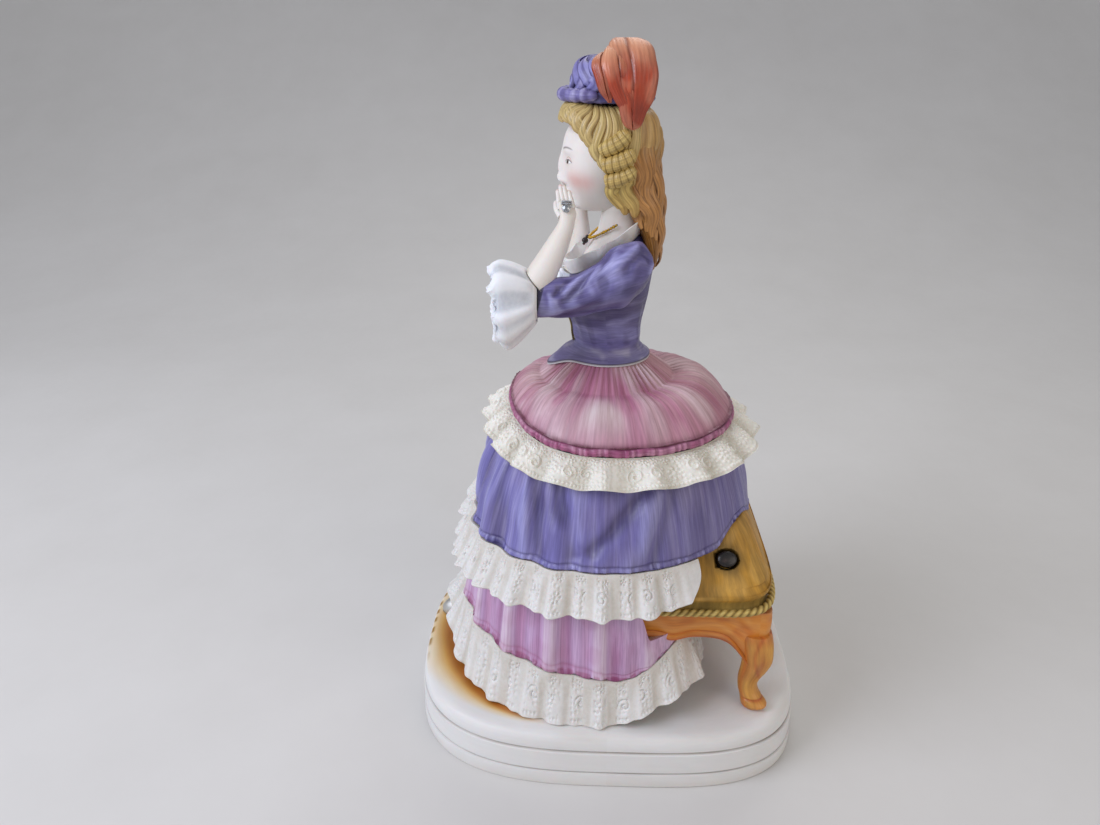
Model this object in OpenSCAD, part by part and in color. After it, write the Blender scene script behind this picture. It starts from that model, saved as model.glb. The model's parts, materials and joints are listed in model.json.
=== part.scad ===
// Musical porcelain figurine: a seated-skirt lady whose upper body turns on a
// clockwork movement hidden in the plinth and skirts, with a start button in the stool.
// Frame: +Z up, origin at the middle of the plinth's underside, the lady faces -Y.

/* [Plinth] */
// Width of the plinth, side to side
plinth_w = 156; // [150:1:176]
// Depth of the plinth, front to back
plinth_d = 182; // [178:1:200]
// Height of the plinth
plinth_h = 26.5; // [24:0.5:32]
// Thickness of the plinth's walls
plinth_wall = 6; // [4:0.5:8]
// Thickness of the plinth's deck
deck_t = 5; // [3:0.5:6]
// Radius of the hole in the deck, under the skirts
deck_hole_r = 56; // [54:0.5:58]
// Depth of the recess that hides the winding key
recess_h = 12; // [10.5:0.5:13]
// Depth of the two grooves around the plinth
groove = 1.4; // [0.5:0.1:2.5]

/* [Skirts] */
// Height of the turning seam at the waist
waist_z = 178; // [176:0.5:186]
// Radius of the flat that the upper body turns on
waist_r = 17; // [15.5:0.5:18]
// Overskirt: reach at the sides, from the turning axis
over_side = 50; // [46:0.5:53]
// Overskirt: reach at the front
over_front = 42.5; // [40:0.5:45]
// Overskirt: reach at the back
over_back = 56.5; // [53:0.5:59]
// Overskirt: drop from the waist seam to its piping, at the sides
over_drop = 25; // [23:0.5:26]
// Width of the overskirt's lace
over_lace_w = 13; // [8:0.5:14]
// Middle skirt: reach of its hem at the sides
mid_side = 67; // [64:0.5:69]
// Middle skirt: reach of its hem at the front
mid_front = 60; // [58:0.5:62]
// Middle skirt: reach of its hem at the back
mid_back = 68.5; // [66:0.5:69]
// Height of the middle skirt's hem
mid_hem_z = 105; // [103.5:0.5:107]
// Drop of the middle lace
mid_lace_drop = 17; // [12:0.5:19]
// Lower flounce: reach of its hem at the sides
low_side = 65.5; // [64:0.5:67]
// Lower flounce: reach of its hem at the front
low_front = 65.5; // [63:0.5:67]
// Lower flounce: reach of its hem at the back, under the stool
low_back = 44.5; // [42:0.5:46]
// Height of the lower flounce's hem at the sides
low_hem_z = 47; // [44:0.5:50]
// Spread of the lower lace past the flounce's hem
low_lace_w = 5; // [4:0.5:7]
// Wall of the skirts
skirt_wall = 3.5; // [3:0.1:4]
// Wall of the laces
lace_wall = 2; // [1.5:0.1:2.4]

/* [Stool] */
// Half the width of the stool's seat frame
seat_half_w = 56; // [54:0.5:58]
// Front edge of the seat, hidden in the skirts
seat_front = 8; // [6:0.5:10]
// Back edge of the seat frame
seat_back = 71; // [69:0.5:72]
// Height of the top of the seat frame
seat_z = 79; // [78:0.5:80]
// Depth of the seat frame's rails at the arch
rail_h = 7.5; // [6:0.5:9]
// Thickness of the rails
rail_t = 6; // [4:0.5:7]
// Height of the cushion's straight border
border_h = 8.5; // [7:0.5:9]
// Height of the cushion's dome above its border
dome_h = 24.4; // [22:0.2:25]
// Radius of the braid's beads
braid_r = 1.7; // [1.2:0.1:2]
// Radius of a leg at its ankle
ankle_r = 4; // [3:0.1:5]

/* [Start button] */
// Width of the oval button
button_w = 7; // [6:0.1:8]
// Length of the oval button
button_l = 8.6; // [8:0.1:10]
// Travel of the button
button_travel = 1.5; // [1:0.1:1.8]
// Radius of the button's stem
stem_r = 1.5; // [1.2:0.1:1.8]
// Lean of the button's axis from upright, in degrees
button_lean = 50; // [46:1:54]

/* [Upper body] */
// Distance of the turning axis in front of the origin
axis_back = 2.5; // [1.5:0.5:3.5]
// Half the bodice's width at the chest
chest_w = 18; // [16.5:0.1:18.2]
// Plane of the armholes, from the middle
armhole_x = 18.4; // [18.3:0.1:19.5]
// Reach of the bodice's pointed front, from the turning axis
point_reach = 26.5; // [22:0.5:28]
// Half the width of the head
head_w = 15.5; // [13:0.5:16]
// Height of the middle of the head over the waist seam
head_h = 84; // [83:0.5:86]
// Half the width of the hat's brim
brim_w = 20; // [18.5:0.5:20]
// Radius of a necklace bead
bead_r = 0.6; // [0.4:0.05:0.65]

/* [Movement] */
// Module of the barrel's gear
barrel_mod = 0.7; // [0.68:0.01:0.72]
// Module of the second wheel's gear
wheel_mod = 0.5; // [0.48:0.01:0.52]
// Radius of the pinned drum
drum_r = 7; // [5:0.5:7.5]
// Length of the pinned drum
drum_l = 24; // [18:1:25]
// Radius of the spindle that carries the upper body
spindle_r = 2.5; // [2:0.1:2.8]
// Radius of the winding arbor
arbor_r = 2; // [1.6:0.1:2.2]
// Width of the winding key
key_w = 26; // [20:1:30]
// Thickness of the bedplate
bed_t = 2; // [1.5:0.1:2.2]
// Reach of the governor's fan
fan_r = 7; // [5:0.5:7.5]

/* [Fits] */
// Radial clearance of a shaft that turns or slides
run_fit = 0.05; // [0.02:0.01:0.09]
// Gap between two cast pieces that are set against each other
cast_gap = 0.4; // [0.3:0.05:0.5]

/* [Hidden] */
$fn = 48;

// Colours of the finishes
BISQUE = "ivory";
VIOLET = "slateblue";
MAUVE = "plum";
LACE = "floralwhite";
GOLD = "goldenrod";
WOOD = "chocolate";
HAIR = "burlywood";
STEEL = "silver";
BRASS = "darkkhaki";

axis_y = -axis_back;
turns = 60;                       // steps of a skirt's outline
plate_t = 2;                      // bottom plate
plate_z = recess_h;               // underside of the bottom plate
bed_z = plate_z + plate_t;        // underside of the bedplate
bed_top = bed_z + bed_t;

// ---- Shared forms ----------------------------------------------------------

function mix(a, b, t) = a + (b - a) * t;
function ease(t) = let (u = min(1, max(0, t))) u * u * (3 - 2 * u);
function sgnpow(v, e) = sign(v) * pow(abs(v), e);
function unit(v) = v / norm(v);

// A bump of height 1 around an angle, in degrees
function bump(a, middle, width) =
    let (d = (a - middle + 900) % 360 - 180) exp(-d * d / (2 * width * width));

// Uneven waves around the turning axis: n crests, crowded here and spread there
function wave(a, n) = cos(n * a + 30 * sin(a + 40) + 22 * sin(2 * a + 110) + 14 * sin(3 * a + 200));

// Reach of a rounded outline in direction a, with its own front and back halves
function reach(a, side, front, back, pf = 2.2, pb = 2.2) =
    let (p = sin(a) < 0 ? pf : pb, e = sin(a) < 0 ? front : back)
    pow(pow(abs(cos(a)) / side, p) + pow(abs(sin(a)) / e, p), -1 / p);

// A point pushed back to the plane n.p = d where it lies past it
function clip(p, n, d) = p - max(0, n * p - d) * n;

function middle(ring) = [for (k = [0 : 2]) [for (p = ring) p[k]] * [for (p = ring) 1] / len(ring)];

// Closed surface through rings of equal length; looped joins the last ring to the first,
// and flip turns rings that run clockwise
module skin(rings_in, looped = false, flip = false) {
    rings = flip ? [for (r = rings_in) [for (i = [len(r) - 1 : -1 : 0]) r[i]]] : rings_in;
    k = len(rings);
    n = len(rings[0]);
    walls = [for (i = [0 : k - (looped ? 1 : 2)], j = [0 : n - 1])
        let (a = i * n + j, b = i * n + (j + 1) % n, up = ((i + 1) % k) * n)
        each [[a, up + j, up + (j + 1) % n], [a, up + (j + 1) % n, b]]];
    caps = looped ? [] : [for (j = [0 : n - 1])
        each [[j, (j + 1) % n, k * n], [(k - 1) * n + (j + 1) % n, (k - 1) * n + j, k * n + 1]]];
    ends = looped ? [] : [middle(rings[0]), middle(rings[k - 1])];
    polyhedron(points = concat([for (r = rings) each r], ends), faces = concat(walls, caps),
        convexity = 8);
}

// A wall carried around the turning axis: section(a) gives its [reach, height] outline
module turned(section, n = turns, from = 0, to = 360) {
    whole = to - from >= 360;
    skin([for (i = [0 : n - (whole ? 1 : 0)])
        let (a = from + (to - from) * i / n)
        [for (q = section(a)) [q.x * cos(a), axis_y + q.x * sin(a), q.y]]], whole);
}

// Rings of [middle y, half width, half depth] rows at height z(y) = base + slope * y
function oval(cy, rx, ry, base, slope = 0, n = 28) =
    [for (i = [0 : n - 1]) let (a = 360 * i / n, y = cy + ry * sin(a)) [rx * cos(a), y, base + slope * y]];

// ---- Plinth ----------------------------------------------------------------

// Outline of the plinth, in by a margin
function plinth_outline(inset) = [for (i = [0 : 95])
    let (a = 360 * i / 96, r = reach(a, plinth_w / 2 - inset, plinth_d / 2 - inset,
        plinth_d / 2 - inset, 2.9, 3.6)) [r * cos(a), r * sin(a)]];

module plinth_layer(z, h, inset) {
    translate([0, 0, z]) linear_extrude(h) polygon(plinth_outline(inset));
}

screw_spots = [for (sx = [-1, 1], sy = [-1, 1]) [sx * (plinth_w / 2 - 24), sy * (plinth_d / 2 - 34)]];
band_low = plinth_h * 0.29;
band_high = plinth_h * 0.7;
plate_screw_r = 1.5;
boss_r = 4.5;
boss_bore_depth = 5;

module plinth() {
    step = groove * 0.55;
    color(BISQUE) difference() {
        union() {
            plinth_layer(0, band_low - 0.5, 0.4);
            plinth_layer(band_low - 0.5, 1, groove + 0.4);
            plinth_layer(band_low + 0.5, band_high - band_low - 1, step);
            plinth_layer(band_high - 0.5, 1, groove + step);
            plinth_layer(band_high + 0.5, plinth_h - band_high - 3, step * 2);
            plinth_layer(plinth_h - 2.5, 1.3, step * 2 + 1);
            plinth_layer(plinth_h - 1.2, 0.8, step * 2 + 2.4);
            plinth_layer(plinth_h - 0.4, 0.4, step * 2 + 4.4);
        }
        difference() {
            plinth_layer(-1, plinth_h - deck_t + 1, plinth_wall + groove);
            for (s = screw_spots) translate([s.x, s.y, bed_z])
                cylinder(r = boss_r, h = plinth_h);
        }
        translate([0, axis_y, plinth_h - deck_t - 1]) cylinder(r = deck_hole_r, h = deck_t + 2);
        for (s = screw_spots) translate([s.x, s.y, bed_z - 1])
            cylinder(r = plate_screw_r + run_fit, h = boss_bore_depth + 1);
    }
}

bed_screws = [[-45, -20], [-45, 20], [26, -28], [26, 22]];
bed_screw_r = 1.2;

module bottom_plate() {
    color("darkslategray") difference() {
        plinth_layer(plate_z, plate_t - 0.02, plinth_wall + groove + cast_gap);
        translate([0, axis_y, 0]) cylinder(r = arbor_r + 0.6, h = plinth_h);
        for (s = screw_spots) translate([s.x, s.y, 0])
            cylinder(r = plate_screw_r + run_fit, h = plinth_h);
        for (s = bed_screws) translate([s.x, s.y, 0])
            cylinder(r = bed_screw_r + run_fit, h = plinth_h);
    }
}

// A pan-head screw that points up, its head under height z
module screw(spot, z, r, l, head_r, head_h) {
    translate([spot.x, spot.y, z - head_h]) cylinder(r = head_r, h = head_h);
    translate([spot.x, spot.y, z - 0.01]) cylinder(r = r, h = l);
}

module plate_screws() {
    color(STEEL) for (s = screw_spots)
        screw(s, plate_z - 0.02, plate_screw_r, plate_t + boss_bore_depth - 1, 3, 1.8);
}

// ---- Movement --------------------------------------------------------------

big_teeth = 48;                                       // on the barrel and on the second wheel
pinion_teeth = 12;
pitch_r = barrel_mod * big_teeth / 2;                 // barrel gear
pinion_r = barrel_mod * pinion_teeth / 2;             // second pinion
wheel_r = wheel_mod * big_teeth / 2;                  // second wheel
leaf_r = wheel_mod * pinion_teeth / 2;                // governor pinion
barrel_z = bed_top + 2.4;                             // underside of the barrel
gear_t = 2.4;
barrel_r = pitch_r - 1.3;
barrel_wall = 1.2;
barrel_h = 11.5;
barrel_top = barrel_z + barrel_h;
crown_r = pitch_r - 0.8;                              // middle of the crown teeth
crown_w = 2.4;
crown_h = 1.3;
drum_pinion_r = crown_r * pinion_teeth / big_teeth;
drum_z = barrel_top + 0.8 + drum_pinion_r;
drum_from = pitch_r + 5.4;                            // near end of the drum, from the axis
shaft_r = 1.5;
mesh_gap = 0.1;
second_at = [cos(-30), sin(-30)] * (pitch_r + pinion_r + mesh_gap) + [0, axis_y];
governor_at = second_at + [cos(22.5), sin(22.5)] * (wheel_r + leaf_r + mesh_gap);
wheel_z = barrel_top + 3.2;
pivot_r = 0.8;
disc_r = 6;                                           // governor's brake disc
disc_z = wheel_z - 3;

// Gear outline: thin straight-sided teeth, the first one pointing along angle a
module gear(teeth, mod, h, a = 0) {
    tip = mod * teeth / 2 + 0.75 * mod;
    root = mod * teeth / 2 - 0.95 * mod;
    step = 360 / teeth;
    linear_extrude(h) polygon([for (i = [0 : teeth - 1])
        let (m = a + i * step)
        each [[root * cos(m - step * 0.27), root * sin(m - step * 0.27)],
            [tip * cos(m - step * 0.09), tip * sin(m - step * 0.09)],
            [tip * cos(m + step * 0.09), tip * sin(m + step * 0.09)],
            [root * cos(m + step * 0.27), root * sin(m + step * 0.27)]]]);
}

bed_outline = [[-53, -12], [-40, -27], [-10, -33], [30, -36], [46, -24], [46, -2],
    [30, 26], [-10, 30], [-40, 27], [-53, 10]];

module bedplate() {
    color(BRASS) difference() {
        translate([0, 0, bed_z]) linear_extrude(bed_t) polygon(bed_outline);
        translate([0, axis_y, 0]) cylinder(r = arbor_r + run_fit, h = plinth_h);
        for (s = bed_screws) translate([s.x, s.y, 0])
            cylinder(r = bed_screw_r + run_fit, h = plinth_h);
        for (s = [second_at, governor_at]) translate([s.x, s.y, bed_z + 0.8])
            cylinder(r = pivot_r + run_fit, h = bed_t);
    }
}

comb_screw_spots = [for (x = [-27, -42]) [x, axis_y + 20]];
comb_seat_z = drum_z - 0.5;

module movement_screws() {
    color(STEEL) {
        for (s = bed_screws) screw(s, plate_z - 0.02, bed_screw_r, plate_t + bed_t, 2.4, 1.4);
        for (s = comb_screw_spots) translate([s.x, s.y, comb_seat_z + 1.02])
            rotate([180, 0, 0]) screw([0, 0], 0, 1, 4, 2, 1.2);
    }
}

module bearing(x) {
    difference() {
        translate([x - 0.9, axis_y - 4, bed_top]) cube([1.8, 8, drum_z - bed_top + 3.5]);
        translate([x - 2, axis_y, drum_z]) rotate([0, 90, 0])
            cylinder(r = shaft_r + run_fit, h = 4);
    }
}

drum_bearing_in = -(drum_from - 2);
drum_bearing_out = -(drum_from + drum_l + 2);

// Two posts that carry the drum's shaft, and the block that the comb is screwed to
module drum_bearings() {
    color(BRASS) {
        bearing(drum_bearing_in);
        bearing(drum_bearing_out);
        difference() {
            translate([-46, axis_y + 15, bed_top]) cube([23, 8, comb_seat_z - bed_top]);
            for (s = comb_screw_spots) translate([s.x, s.y, comb_seat_z - 5])
                cylinder(r = 1 + run_fit, h = 6);
        }
    }
}

comb_teeth = 18;
comb_pitch = 1.25;
pin_h = 0.5;

// Steel comb: a heel plate with tapering tongues that end just short of the pins
module comb() {
    first = -(drum_from + 0.9);
    tips = axis_y + drum_r + pin_h + 0.25;
    color(STEEL) difference() {
        translate([0, 0, comb_seat_z]) linear_extrude(1) union() {
            translate([-46, axis_y + 15]) square([23, 8]);
            for (i = [0 : comb_teeth - 1]) translate([first - i * comb_pitch, 0])
                polygon([[-0.25, tips], [0.25, tips], [0.45, axis_y + 15.5], [-0.45, axis_y + 15.5]]);
        }
        for (s = comb_screw_spots) translate([s.x, s.y, comb_seat_z - 1])
            cylinder(r = 1 + run_fit, h = 3);
    }
}

// Pinned drum with its shaft and the pinion that the barrel's crown teeth drive
module pinned_drum() {
    color(BRASS) translate([0, axis_y, drum_z]) rotate([0, -90, 0]) {
        translate([0, 0, crown_r - crown_w / 2 - 1])
            cylinder(r = shaft_r, h = drum_from + drum_l + 4.5 - crown_r);
        translate([0, 0, drum_from]) cylinder(r = drum_r, h = drum_l);
        translate([0, 0, crown_r - 1.1]) gear(pinion_teeth, drum_pinion_r * 2 / pinion_teeth, 2.2, 180);
        for (i = [0 : comb_teeth - 1], k = [0 : 2])
            translate([0, 0, drum_from + 0.9 + i * comb_pitch]) rotate([0, 0, 30 + 120 * k + 67 * i])
                translate([drum_r - 0.2, 0, 0]) rotate([0, 90, 0]) cylinder(r = 0.25, h = pin_h + 0.2);
    }
}

// Barrel: a closed tub with the gear at its foot and crown teeth on its lid
module spring_barrel() {
    color(BRASS) translate([0, axis_y, 0]) {
        difference() {
            union() {
                translate([0, 0, barrel_z]) gear(big_teeth, barrel_mod, gear_t, 3.75);
                translate([0, 0, barrel_z]) cylinder(r = barrel_r, h = barrel_h);
            }
            translate([0, 0, barrel_z + barrel_wall])
                cylinder(r = barrel_r - barrel_wall, h = barrel_h - 2 * barrel_wall);
            translate([0, 0, barrel_z - 1]) cylinder(r = arbor_r + run_fit, h = barrel_wall + 2);
        }
        for (i = [0 : big_teeth - 1]) rotate([0, 0, (i + 0.5) * 360 / big_teeth])
            translate([crown_r - crown_w / 2, -0.3, barrel_top - 0.3]) cube([crown_w, 0.6, crown_h + 0.3]);
    }
}

spring_turns = 6;

// Mainspring: a flat spiral strip, hooked to the barrel's wall
module mainspring() {
    steps = spring_turns * 16;
    first = arbor_r + 1.6;
    last = barrel_r - barrel_wall - 0.6;
    path = [for (i = [0 : steps]) let (r = mix(first, last, i / steps), a = i * 22.5)
        [r * cos(a), r * sin(a)]];
    color("dimgray") translate([0, axis_y, barrel_z + barrel_wall + 0.4])
        linear_extrude(barrel_h - 2 * barrel_wall - 0.8)
            polygon(concat(path, [for (i = [steps : -1 : 0]) path[i] * (1 - 0.35 / norm(path[i]))]));
}

module winding_arbor() {
    color(STEEL) translate([0, axis_y, 0]) {
        translate([0, 0, 5]) cylinder(r = arbor_r, h = barrel_top - barrel_wall - 0.6 - 5);
        translate([0, 0, barrel_z + barrel_wall + 0.3])
            cylinder(r = arbor_r + 0.8, h = barrel_h - 2 * barrel_wall - 1.2);
    }
}

// Butterfly key: two rings on a sleeve that grips the arbor
module winding_key() {
    wing = key_w / 4;
    bow = min(wing, 4.2);
    color(BRASS) translate([0, axis_y, 0]) {
        difference() {
            translate([0, 0, 4]) cylinder(r = arbor_r + 2, h = 6.5);
            translate([0, 0, 5 - 0.02]) cylinder(r = arbor_r + 0.02, h = 8);
        }
        for (s = [-1, 1]) translate([s * (wing + arbor_r), 0, 6.2]) rotate([90, 0, 0]) difference() {
            cylinder(r = bow, h = 1.6, center = true);
            cylinder(r = bow - 1.6, h = 4, center = true);
        }
        for (s = [-1, 1]) translate([s * (arbor_r + 2.4), 0, 6.2]) cube([2, 1.6, 3], center = true);
    }
}

ratchet_teeth = 12;
ratchet_r = 6;
ratchet_z = bed_top + 0.3;
ratchet_t = 1.4;

module ratchet_wheel() {
    color(STEEL) translate([0, axis_y, ratchet_z]) difference() {
        linear_extrude(ratchet_t) polygon([for (i = [0 : ratchet_teeth - 1])
            let (a = i * 360 / ratchet_teeth)
            each [[ratchet_r * cos(a), ratchet_r * sin(a)],
                [(ratchet_r - 1.3) * cos(a + 4), (ratchet_r - 1.3) * sin(a + 4)]]]);
        translate([0, 0, -1]) cylinder(r = arbor_r + 0.02, h = 4);
    }
}

// Click: a pawl on a stud, its nose in a ratchet gap
module click() {
    stud = ratchet_r + 3.2;
    nose = ratchet_r - 0.4;
    color(STEEL) translate([0, axis_y, bed_top]) rotate([0, 0, 97]) {
        translate([stud, 0, 0]) cylinder(r = 1.2, h = ratchet_t + 0.9);
        translate([0, 0, 0.3]) linear_extrude(ratchet_t)
            polygon([[stud, -1.6], [stud, 1.6], [nose, 0.5], [nose, 0.1]]);
    }
}

module second_wheel() {
    color(BRASS) translate([second_at.x, second_at.y, 0]) {
        translate([0, 0, bed_z + 0.9]) cylinder(r = pivot_r, h = wheel_z + gear_t + 3 - bed_z);
        translate([0, 0, barrel_z - 0.2]) gear(pinion_teeth, barrel_mod, gear_t + 0.4, 150);
        translate([0, 0, wheel_z]) gear(big_teeth, wheel_mod, 1.5, 22.5 + 3.75);
    }
}

// Air-brake governor: pinion, brake disc and a two-blade fan on one arbor
module governor_fan() {
    color(BRASS) translate([governor_at.x, governor_at.y, 0]) {
        translate([0, 0, bed_z + 0.9]) cylinder(r = pivot_r, h = wheel_z + gear_t + 3 - bed_z);
        translate([0, 0, wheel_z - 0.3]) gear(pinion_teeth, wheel_mod, 2.1, 202.5);
        translate([0, 0, disc_z]) cylinder(r = disc_r, h = 1.2);
        translate([-fan_r, -0.4, bed_top + 2]) cube([2 * fan_r, 0.8, disc_z - bed_top - 4]);
    }
}

// Top bridge over the second wheel and governor, on two legs
module governor_bracket() {
    top = wheel_z + gear_t + 1.2;
    legs = [second_at + [1, -14.8], governor_at + [4.5, 9.4]];
    color(BRASS) {
        difference() {
            translate([0, 0, top]) linear_extrude(1.6) polygon([legs[0] + [-3, -2.4], legs[0] + [3, -2.4],
                governor_at + [-3, -6.5], governor_at + [4, -3], legs[1] + [2.4, 2.4], legs[1] + [-2.4, 2.4],
                second_at + [-3, 3], second_at + [-4, -4]]);
            for (s = [second_at, governor_at]) translate([s.x, s.y, top - 1])
                cylinder(r = pivot_r + run_fit, h = 4);
        }
        for (s = legs) translate([s.x, s.y, bed_top]) cylinder(r = 1.8, h = top - bed_top + 0.1);
    }
}

// ---- Start button and stop lever -------------------------------------------

// Cushion's upper face over a point of the seat
cushion_w = seat_half_w + 3;
cushion_mid = 38;
cushion_d = seat_back + 2 - cushion_mid;
lip_z = seat_z + border_h;
function cushion_w_at(x, y) =
    pow(pow(abs(x) / cushion_w, 5) + pow(max(0, y - cushion_mid) / cushion_d, 5), 0.2);
function cushion_z(x, y) =
    let (t = max(0, min(1, (cushion_w_at(x, y) - 0.62) / 0.38))) lip_z + dome_h * (1 - pow(t, 1.15));

button_x = seat_half_w - 8;
button_y = seat_back - 21;
button_at = [button_x, button_y, cushion_z(button_x, button_y) + 0.6];
press = [-sin(button_lean), 0, -cos(button_lean)];
stem_l = 20;
stem_tip = button_at + press * stem_l;
bush_r = 3;
bush_rim = 0.8;                          // flange of the bush, on the floor of the button's seat
button_room = button_travel + 3.4;       // depth of the button's seat

// Turns its children so that +Z points out of the cushion, at the button
module at_button() {
    translate(button_at) rotate([0, button_lean, 0]) children();
}

function oval_ring(rx, ry, z, n = 24) =
    [for (i = [0 : n - 1]) [rx * cos(360 * i / n), ry * sin(360 * i / n), z]];

module start_button() {
    a = button_w / 2;
    b = button_l / 2;
    color("black") at_button() skin([for (r = [[1, -1.4], [1, 0.6], [0.92, 1.3], [0.7, 1.9], [0.35, 2.3]])
        oval_ring(a * r[0], b * r[0], r[1])]);
}

module button_stem() {
    color(STEEL) at_button() {
        translate([0, 0, -stem_l]) cylinder(r = stem_r, h = stem_l - 1.42);
        translate([0, 0, -stem_l]) cylinder(r = stem_r + 0.8, h = 1);
    }
}

module button_bush() {
    color(BRASS) at_button() difference() {
        union() {
            translate([0, 0, -button_room - 6]) cylinder(r = bush_r, h = 6 + bush_rim);
            translate([0, 0, 0.02 - button_room]) cylinder(r = bush_r + 0.6, h = bush_rim - 0.02);
        }
        translate([0, 0, -button_room - 8]) cylinder(r = stem_r + run_fit, h = 12);
    }
}

// Coil spring between the bush and the button
// A conical disc spring round the stem, which flattens as the button goes in
module button_spring() {
    wall = 0.5;
    low = [stem_r + 1.5, bush_rim - button_room + 0.05];
    high = [stem_r + 0.3, -1.7];
    color(STEEL) at_button() rotate_extrude($fn = 32)
        polygon([low, low + [0, wall], high, high - [0, wall]]);
}

lever_y = governor_at.y - disc_r - 3.2;
lever_x = governor_at.x;
arm_top = stem_tip.z - (stem_r + 0.8) * sin(button_lean) - 0.25;   // the long arm, just under the stem
lever_pivot_z = arm_top + 2.65;
lever_t = 1.4;
lever_w = 3;
lever_pin_r = 1;

// Bell crank: the long arm lies under the stem, the short one brakes the governor
module stop_lever() {
    color(STEEL) difference() {
        union() {
            translate([lever_x - lever_w / 2, lever_y, arm_top - lever_t])
                cube([lever_w, button_y + 4 - lever_y, lever_t]);
            translate([min(lever_x, stem_tip.x) - 3, button_y - 4, arm_top - lever_t])
                cube([abs(stem_tip.x - lever_x) + 6, 8, lever_t]);
            translate([lever_x - lever_w / 2, lever_y - 1, disc_z - 1])
                cube([lever_w, 2, lever_pivot_z + 2.2 - disc_z]);
            translate([lever_x - lever_w / 2, lever_y, disc_z - 1]) cube([lever_w, 3.05, 3.2]);
            translate([lever_x - lever_w / 2, lever_y, lever_pivot_z]) rotate([0, 90, 0])
                cylinder(r = 2.4, h = lever_w);
        }
        translate([lever_x - lever_w, lever_y, lever_pivot_z]) rotate([0, 90, 0])
            cylinder(r = lever_pin_r + run_fit, h = lever_w * 2);
    }
}

module lever_post() {
    post_x = lever_x + lever_w / 2 + 0.4;
    color(BRASS) {
        translate([post_x + 2.6, lever_y, bed_top]) cylinder(r = 2.6, h = lever_pivot_z + 3 - bed_top);
        translate([lever_x - lever_w / 2 - 0.8, lever_y, lever_pivot_z]) rotate([0, 90, 0])
            cylinder(r = lever_pin_r, h = lever_w + 3);
    }
}

// ---- Stool -----------------------------------------------------------------

// Outline of the cushion at level w: 1 at the lip, less towards the top
function cushion_outline(w, grow = 0, n = 24) = concat(
    [[cushion_w * w + grow, seat_front]],
    [for (i = [0 : n]) let (x = sgnpow(cos(180 * i / n), 0.4), y = sgnpow(sin(180 * i / n), 0.4))
        [(cushion_w * w + grow) * x, cushion_mid + (cushion_d * w + grow) * y]],
    [[-cushion_w * w - grow, seat_front]]);
function at_height(outline, z) = [for (p = outline) [p.x, p.y, z]];

// Puffed cushion with a straight border; hollow, open to the skirts at its front
module stool_cushion() {
    hollow_w = button_x - 4;
    color(GOLD) difference() {
        skin(concat(
            [at_height(cushion_outline(1, -1.5), seat_z), at_height(cushion_outline(1, -1.5), lip_z - 1.2),
                at_height(cushion_outline(1), lip_z)],
            [for (t = [0.12, 0.3, 0.5, 0.75, 1])
                at_height(cushion_outline(1 - 0.38 * t), lip_z + dome_h * (1 - pow(1 - t, 1.15)))]));
        translate([-hollow_w, seat_front - 5, seat_z + 4])
            cube([2 * hollow_w, seat_back - seat_front, 12]);
        at_button() {
            translate([0, 0, -button_room]) linear_extrude(button_room + 6) polygon([for (p =
                oval_ring(button_w / 2 + 0.35, button_l / 2 + 0.35, 0)) [p.x, p.y]]);
            translate([0, 0, -button_room - 14]) cylinder(r = bush_r + 0.03, h = 15);
        }
    }
}

// Rope braid along the border, as a row of beads
module cushion_braid() {
    arc = [for (p = cushion_outline(1, -1.5 + braid_r + 0.15, 96)) if (p.y > cushion_mid - 0.1) p];
    path = concat([[arc[0].x, seat_front + braid_r + 1]], arc, [[-arc[0].x, seat_front + braid_r + 1]]);
    last = len(path) - 1;
    lengths = [for (i = 0, s = 0; i <= last; s = s + norm(path[min(i + 1, last)] - path[i]), i = i + 1) s];
    xs = [for (i = [0 : last]) [lengths[i], path[i].x]];
    ys = [for (i = [0 : last]) [lengths[i], path[i].y]];
    step = 2 * braid_r + 0.15;
    color(GOLD) for (k = [0 : floor(lengths[last] / step)])
        translate([lookup(k * step, xs), lookup(k * step, ys), seat_z + braid_r + 0.3])
            sphere(r = braid_r, $fn = 20);
}

leg_block = 12;                          // corner block that a leg hangs from

// Seat frame: a board with arched rails under its sides and back
module stool_frame() {
    board_t = 3;
    side = seat_back - seat_front;
    low = rail_low;
    arch = rail_h * 0.75;
    side_rail = concat([[0, seat_z - 1], [0, low], [18, low], [25, low - 1.6]],
        [for (i = [0 : 12]) [mix(27, side - leg_block, i / 12), low + arch * sin(15 * i)]],
        [[side, low], [side, seat_z - 1]]);
    back_rail = concat([[seat_half_w, seat_z - 1], [-seat_half_w, seat_z - 1], [-seat_half_w, low]],
        [for (i = [0 : 20]) [mix(leg_block - seat_half_w, seat_half_w - leg_block, i / 20),
            low + arch * sqrt(sin(9 * i))]], [[seat_half_w, low]]);
    color(WOOD) {
        translate([-seat_half_w, seat_front, seat_z - board_t])
            cube([2 * seat_half_w, side, board_t - 0.02]);
        for (x = [rail_t - seat_half_w, seat_half_w]) translate([x, seat_front, 0])
            rotate([90, 0, -90]) linear_extrude(rail_t) mirror([1, 0]) polygon(side_rail);
        translate([0, seat_back, 0]) rotate([90, 0, 0]) linear_extrude(rail_t) polygon(back_rail);
    }
}

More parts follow.
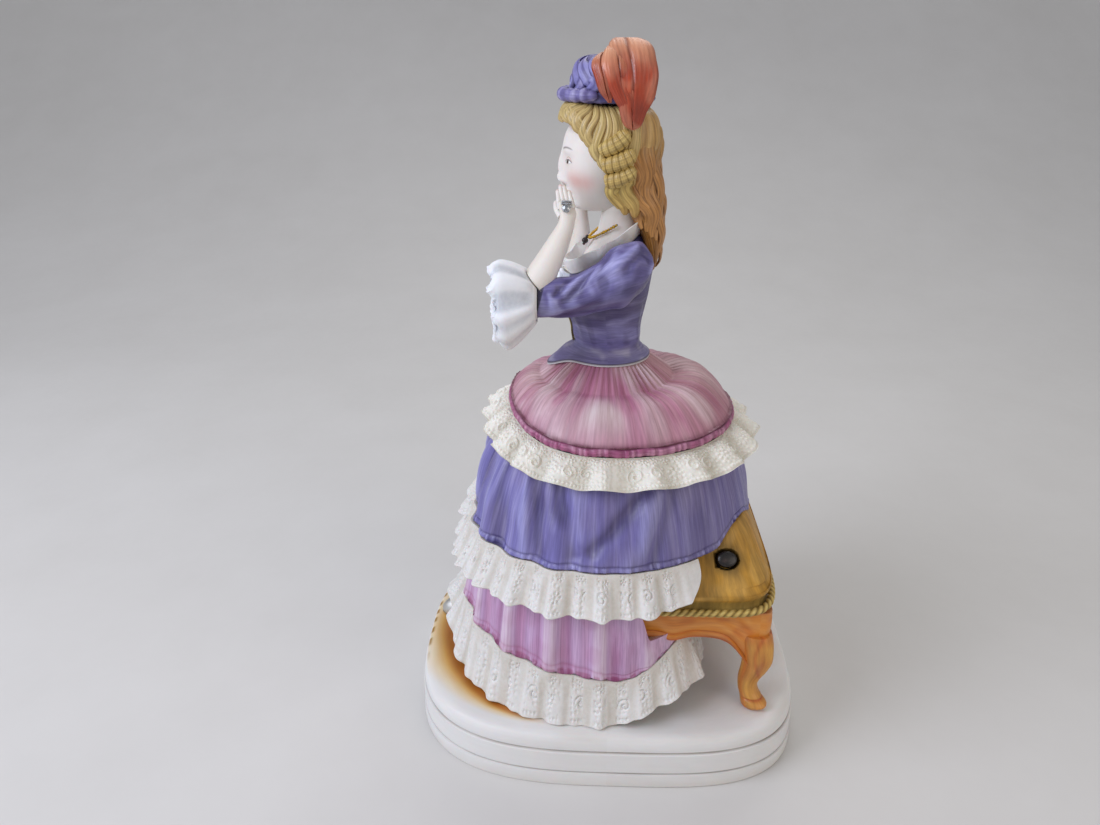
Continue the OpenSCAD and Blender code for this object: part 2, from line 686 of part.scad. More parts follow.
// Cabriole leg with a scroll foot; side is 1 on the lady's left
module stool_leg(side) {
    top = rail_low - 0.1;
    foot = plinth_h + 0.05;
    out = [1, 1, 0] / sqrt(2);
    across = [-1, 1, 0] / sqrt(2);
    corner = [seat_half_w - 5.5, seat_back - 6.5, 0];
    // rows of [way up, bow outwards, radius]
    rows = [[0, 2.4, ankle_r + 0.6], [0.05, 2.4, ankle_r + 1.3], [0.12, 1.2, ankle_r + 1],
        [0.22, -0.4, ankle_r + 0.6], [0.36, 0.4, ankle_r + 1], [0.52, 2, 5.9], [0.7, 2.8, 7],
        [0.88, 1.8, 7.6], [1, 0, 7.6]];
    color(WOOD) mirrored(side)
        skin([for (r = rows) let (c = corner + out * r[1] + [0, 0, mix(foot, top, r[0])])
            [for (i = [0 : 15]) c + r[2] * (cos(22.5 * i) * out + 0.9 * sin(22.5 * i) * across)]]);
}
module stool_leg_left() { stool_leg(1); }
module stool_leg_right() { stool_leg(-1); }

// ---- Skirts ----------------------------------------------------------------

shelf_r = 30;                            // the dome is a plain cone inside this
dome_wall = 4;
peg_r = 9;                               // hole for the waist bush
function cone_z(r) = waist_z - 0.55 * pow(max(0, r - waist_r), 1.1);
function over_r(a) = reach(a, over_side, over_front, over_back);
function over_hem_z(a) = waist_z - over_drop + 8 * bump(a, 270, 35) + 2 * bump(a, 90, 40);
function puff(a) = 3 + 3.5 * bump(a, 90, 50);
function dome_z(a, r) = r <= shelf_r ? cone_z(r) :
    let (t = (r - shelf_r) / (over_r(a) - shelf_r))
    mix(cone_z(shelf_r), over_hem_z(a), t) + puff(a) * sin(180 * min(1, t));

// Depth that the gathers are cut to, deepest near the waist at the back and in front
gathers = 60;
function gather(a, r) = (0.5 - 0.5 * wave(a, gathers))
    * min(1, bump(a, 82, 40) + bump(a, 268, 34) + 0.35)
    * lookup(r, [[waist_r, 0], [waist_r + 2, 0.9], [23, 1], [shelf_r, 0.6], [over_front, 0.3], [over_r(a), 0]]);

// Gathered overskirt: a dome whose middle is a true cone, so that the waist can turn on it
module overskirt() {
    color(MAUVE) turned(function(a) let (R = over_r(a), h = over_hem_z(a),
        rs = [peg_r, waist_r, 23, shelf_r, mix(shelf_r, R, 0.35), mix(shelf_r, R, 0.7), mix(shelf_r, R, 0.9)])
        concat([for (r = rs) [r, dome_z(a, r) - gather(a, r)]], [[R, h], [R - 3.2, h]],
            [for (i = [5, 4, 3, 1, 0]) [rs[i], dome_z(a, rs[i]) - dome_wall]]), 2 * gathers);
}

piping_h = 3.6;
module overskirt_piping() {
    color("mediumvioletred") turned(function(a)
        let (c = [over_r(a) - 0.9, over_hem_z(a) - piping_h / 2 - 0.3])
        [for (k = [5 : -1 : 0]) c + [2.1 * cos(60 * k + 30), piping_h * 0.55 * sin(60 * k + 30)]]);
}

function over_lace_z(a) = over_hem_z(a) - piping_h - 9.5 + 1.2 * wave(a, 20);
module overskirt_lace() {
    t = lace_wall;
    color(LACE) turned(function(a)
        let (R = over_r(a), w = over_lace_w - 0.6 + 1.4 * wave(a, 20),
            z = over_hem_z(a) - piping_h - 0.6, e = over_lace_z(a), m = mix(z, e, 0.42))
        [[R + 0.2, z], [R + w * 0.5, m], [R + w, e], [R + w - t * 0.5, e - t * 0.85],
            [R + w * 0.5 - t * 0.5, m - t * 0.85], [R - 2.2, z - 0.8]], 120);
}

function loose(a) = ease((0.1 - sin(a)) / 0.4);     // 1 where the skirts hang free of the stool
function mid_r(a) = reach(a, mid_side, mid_front, mid_back, 2.2, 1.9) + 1.1 * loose(a) * wave(a, 21)
    + 2.5 * bump(a, 300, 13) + 4 * bump(a, 237, 15) - 1.5 * bump(a, 268, 12);
function over_seat(r, a) = cushion_z(r * cos(a), axis_y + r * sin(a)) + cast_gap + 1.2;
function on_seat(a) = ease((sin(a) + 0.02) / 0.16);
function mid_z(a, r) = on_seat(a) > 0 ? max(mid_hem_z, over_seat(r, a)) : mid_hem_z;
function mid_point(a, t, z0) = [mix(over_r(a) - 5, mid_r(a), pow(t, 0.5)), mix(z0, mid_z(a, mid_r(a)), t)];

module middle_skirt() {
    ts = [0.12, 0.35, 0.65, 1];
    w = skirt_wall;
    color(VIOLET) turned(function(a)
        let (R = over_r(a) - 5, h = over_hem_z(a) - piping_h - 2.6, in_r = mid_r(a) - w,
            top = dome_z(a, R - 0.5) - dome_wall - cast_gap - 1.2)
        concat([[R, top], [R, h]], [for (t = ts) mid_point(a, t, h)], [[in_r, mid_z(a, in_r)]],
            [for (i = [2, 1, 0]) mid_point(a, ts[i], h) - [w, 1]], [[R - w, h - 1], [R - w, top]]), 90);
}

lace_end = 36;                           // the middle lace stops at the stool on each side
module middle_lace() {
    t = lace_wall;
    color(LACE) turned(function(a)
        let (R = mid_r(a), flute = 1.5 * wave(a, 24),
            w = 10 - 1.5 * ease(abs(a - 270) / (90 + lace_end)) + flute,
            z = mid_z(a, R) - 0.3, e = z - mid_lace_drop + 3 * ease((sin(a) - 0.2) / 0.4), m = mix(z, e, 0.5))
        [[R + 0.1, z], [R + w * 0.45, m], [R + w, e], [R + w - t, e - 0.5],
            [R + w * 0.45 - t, m - 0.8], [R + 0.1 - t, z - 0.8]], 84, 180 - lace_end, 360 + lace_end);
}

function low_r(a) = reach(a, low_side, low_front, low_back, 2.3, 2.6) + 1.1 * loose(a) * wave(a, 19);
function low_z(a) = low_hem_z + 13 * bump(a, 270, 50) + 15 * ease((sin(a) - 0.1) / 0.5);
// The flounce's top steps down behind the middle lace: first to the cushion, then under the rail
rail_low = seat_z - rail_h - 4.5;
function low_top(a) =
    let (past = min((a + 360) % 360, (540 - a) % 360), side = past > 180 ? past - 360 : past)
    mix(mix(mid_hem_z + 1.5, seat_z - 0.8, ease((side + 2) / 6)), rail_low - 2.2, ease((side - 14) / 5));
function low_top_r(a) = mix(mid_r(a) - skirt_wall - cast_gap - 1, low_r(a) - 1.5, on_seat(a));

// Lower flounce: tucked inside the middle skirt in front, under the seat behind
module lower_flounce() {
    w = skirt_wall;
    color(MAUVE) turned(function(a)
        let (R = low_r(a), h = low_z(a), top = low_top(a), r0 = low_top_r(a),
            u = [mix(r0, R, 0.15), mix(top, h, 0.35)], v = [mix(r0, R, 0.45) + 0.8, mix(top, h, 0.7)])
        [[r0, top], u, v, [R, h], [R - w, h], v - [w, 0], u - [w, 0], [r0 - w, top]], 90);
}

shoe_a = 260;                            // direction of the shoe's toe
function lace_r(a) = reach(a, low_side + low_lace_w, low_front + low_lace_w + 4,
    low_back + low_lace_w - 1.5, 2.3, 3.4) + 9 * bump(a, shoe_a + 4, 15);
function lace_foot(a) = plinth_h + 0.4 + 18 * bump(a, shoe_a + 2, 13) + 14 * ease((sin(a) + 0.02) / 0.6);
module lower_lace() {
    t = lace_wall;
    color(LACE) turned(function(a)
        let (R = low_r(a), z = low_z(a) - 0.3, e = lace_foot(a), flute = 1.6 * wave(a, 26),
            S = lace_r(a) + flute, q = [mix(R, S, 0.45) - flute * 0.2, mix(z, e, 0.5)])
        [[R + 0.1, z], q, [S, e], [S - t, e], q - [t, 0], [R + 0.1 - t, z]], 104);
}

// Toe of a slipper that shows under the raised lace
module shoe() {
    dir = [cos(shoe_a), sin(shoe_a), 0];
    across = [-sin(shoe_a), cos(shoe_a), 0];
    heel = [0, axis_y, plinth_h + 0.3];
    rows = [[59, 4, 7], [64, 6, 8.6], [70, 6.2, 8], [76, 5.6, 6.6], [80, 4.2, 5], [82.4, 2, 3]];
    color(STEEL) skin([for (r = rows)
        [for (i = [0 : 15]) heel + r[0] * dir + r[1] * cos(22.5 * i) * across
            + [0, 0, max(0, r[2] * (0.35 + sin(22.5 * i)))]]]);
}

module waist_bush() {
    color(BRASS) translate([0, axis_y, 0]) difference() {
        union() {
            translate([0, 0, waist_z - dome_wall - 0.3]) cylinder(r = peg_r - 0.5, h = dome_wall);
            translate([0, 0, waist_z - dome_wall - 1.8]) cylinder(r = peg_r + 2, h = 1.5);
        }
        translate([0, 0, waist_z - 10]) cylinder(r = spindle_r + run_fit, h = 20);
    }
}

// ---- Upper body ------------------------------------------------------------

hub_z = waist_z + 0.5;
hub_r = 9.8;
socket_r = 4;
socket_top = waist_z + 18;

module spindle() {
    color(STEEL) translate([0, axis_y, 0]) {
        translate([0, 0, barrel_top + 0.02]) cylinder(r = spindle_r, h = socket_top - 1 - barrel_top);
        translate([0, 0, barrel_top + 0.02]) cylinder(r = crown_r - crown_w / 2 - 2, h = 1.5);
    }
}

module torso_hub() {
    color(BRASS) translate([0, axis_y, 0]) difference() {
        union() {
            translate([0, 0, hub_z]) cylinder(r = hub_r, h = 3.4);
            translate([0, 0, hub_z]) cylinder(r = socket_r, h = socket_top - hub_z);
        }
        translate([0, 0, hub_z - 1]) cylinder(r = spindle_r + 0.02, h = socket_top);
    }
}

// Bodice: rows of [middle y, half width, half depth, height, slope]
neck_slope = 0.62;
neck_z = waist_z + 47.3;                 // neckline height over the origin
rim_z = waist_z + cast_gap;              // underside of the bodice at the seam
bodice_rows = [[axis_y, 15, 14.5, waist_z + 5, 0], [-3.2, 15.5, 15.2, waist_z + 14, 0],
    [-3.9, 16.7, 17.4, waist_z + 22, 0], [-3.5, chest_w - 0.3, 18.4, waist_z + 29, 0],
    [-2.3, chest_w, 18.2, waist_z + 37, neck_slope * 0.5], [-3.5, chest_w - 1, 15.5, neck_z, neck_slope]];
function row_point(r, a, inset = 0) =
    let (y = r[0] + (r[2] - inset) * sin(a)) [(r[1] - inset) * cos(a), y, r[3] + r[4] * y];
function skirt_reach(a) = 19 + (point_reach - 19) * bump(a, 270, 17);

module bodice() {
    wall = 3.2;
    c = [0, axis_y, 0];
    well_r = socket_r + cast_gap;
    color(VIOLET) skin([for (i = [0 : 35]) let (a = 10 * i, d = [cos(a), sin(a), 0], p = skirt_reach(a))
        concat([c + d * p + [0, 0, cone_z(p) + cast_gap + 1.2],
                c + d * mix(15, p, 0.35) + [0, 0, waist_z + 2.4]],
            [for (r = bodice_rows) row_point(r, a)],
            [for (k = [5, 4, 3, 2]) row_point(bodice_rows[k], a, wall)],
            [for (q = [[well_r, socket_top + 1], [well_r, hub_z + 4], [hub_r + 0.4, hub_z + 4],
                [hub_r + 0.4, rim_z], [waist_r, rim_z], [p, cone_z(p) + cast_gap]])
                c + d * q.x + [0, 0, q.y]])],
        true, true);
}

// Panel on the front of the bodice
module stomacher() {
    color("gold") skin([for (k = [0 : 8]) let (a = 270 + (k - 4) * 4.5)
        concat([for (i = [0 : 3]) row_point(bodice_rows[i], a, -0.3)],
            [for (i = [3 : -1 : 0]) row_point(bodice_rows[i], a, -1.3)])]);
}

// Chest and neck
module bust() {
    color(BISQUE) skin([oval(-4, 13, 13.4, waist_z + 22.8), oval(-3.6, chest_w - 4, 14.7, waist_z + 29),
        oval(-2.6, chest_w - 3.8, 14.4, waist_z + 37, neck_slope * 0.5),
        oval(-3.5, chest_w - 4.6, 12, neck_z - 0.6, neck_slope), oval(-2.2, 12.2, 11.2, waist_z + 50, 0.45),
        oval(0.5, 8.3, 8.6, waist_z + 56, 0.3), oval(1, 6.8, 7.6, head_base - 0.1)]);
}

// Ruffled collar that stands around the neckline
module collar() {
    color(LACE) skin([for (i = [0 : 47])
        let (a = 7.5 * i, d = sin(a) < 0 ? 14.1 : 14.8, f = 0.35 * cos(12 * a),
            h = 5.2 - 0.6 * sin(a))
        [for (q = [[-0.3, 0.4], [1.9, 0.5], [2.6 + f, h], [1.2 + f, h + 0.3]])
            let (y = (d + q.x) * sin(a) - 4.3)
            [(15.1 + q.x) * cos(a), y, neck_z + neck_slope * y + q.y]]], true, true);
}

// Arms: rows of [distance from the middle, y, height over the waist, radius] for the sleeves
left_sleeve = [[19, 14.6, 40.4, 0.3], [20.5, 12.5, 40.4, 7], [21.5, 6.5, 40, 13.2], [22.6, -1, 38, 12.6],
    [24, -11, 34, 10.4], [25.2, -20, 31.8, 9], [26, -27, 31.5, 8.6], [26.2, -31.4, 31.5, 8.2]];
right_sleeve = [[19, 14.6, 39.5, 0.3], [20.5, 12.5, 38.6, 6.5], [21.5, 7.5, 36, 12], [23, 1.5, 31.5, 11.4],
    [24.4, -3.5, 27, 10.2], [25.4, -8, 23.5, 9], [25.8, -10.5, 22.4, 8.5], [26, -12, 22, 8.2]];
// A point of the face that a forearm stands on, and that face's direction
left_face = [[26, -30, waist_z + 35], unit([0, 0.737, 0.676])];
right_face = [[26, -17, waist_z + 28.5], unit([0, 0.3, 0.954])];

module mirrored(side) { mirror([side > 0 ? 0 : 1, 0, 0]) children(); }

module sleeve(side, rows) {
    last = len(rows) - 1;
    color(VIOLET) mirrored(side) skin([for (i = [0 : last]) let (s = rows[i])
        [for (k = [0 : 15]) let (p = [s.x, s.y, waist_z + s.z] + s[3] * [0.78 * cos(22.5 * k),
            (i == last ? 0 : 0.25) * sin(22.5 * k), 0.97 * sin(22.5 * k)])
            [max(p.x, armhole_x + cast_gap / 2), p.y, p.z]]]);
}
module sleeve_left() { sleeve(1, left_sleeve); }
module sleeve_right() { sleeve(-1, right_sleeve); }

// Bell cuff of lace, cut on a slant where the forearm rises: rows of [x, y, height, half width, half depth]
module cuff(side, rows, face) {
    color(LACE) mirrored(side) skin([for (r = rows) [for (k = [0 : 19])
        clip([r[0] + r[3] * cos(18 * k), r[1] - (r[3] > 9 ? 0.12 : 0) * r[4] * sin(18 * k),
            waist_z + r[2] + r[4] * sin(18 * k)], face[1], face[0] * face[1])]]);
}
module cuff_left() {
    cuff(1, [[26.2, -31.4 - cast_gap, 31.5, 8.4, 8.4], [26.8, -36, 30.9, 10.6, 12.4],
        [27.4, -41, 29.7, 11.6, 16.2], [27.8, -45.5, 28.5, 11.8, 18.2], [28, -48.6, 27.9, 9.6, 15.4],
        [28, -49.8, 27.9, 4.5, 8]], left_face);
}
module cuff_right() {
    cuff(-1, [[26, -12 - cast_gap, 22, 8.4, 8.4], [26.5, -15.5, 21.6, 8.9, 9.6], [27, -19, 21.2, 10.4, 10.6],
        [27.2, -22.4, 21, 10.2, 10.2], [27.2, -24, 21, 8.9, 8], [27.2, -24.6, 21, 4, 4]], right_face);
}

// Forearm and hand, on the cuff's slanted face and clear of the sleeve's end
module forearm(side, rows, face, sleeve_end) {
    v = unit([0, 0.9, -0.42]);
    foot = (face[0] + cast_gap * face[1]) * face[1];
    color(BISQUE) mirrored(side) difference() {
        skin([for (i = [0 : len(rows) - 1]) let (r = rows[i], c = [r[0], r[1], waist_z + r[2]])
            [for (k = [0 : 13])
                let (a = 360 * k / 14, p = c + r[3] * cos(a) * [1, 0, 0] + r[4] * sin(a) * v,
                    lift = foot - face[1] * p)
                p + (i == 0 || lift > 0 ? lift : 0) * face[1]]]);
        translate([0, sleeve_end.y - cast_gap, waist_z])
            cube([60, 40, sleeve_end.z + sleeve_end[3] + cast_gap]);
    }
}
module forearm_left() {
    forearm(1, [[26.2, -34, 34.6, 6.2, 6.4], [25.2, -31.2, 39.5, 6.1, 6.3], [24, -27.5, 46, 5.4, 5.6],
        [22.4, -23.6, 53.4, 4.3, 4.5], [20.8, -20.8, 59.5, 3.2, 3.4], [19.4, -20, 63, 2.9, 3.6],
        [17.6, -20.2, 66.4, 2.6, 3.9], [15.6, -21, 69.8, 2.1, 3.4], [14, -21.8, 72.4, 1.5, 2.5],
        [13, -22.3, 74, 0.7, 1.2]], left_face, left_sleeve[7]);
}
module forearm_right() {
    forearm(-1, [[26, -17.4, 29, 6, 5.6], [25, -16.4, 34, 6, 5.6], [23.4, -15.2, 41, 5.2, 5],
        [21, -14.2, 49.5, 4.2, 4], [18, -14.6, 56, 3.3, 3.5], [16.6, -15.2, 62, 2.9, 3.4],
        [14.6, -17.6, 67.5, 2.6, 3.8], [12.6, -20.4, 72, 2.2, 3.6], [11.2, -22.4, 76, 1.5, 2.8],
        [10.4, -23.4, 78.5, 0.7, 1.5]], right_face, right_sleeve[7]);
}

// Ring: a round setting and a cut stone on the left hand
module ring() {
    color(STEEL) translate([22.1, -20.2, waist_z + 65.4]) rotate([0, 80, 0]) {
        cylinder(r = 2.1, h = 0.9);
        translate([0, 0, 0.89]) cylinder(r1 = 1.9, r2 = 0.9, h = 0.9);
    }
}

// ---- Head ------------------------------------------------------------------

head_z = waist_z + head_h;
head_at = [0, -4, head_z];
head_base = head_z - 21.7;

// Reach of the head and of the hair from the head's middle, in direction d
function swell(d, at, width) = exp(-pow(norm(d - at) / width, 2));
function head_r(d) = let (k = 1 + 0.45 * pow(min(0, d.z), 2))
    1 / norm([d.x * k / head_w, d.y / (d.y < 0 ? 19 : 17), d.z / (d.z > 0 ? 19.5 : 22.5)])
    + 2.5 * swell(d, [0, -0.5, -0.87], 0.32) + 0.9 * swell(d, [0, -0.97, -0.2], 0.14);
function hair_r(d) = let (p = 2 + 2.2 * ease(3 * d.z))
    max(head_r(d) + 1.2, pow(pow(abs(d.x) / (head_w + 3), p) + pow(abs(d.y) / (d.y < 0 ? 20 : 21.5), p)
        + pow(abs(d.z) / (d.z > 0 ? 21.3 : 34), p), -1 / p));
function facing(a, e) = [cos(e) * cos(a), cos(e) * sin(a), sin(e)];

module head() {
    color(BISQUE) skin([for (e = [-84, -72, -60, -48, -36, -24, -12, 0, 14, 28, 44, 60, 76])
        [for (i = [0 : 27]) let (d = facing(360 * i / 28, e))
            clip(head_at + head_r(d) * d, [0, 0, -1], -head_base)]]);
}

back_up = unit([0, 0.87, 0.5]);
side_on = [1, 0, 0];
up_on = cross(back_up, side_on);
function around(phi, psi) = cos(phi) * back_up + sin(phi) * (cos(psi) * side_on + sin(psi) * up_on);
function hairline(psi) = 95 - 25 * sin(psi) + 4 * bump(psi, 270, 40);   // angle from the crown's back

hair_base = head_z - 14.5;
module hair() {
    steps = [0.05, 0.2, 0.34, 0.48, 0.62, 0.75, 0.88, 1];
    last = len(steps) - 1;
    inner = [for (i = [last : -1 : 0]) [for (k = [0 : 27])
        let (psi = 360 * k / 28, d = around(hairline(psi) * steps[i], psi))
        clip(head_at + (head_r(d) + 0.65) * d, [0, 0, -1], (i < last ? -0.2 : 0) - hair_base)]];
    outer = [for (t = steps) [for (k = [0 : 27]) let (psi = 360 * k / 28, d = around(hairline(psi) * t, psi))
        clip(head_at + hair_r(d) * d, [0, 0, -1], -hair_base)]];
    color(HAIR) skin(concat(inner, outer), looped = true, flip = true);
}

// Sausage curls at each temple: pairs of [direction of one end, direction of the other]
module ringlets() {
    curls = [[[0.97, -0.5, 0.42], [0.97, 0.32, 0.3]], [[0.98, -0.42, 0.12], [0.96, 0.38, -0.02]],
        [[0.97, -0.25, -0.2], [0.95, 0.45, -0.34]]];
    color(HAIR) for (s = [-1, 1], c = curls) mirrored(s)
        skin([for (i = [0 : 7])
            let (t = i / 7, d = unit(mix(c[0], c[1], t)), u = unit(cross(d, c[1] - c[0])),
                w = 2.3 * sqrt(max(0.04, sin(180 * mix(0.06, 0.94, t)))), p = head_at + (hair_r(d) + 2.7) * d)
            [for (k = [0 : 9]) p + w * (cos(36 * k) * d - sin(36 * k) * u)]]);
}

// Hair down the back: a mass around the nape and a tail that ends in a point
module back_hair() {
    // rows of [height over the head's middle, front y, back y, half width]
    tail = [[-47.4, 16.9, 18.6, 5], [-45, 16.9, 19.6, 10], [-40, 16.9, 20.2, 13.4], [-34, 16.7, 20.2, 15],
        [-30, 15.2, 19.8, 15.6], [-23, 14.2, 19.2, 15.8], [-21, 12.4, 19, 15.4], [-14.8, 12, 17, 13.6]];
    nape = [[16, -14.8], [17, -18], [17.6, -22.4]];
    color(HAIR) {
        skin([for (r = tail) [for (k = [0 : 19]) [r[3] * sgnpow(cos(18 * k), 0.8),
            mix(r[1], r[2], 0.5 + 0.5 * sgnpow(sin(18 * k), 0.8)), head_z + r[0]]]]);
        skin([for (i = [0 : 20]) let (a = mix(-14, 194, i / 20), thin = 1 - pow(abs(i - 10) / 10, 4))
            [for (q = concat(nape, [[10.6, -22.4], [10.8, -14.8]]))
                let (r = mix(13.6, q.x, mix(0.5, 1, thin))) [r * cos(a), 1 + r * sin(a), head_z + q.y]]]);
    }
}

hat_z = head_z + 21.8;
module hat() {
    rows = [[-4, brim_w - 3.5, 18.4, 0], [-4, brim_w - 0.6, 20.4, 0.9], [-4, brim_w, 21, 2.8],
        [-3.8, brim_w - 2.4, 18.8, 5], [-3.2, 16.6, 17, 8.5], [-4, 14.5, 14.6, 12.5], [-6, 11.4, 11, 15.6],
        [-7, 6, 6, 18.2]];
    color(VIOLET) skin([for (r = rows) oval(r[0], r[1], r[2], hat_z + r[3])]);
}

// Curled feather beside the hat
module plume() {
    // rows of [x past the brim, y, height over the brim, half width, half thickness, lean]
    rows = [[1.6, 5, -9.6, 1.5, 1.1, 0], [1.8, 4.2, -6, 5.5, 1.6, 0], [2.1, 2.6, 0, 10, 1.8, 0],
        [1.8, 1.2, 7, 12.3, 2.1, 15], [-0.4, 0.5, 13.5, 12, 2.1, 35], [-4.6, 0.5, 18.6, 10, 2, 58],
        [-9, 1, 21, 7.4, 1.7, 80], [-12.6, 1.6, 21.2, 3, 0.9, 95]];
    color("orangered") skin([for (r = rows) let (c = [brim_w + r[0], r[1], hat_z + r[2]])
        [for (k = [0 : 15]) c + [0, r[3] * sin(22.5 * k), 0]
            + r[4] * cos(22.5 * k) * [cos(r[5]), 0, sin(r[5])]]]);
}

necklace_beads = 23;
module necklace() {
    color(BRASS) for (i = [0 : necklace_beads - 1])
        let (a = mix(186, 354, i / (necklace_beads - 1)), y = 1 + 11.7 * sin(a))
        if (abs(a - 270) > 3) translate([8.9 * cos(a), y, head_z - 25.5 + 0.62 * (y - 1)])
            sphere(r = bead_r, $fn = 20);
}

module pendant() {
    color("black") translate([0, -12.9, head_z - 34.6]) sphere(r = 1.4, $fn = 24);
}

plinth();
bottom_plate();
plate_screws();
bedplate();
movement_screws();
drum_bearings();
comb();
click();
governor_bracket();
lever_post();
stool_frame();
stool_leg_left();
stool_leg_right();
stool_cushion();
cushion_braid();
button_bush();
lower_flounce();
lower_lace();
middle_skirt();
middle_lace();
overskirt();
overskirt_piping();
overskirt_lace();
waist_bush();
shoe();
spindle();
spring_barrel();
mainspring();
torso_hub();
bodice();
stomacher();
sleeve_left();
sleeve_right();
cuff_left();
cuff_right();
forearm_left();
forearm_right();
collar();
bust();
head();
hair();
ringlets();
back_hair();
hat();
plume();
necklace();
pendant();
ring();
winding_key();
winding_arbor();
ratchet_wheel();
pinned_drum();
second_wheel();
governor_fan();
start_button();
button_stem();
button_spring();
stop_lever();
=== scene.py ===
import json
import math

import bpy
import numpy as np
from bpy.props import FloatProperty, FloatVectorProperty, IntProperty, PointerProperty
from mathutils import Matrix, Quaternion, Vector


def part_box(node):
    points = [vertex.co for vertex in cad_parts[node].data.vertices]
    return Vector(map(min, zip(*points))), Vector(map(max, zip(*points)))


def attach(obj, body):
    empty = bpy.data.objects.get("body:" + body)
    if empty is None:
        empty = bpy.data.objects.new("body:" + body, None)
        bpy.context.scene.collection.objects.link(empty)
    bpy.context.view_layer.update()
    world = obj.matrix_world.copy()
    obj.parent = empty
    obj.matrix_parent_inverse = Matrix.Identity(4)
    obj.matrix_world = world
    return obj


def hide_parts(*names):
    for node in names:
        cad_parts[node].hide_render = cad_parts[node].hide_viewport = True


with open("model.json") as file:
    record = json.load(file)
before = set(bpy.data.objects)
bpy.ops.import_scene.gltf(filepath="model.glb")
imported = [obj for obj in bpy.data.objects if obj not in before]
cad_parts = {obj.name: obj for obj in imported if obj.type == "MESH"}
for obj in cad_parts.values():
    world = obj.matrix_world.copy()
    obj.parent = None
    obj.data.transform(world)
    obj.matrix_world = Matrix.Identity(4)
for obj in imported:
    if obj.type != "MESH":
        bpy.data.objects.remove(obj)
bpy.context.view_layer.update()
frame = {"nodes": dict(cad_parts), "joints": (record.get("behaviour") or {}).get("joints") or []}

bl_info = {
    "name": "Porcelain Lady",
    "version": (1, 0, 0),
    "blender": (4, 5, 0),
    "location": "3D View > Sidebar > Porcelain",
    "description": "Painted porcelain looks for a lady in a tiered gown beside a stool",
    "category": "Object",
}

MM = 0.001
BOXES = {}


def size_of(node):
    """Lowest and highest corner of a CAD node, in millimetres."""
    if node not in BOXES:
        BOXES[node] = tuple(np.array(corner) * 1000 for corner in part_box(node))
    return BOXES[node]


def srgb(code):
    """A hex colour as linear red, green and blue."""
    parts = [int(code[i:i + 2], 16) / 255 for i in (1, 3, 5)]
    return tuple(c / 12.92 if c <= 0.04045 else ((c + 0.055) / 1.055) ** 2.4 for c in parts)


# ---- Sizes and colours a user may change

def tint(name, text, code):
    """A colour setting whose default is a hex colour."""
    return FloatVectorProperty(name=name, description=text, subtype="COLOR", size=3, min=0, max=1,
                               default=srgb(code))


def depth(name, text, default, high):
    """A setting for a depth."""
    return FloatProperty(name=name, description=text, default=default, min=0, max=high,
                         subtype="DISTANCE", unit="LENGTH", precision=4)


class PorcelainSettings(bpy.types.PropertyGroup):
    """Sizes of the modelled relief, and the colours of the glazes."""
    fold_depth: depth("Fold depth", "Depth of the skirts' folds", 0.0016, 0.003)
    lace_depth: depth("Lace relief", "Height of the lace's flowers and scrolls", 0.001, 0.0016)
    strand_depth: depth("Strand depth", "Depth between the strands of hair", 0.0009, 0.0015)
    gathers: IntProperty(name="Gathers", description="Gathers around the overskirt's waist",
                         default=60, min=30, max=90)
    bisque: tint("Bisque", "Unpainted porcelain", "#e0dfdd")
    skin: tint("Skin", "Porcelain of the face and arms", "#e8e2dc")
    shade: tint("Bisque shade", "Warm wash in the hollows of white parts", "#b3a68f")
    blush: tint("Blush", "Cheeks", "#df9a90")
    lip: tint("Lips", "Red of the lips", "#b32f28")
    lash: tint("Lashes", "Eyes, brows and lashes", "#2b2422")
    violet: tint("Violet", "Bodice and middle skirt", "#6f69a8")
    violet_dark: tint("Violet shade", "Violet in the folds", "#423a68")
    violet_pale: tint("Violet light", "Violet on the crests", "#a5a4d8")
    mauve: tint("Mauve", "Overskirt", "#b8849a")
    # Mauve highlight: a painted highlight on the crests of the overskirt's folds and in broad pale
    # patches on it.
    mauve_pale: tint("Mauve light", "Worn crests of the overskirt", "#d4c4c4")
    magenta: tint("Magenta", "Piping, and the gathers", "#97406a")
    flounce: tint("Flounce", "Lower flounce", "#bf9cc2")
    # Tan shade: painted shade in the valleys of the overskirt's gathers and on the stool frame just
    # under the cushion.
    tan: tint("Tan", "Brown wash in the gathers", "#8a5a4c")
    cream: tint("Cream lace", "Lace of the overskirt", "#e9e6dd")
    gold: tint("Gold", "Cushion and braid", "#b5852a")
    gold_dark: tint("Gold shade", "Olive wash in the cushion's hollows", "#66522a")
    wood: tint("Wood", "Stool frame", "#cd7f2c")
    wood_dark: tint("Wood edge", "Red-brown edges of the stool", "#ab4c1a")
    hair: tint("Hair", "Fringe and curls", "#ccb375")
    hair_dark: tint("Hair shade", "Between the strands", "#80642c")
    hair_back: tint("Back hair", "Long hair down the back", "#b07c42")
    plume: tint("Plume", "Feather", "#a63e20")
    plume_dark: tint("Plume shade", "Dark barbs of the feather", "#7a2614")
    ochre: tint("Ochre", "Crescent on the plinth", "#ad621c")
    yellow: tint("Yellow", "Front panel of the bodice", "#cdb93a")


# ---- Numbers and surfaces

def mix(a, b, t):
    """The value a way t from a to b."""
    return a + (b - a) * t


def ease(t):
    """A smooth step from 0 at 0 to 1 at 1, level at both ends."""
    u = np.clip(t, 0, 1)
    return u * u * (3 - 2 * u)


def bump(a, middle, width):
    """A bump of height 1 around an angle, in degrees."""
    d = (np.asarray(a) - middle + 900) % 360 - 180
    return np.exp(-d * d / (2 * width * width))


def hill(x, y, width, height):
    """A round hill of height 1 over the origin."""
    return np.exp(-0.5 * ((x / width) ** 2 + (y / height) ** 2))


def peak(x, at, width):
    """A bump of height 1 where x passes a value."""
    return np.exp(-((x - at) / width) ** 2)


def lap(count):
    """Even angles all the way round, in degrees."""
    return np.arange(count) * 360 / count


def even(count):
    """Even steps from 0 to 1."""
    return np.linspace(0, 1, count)


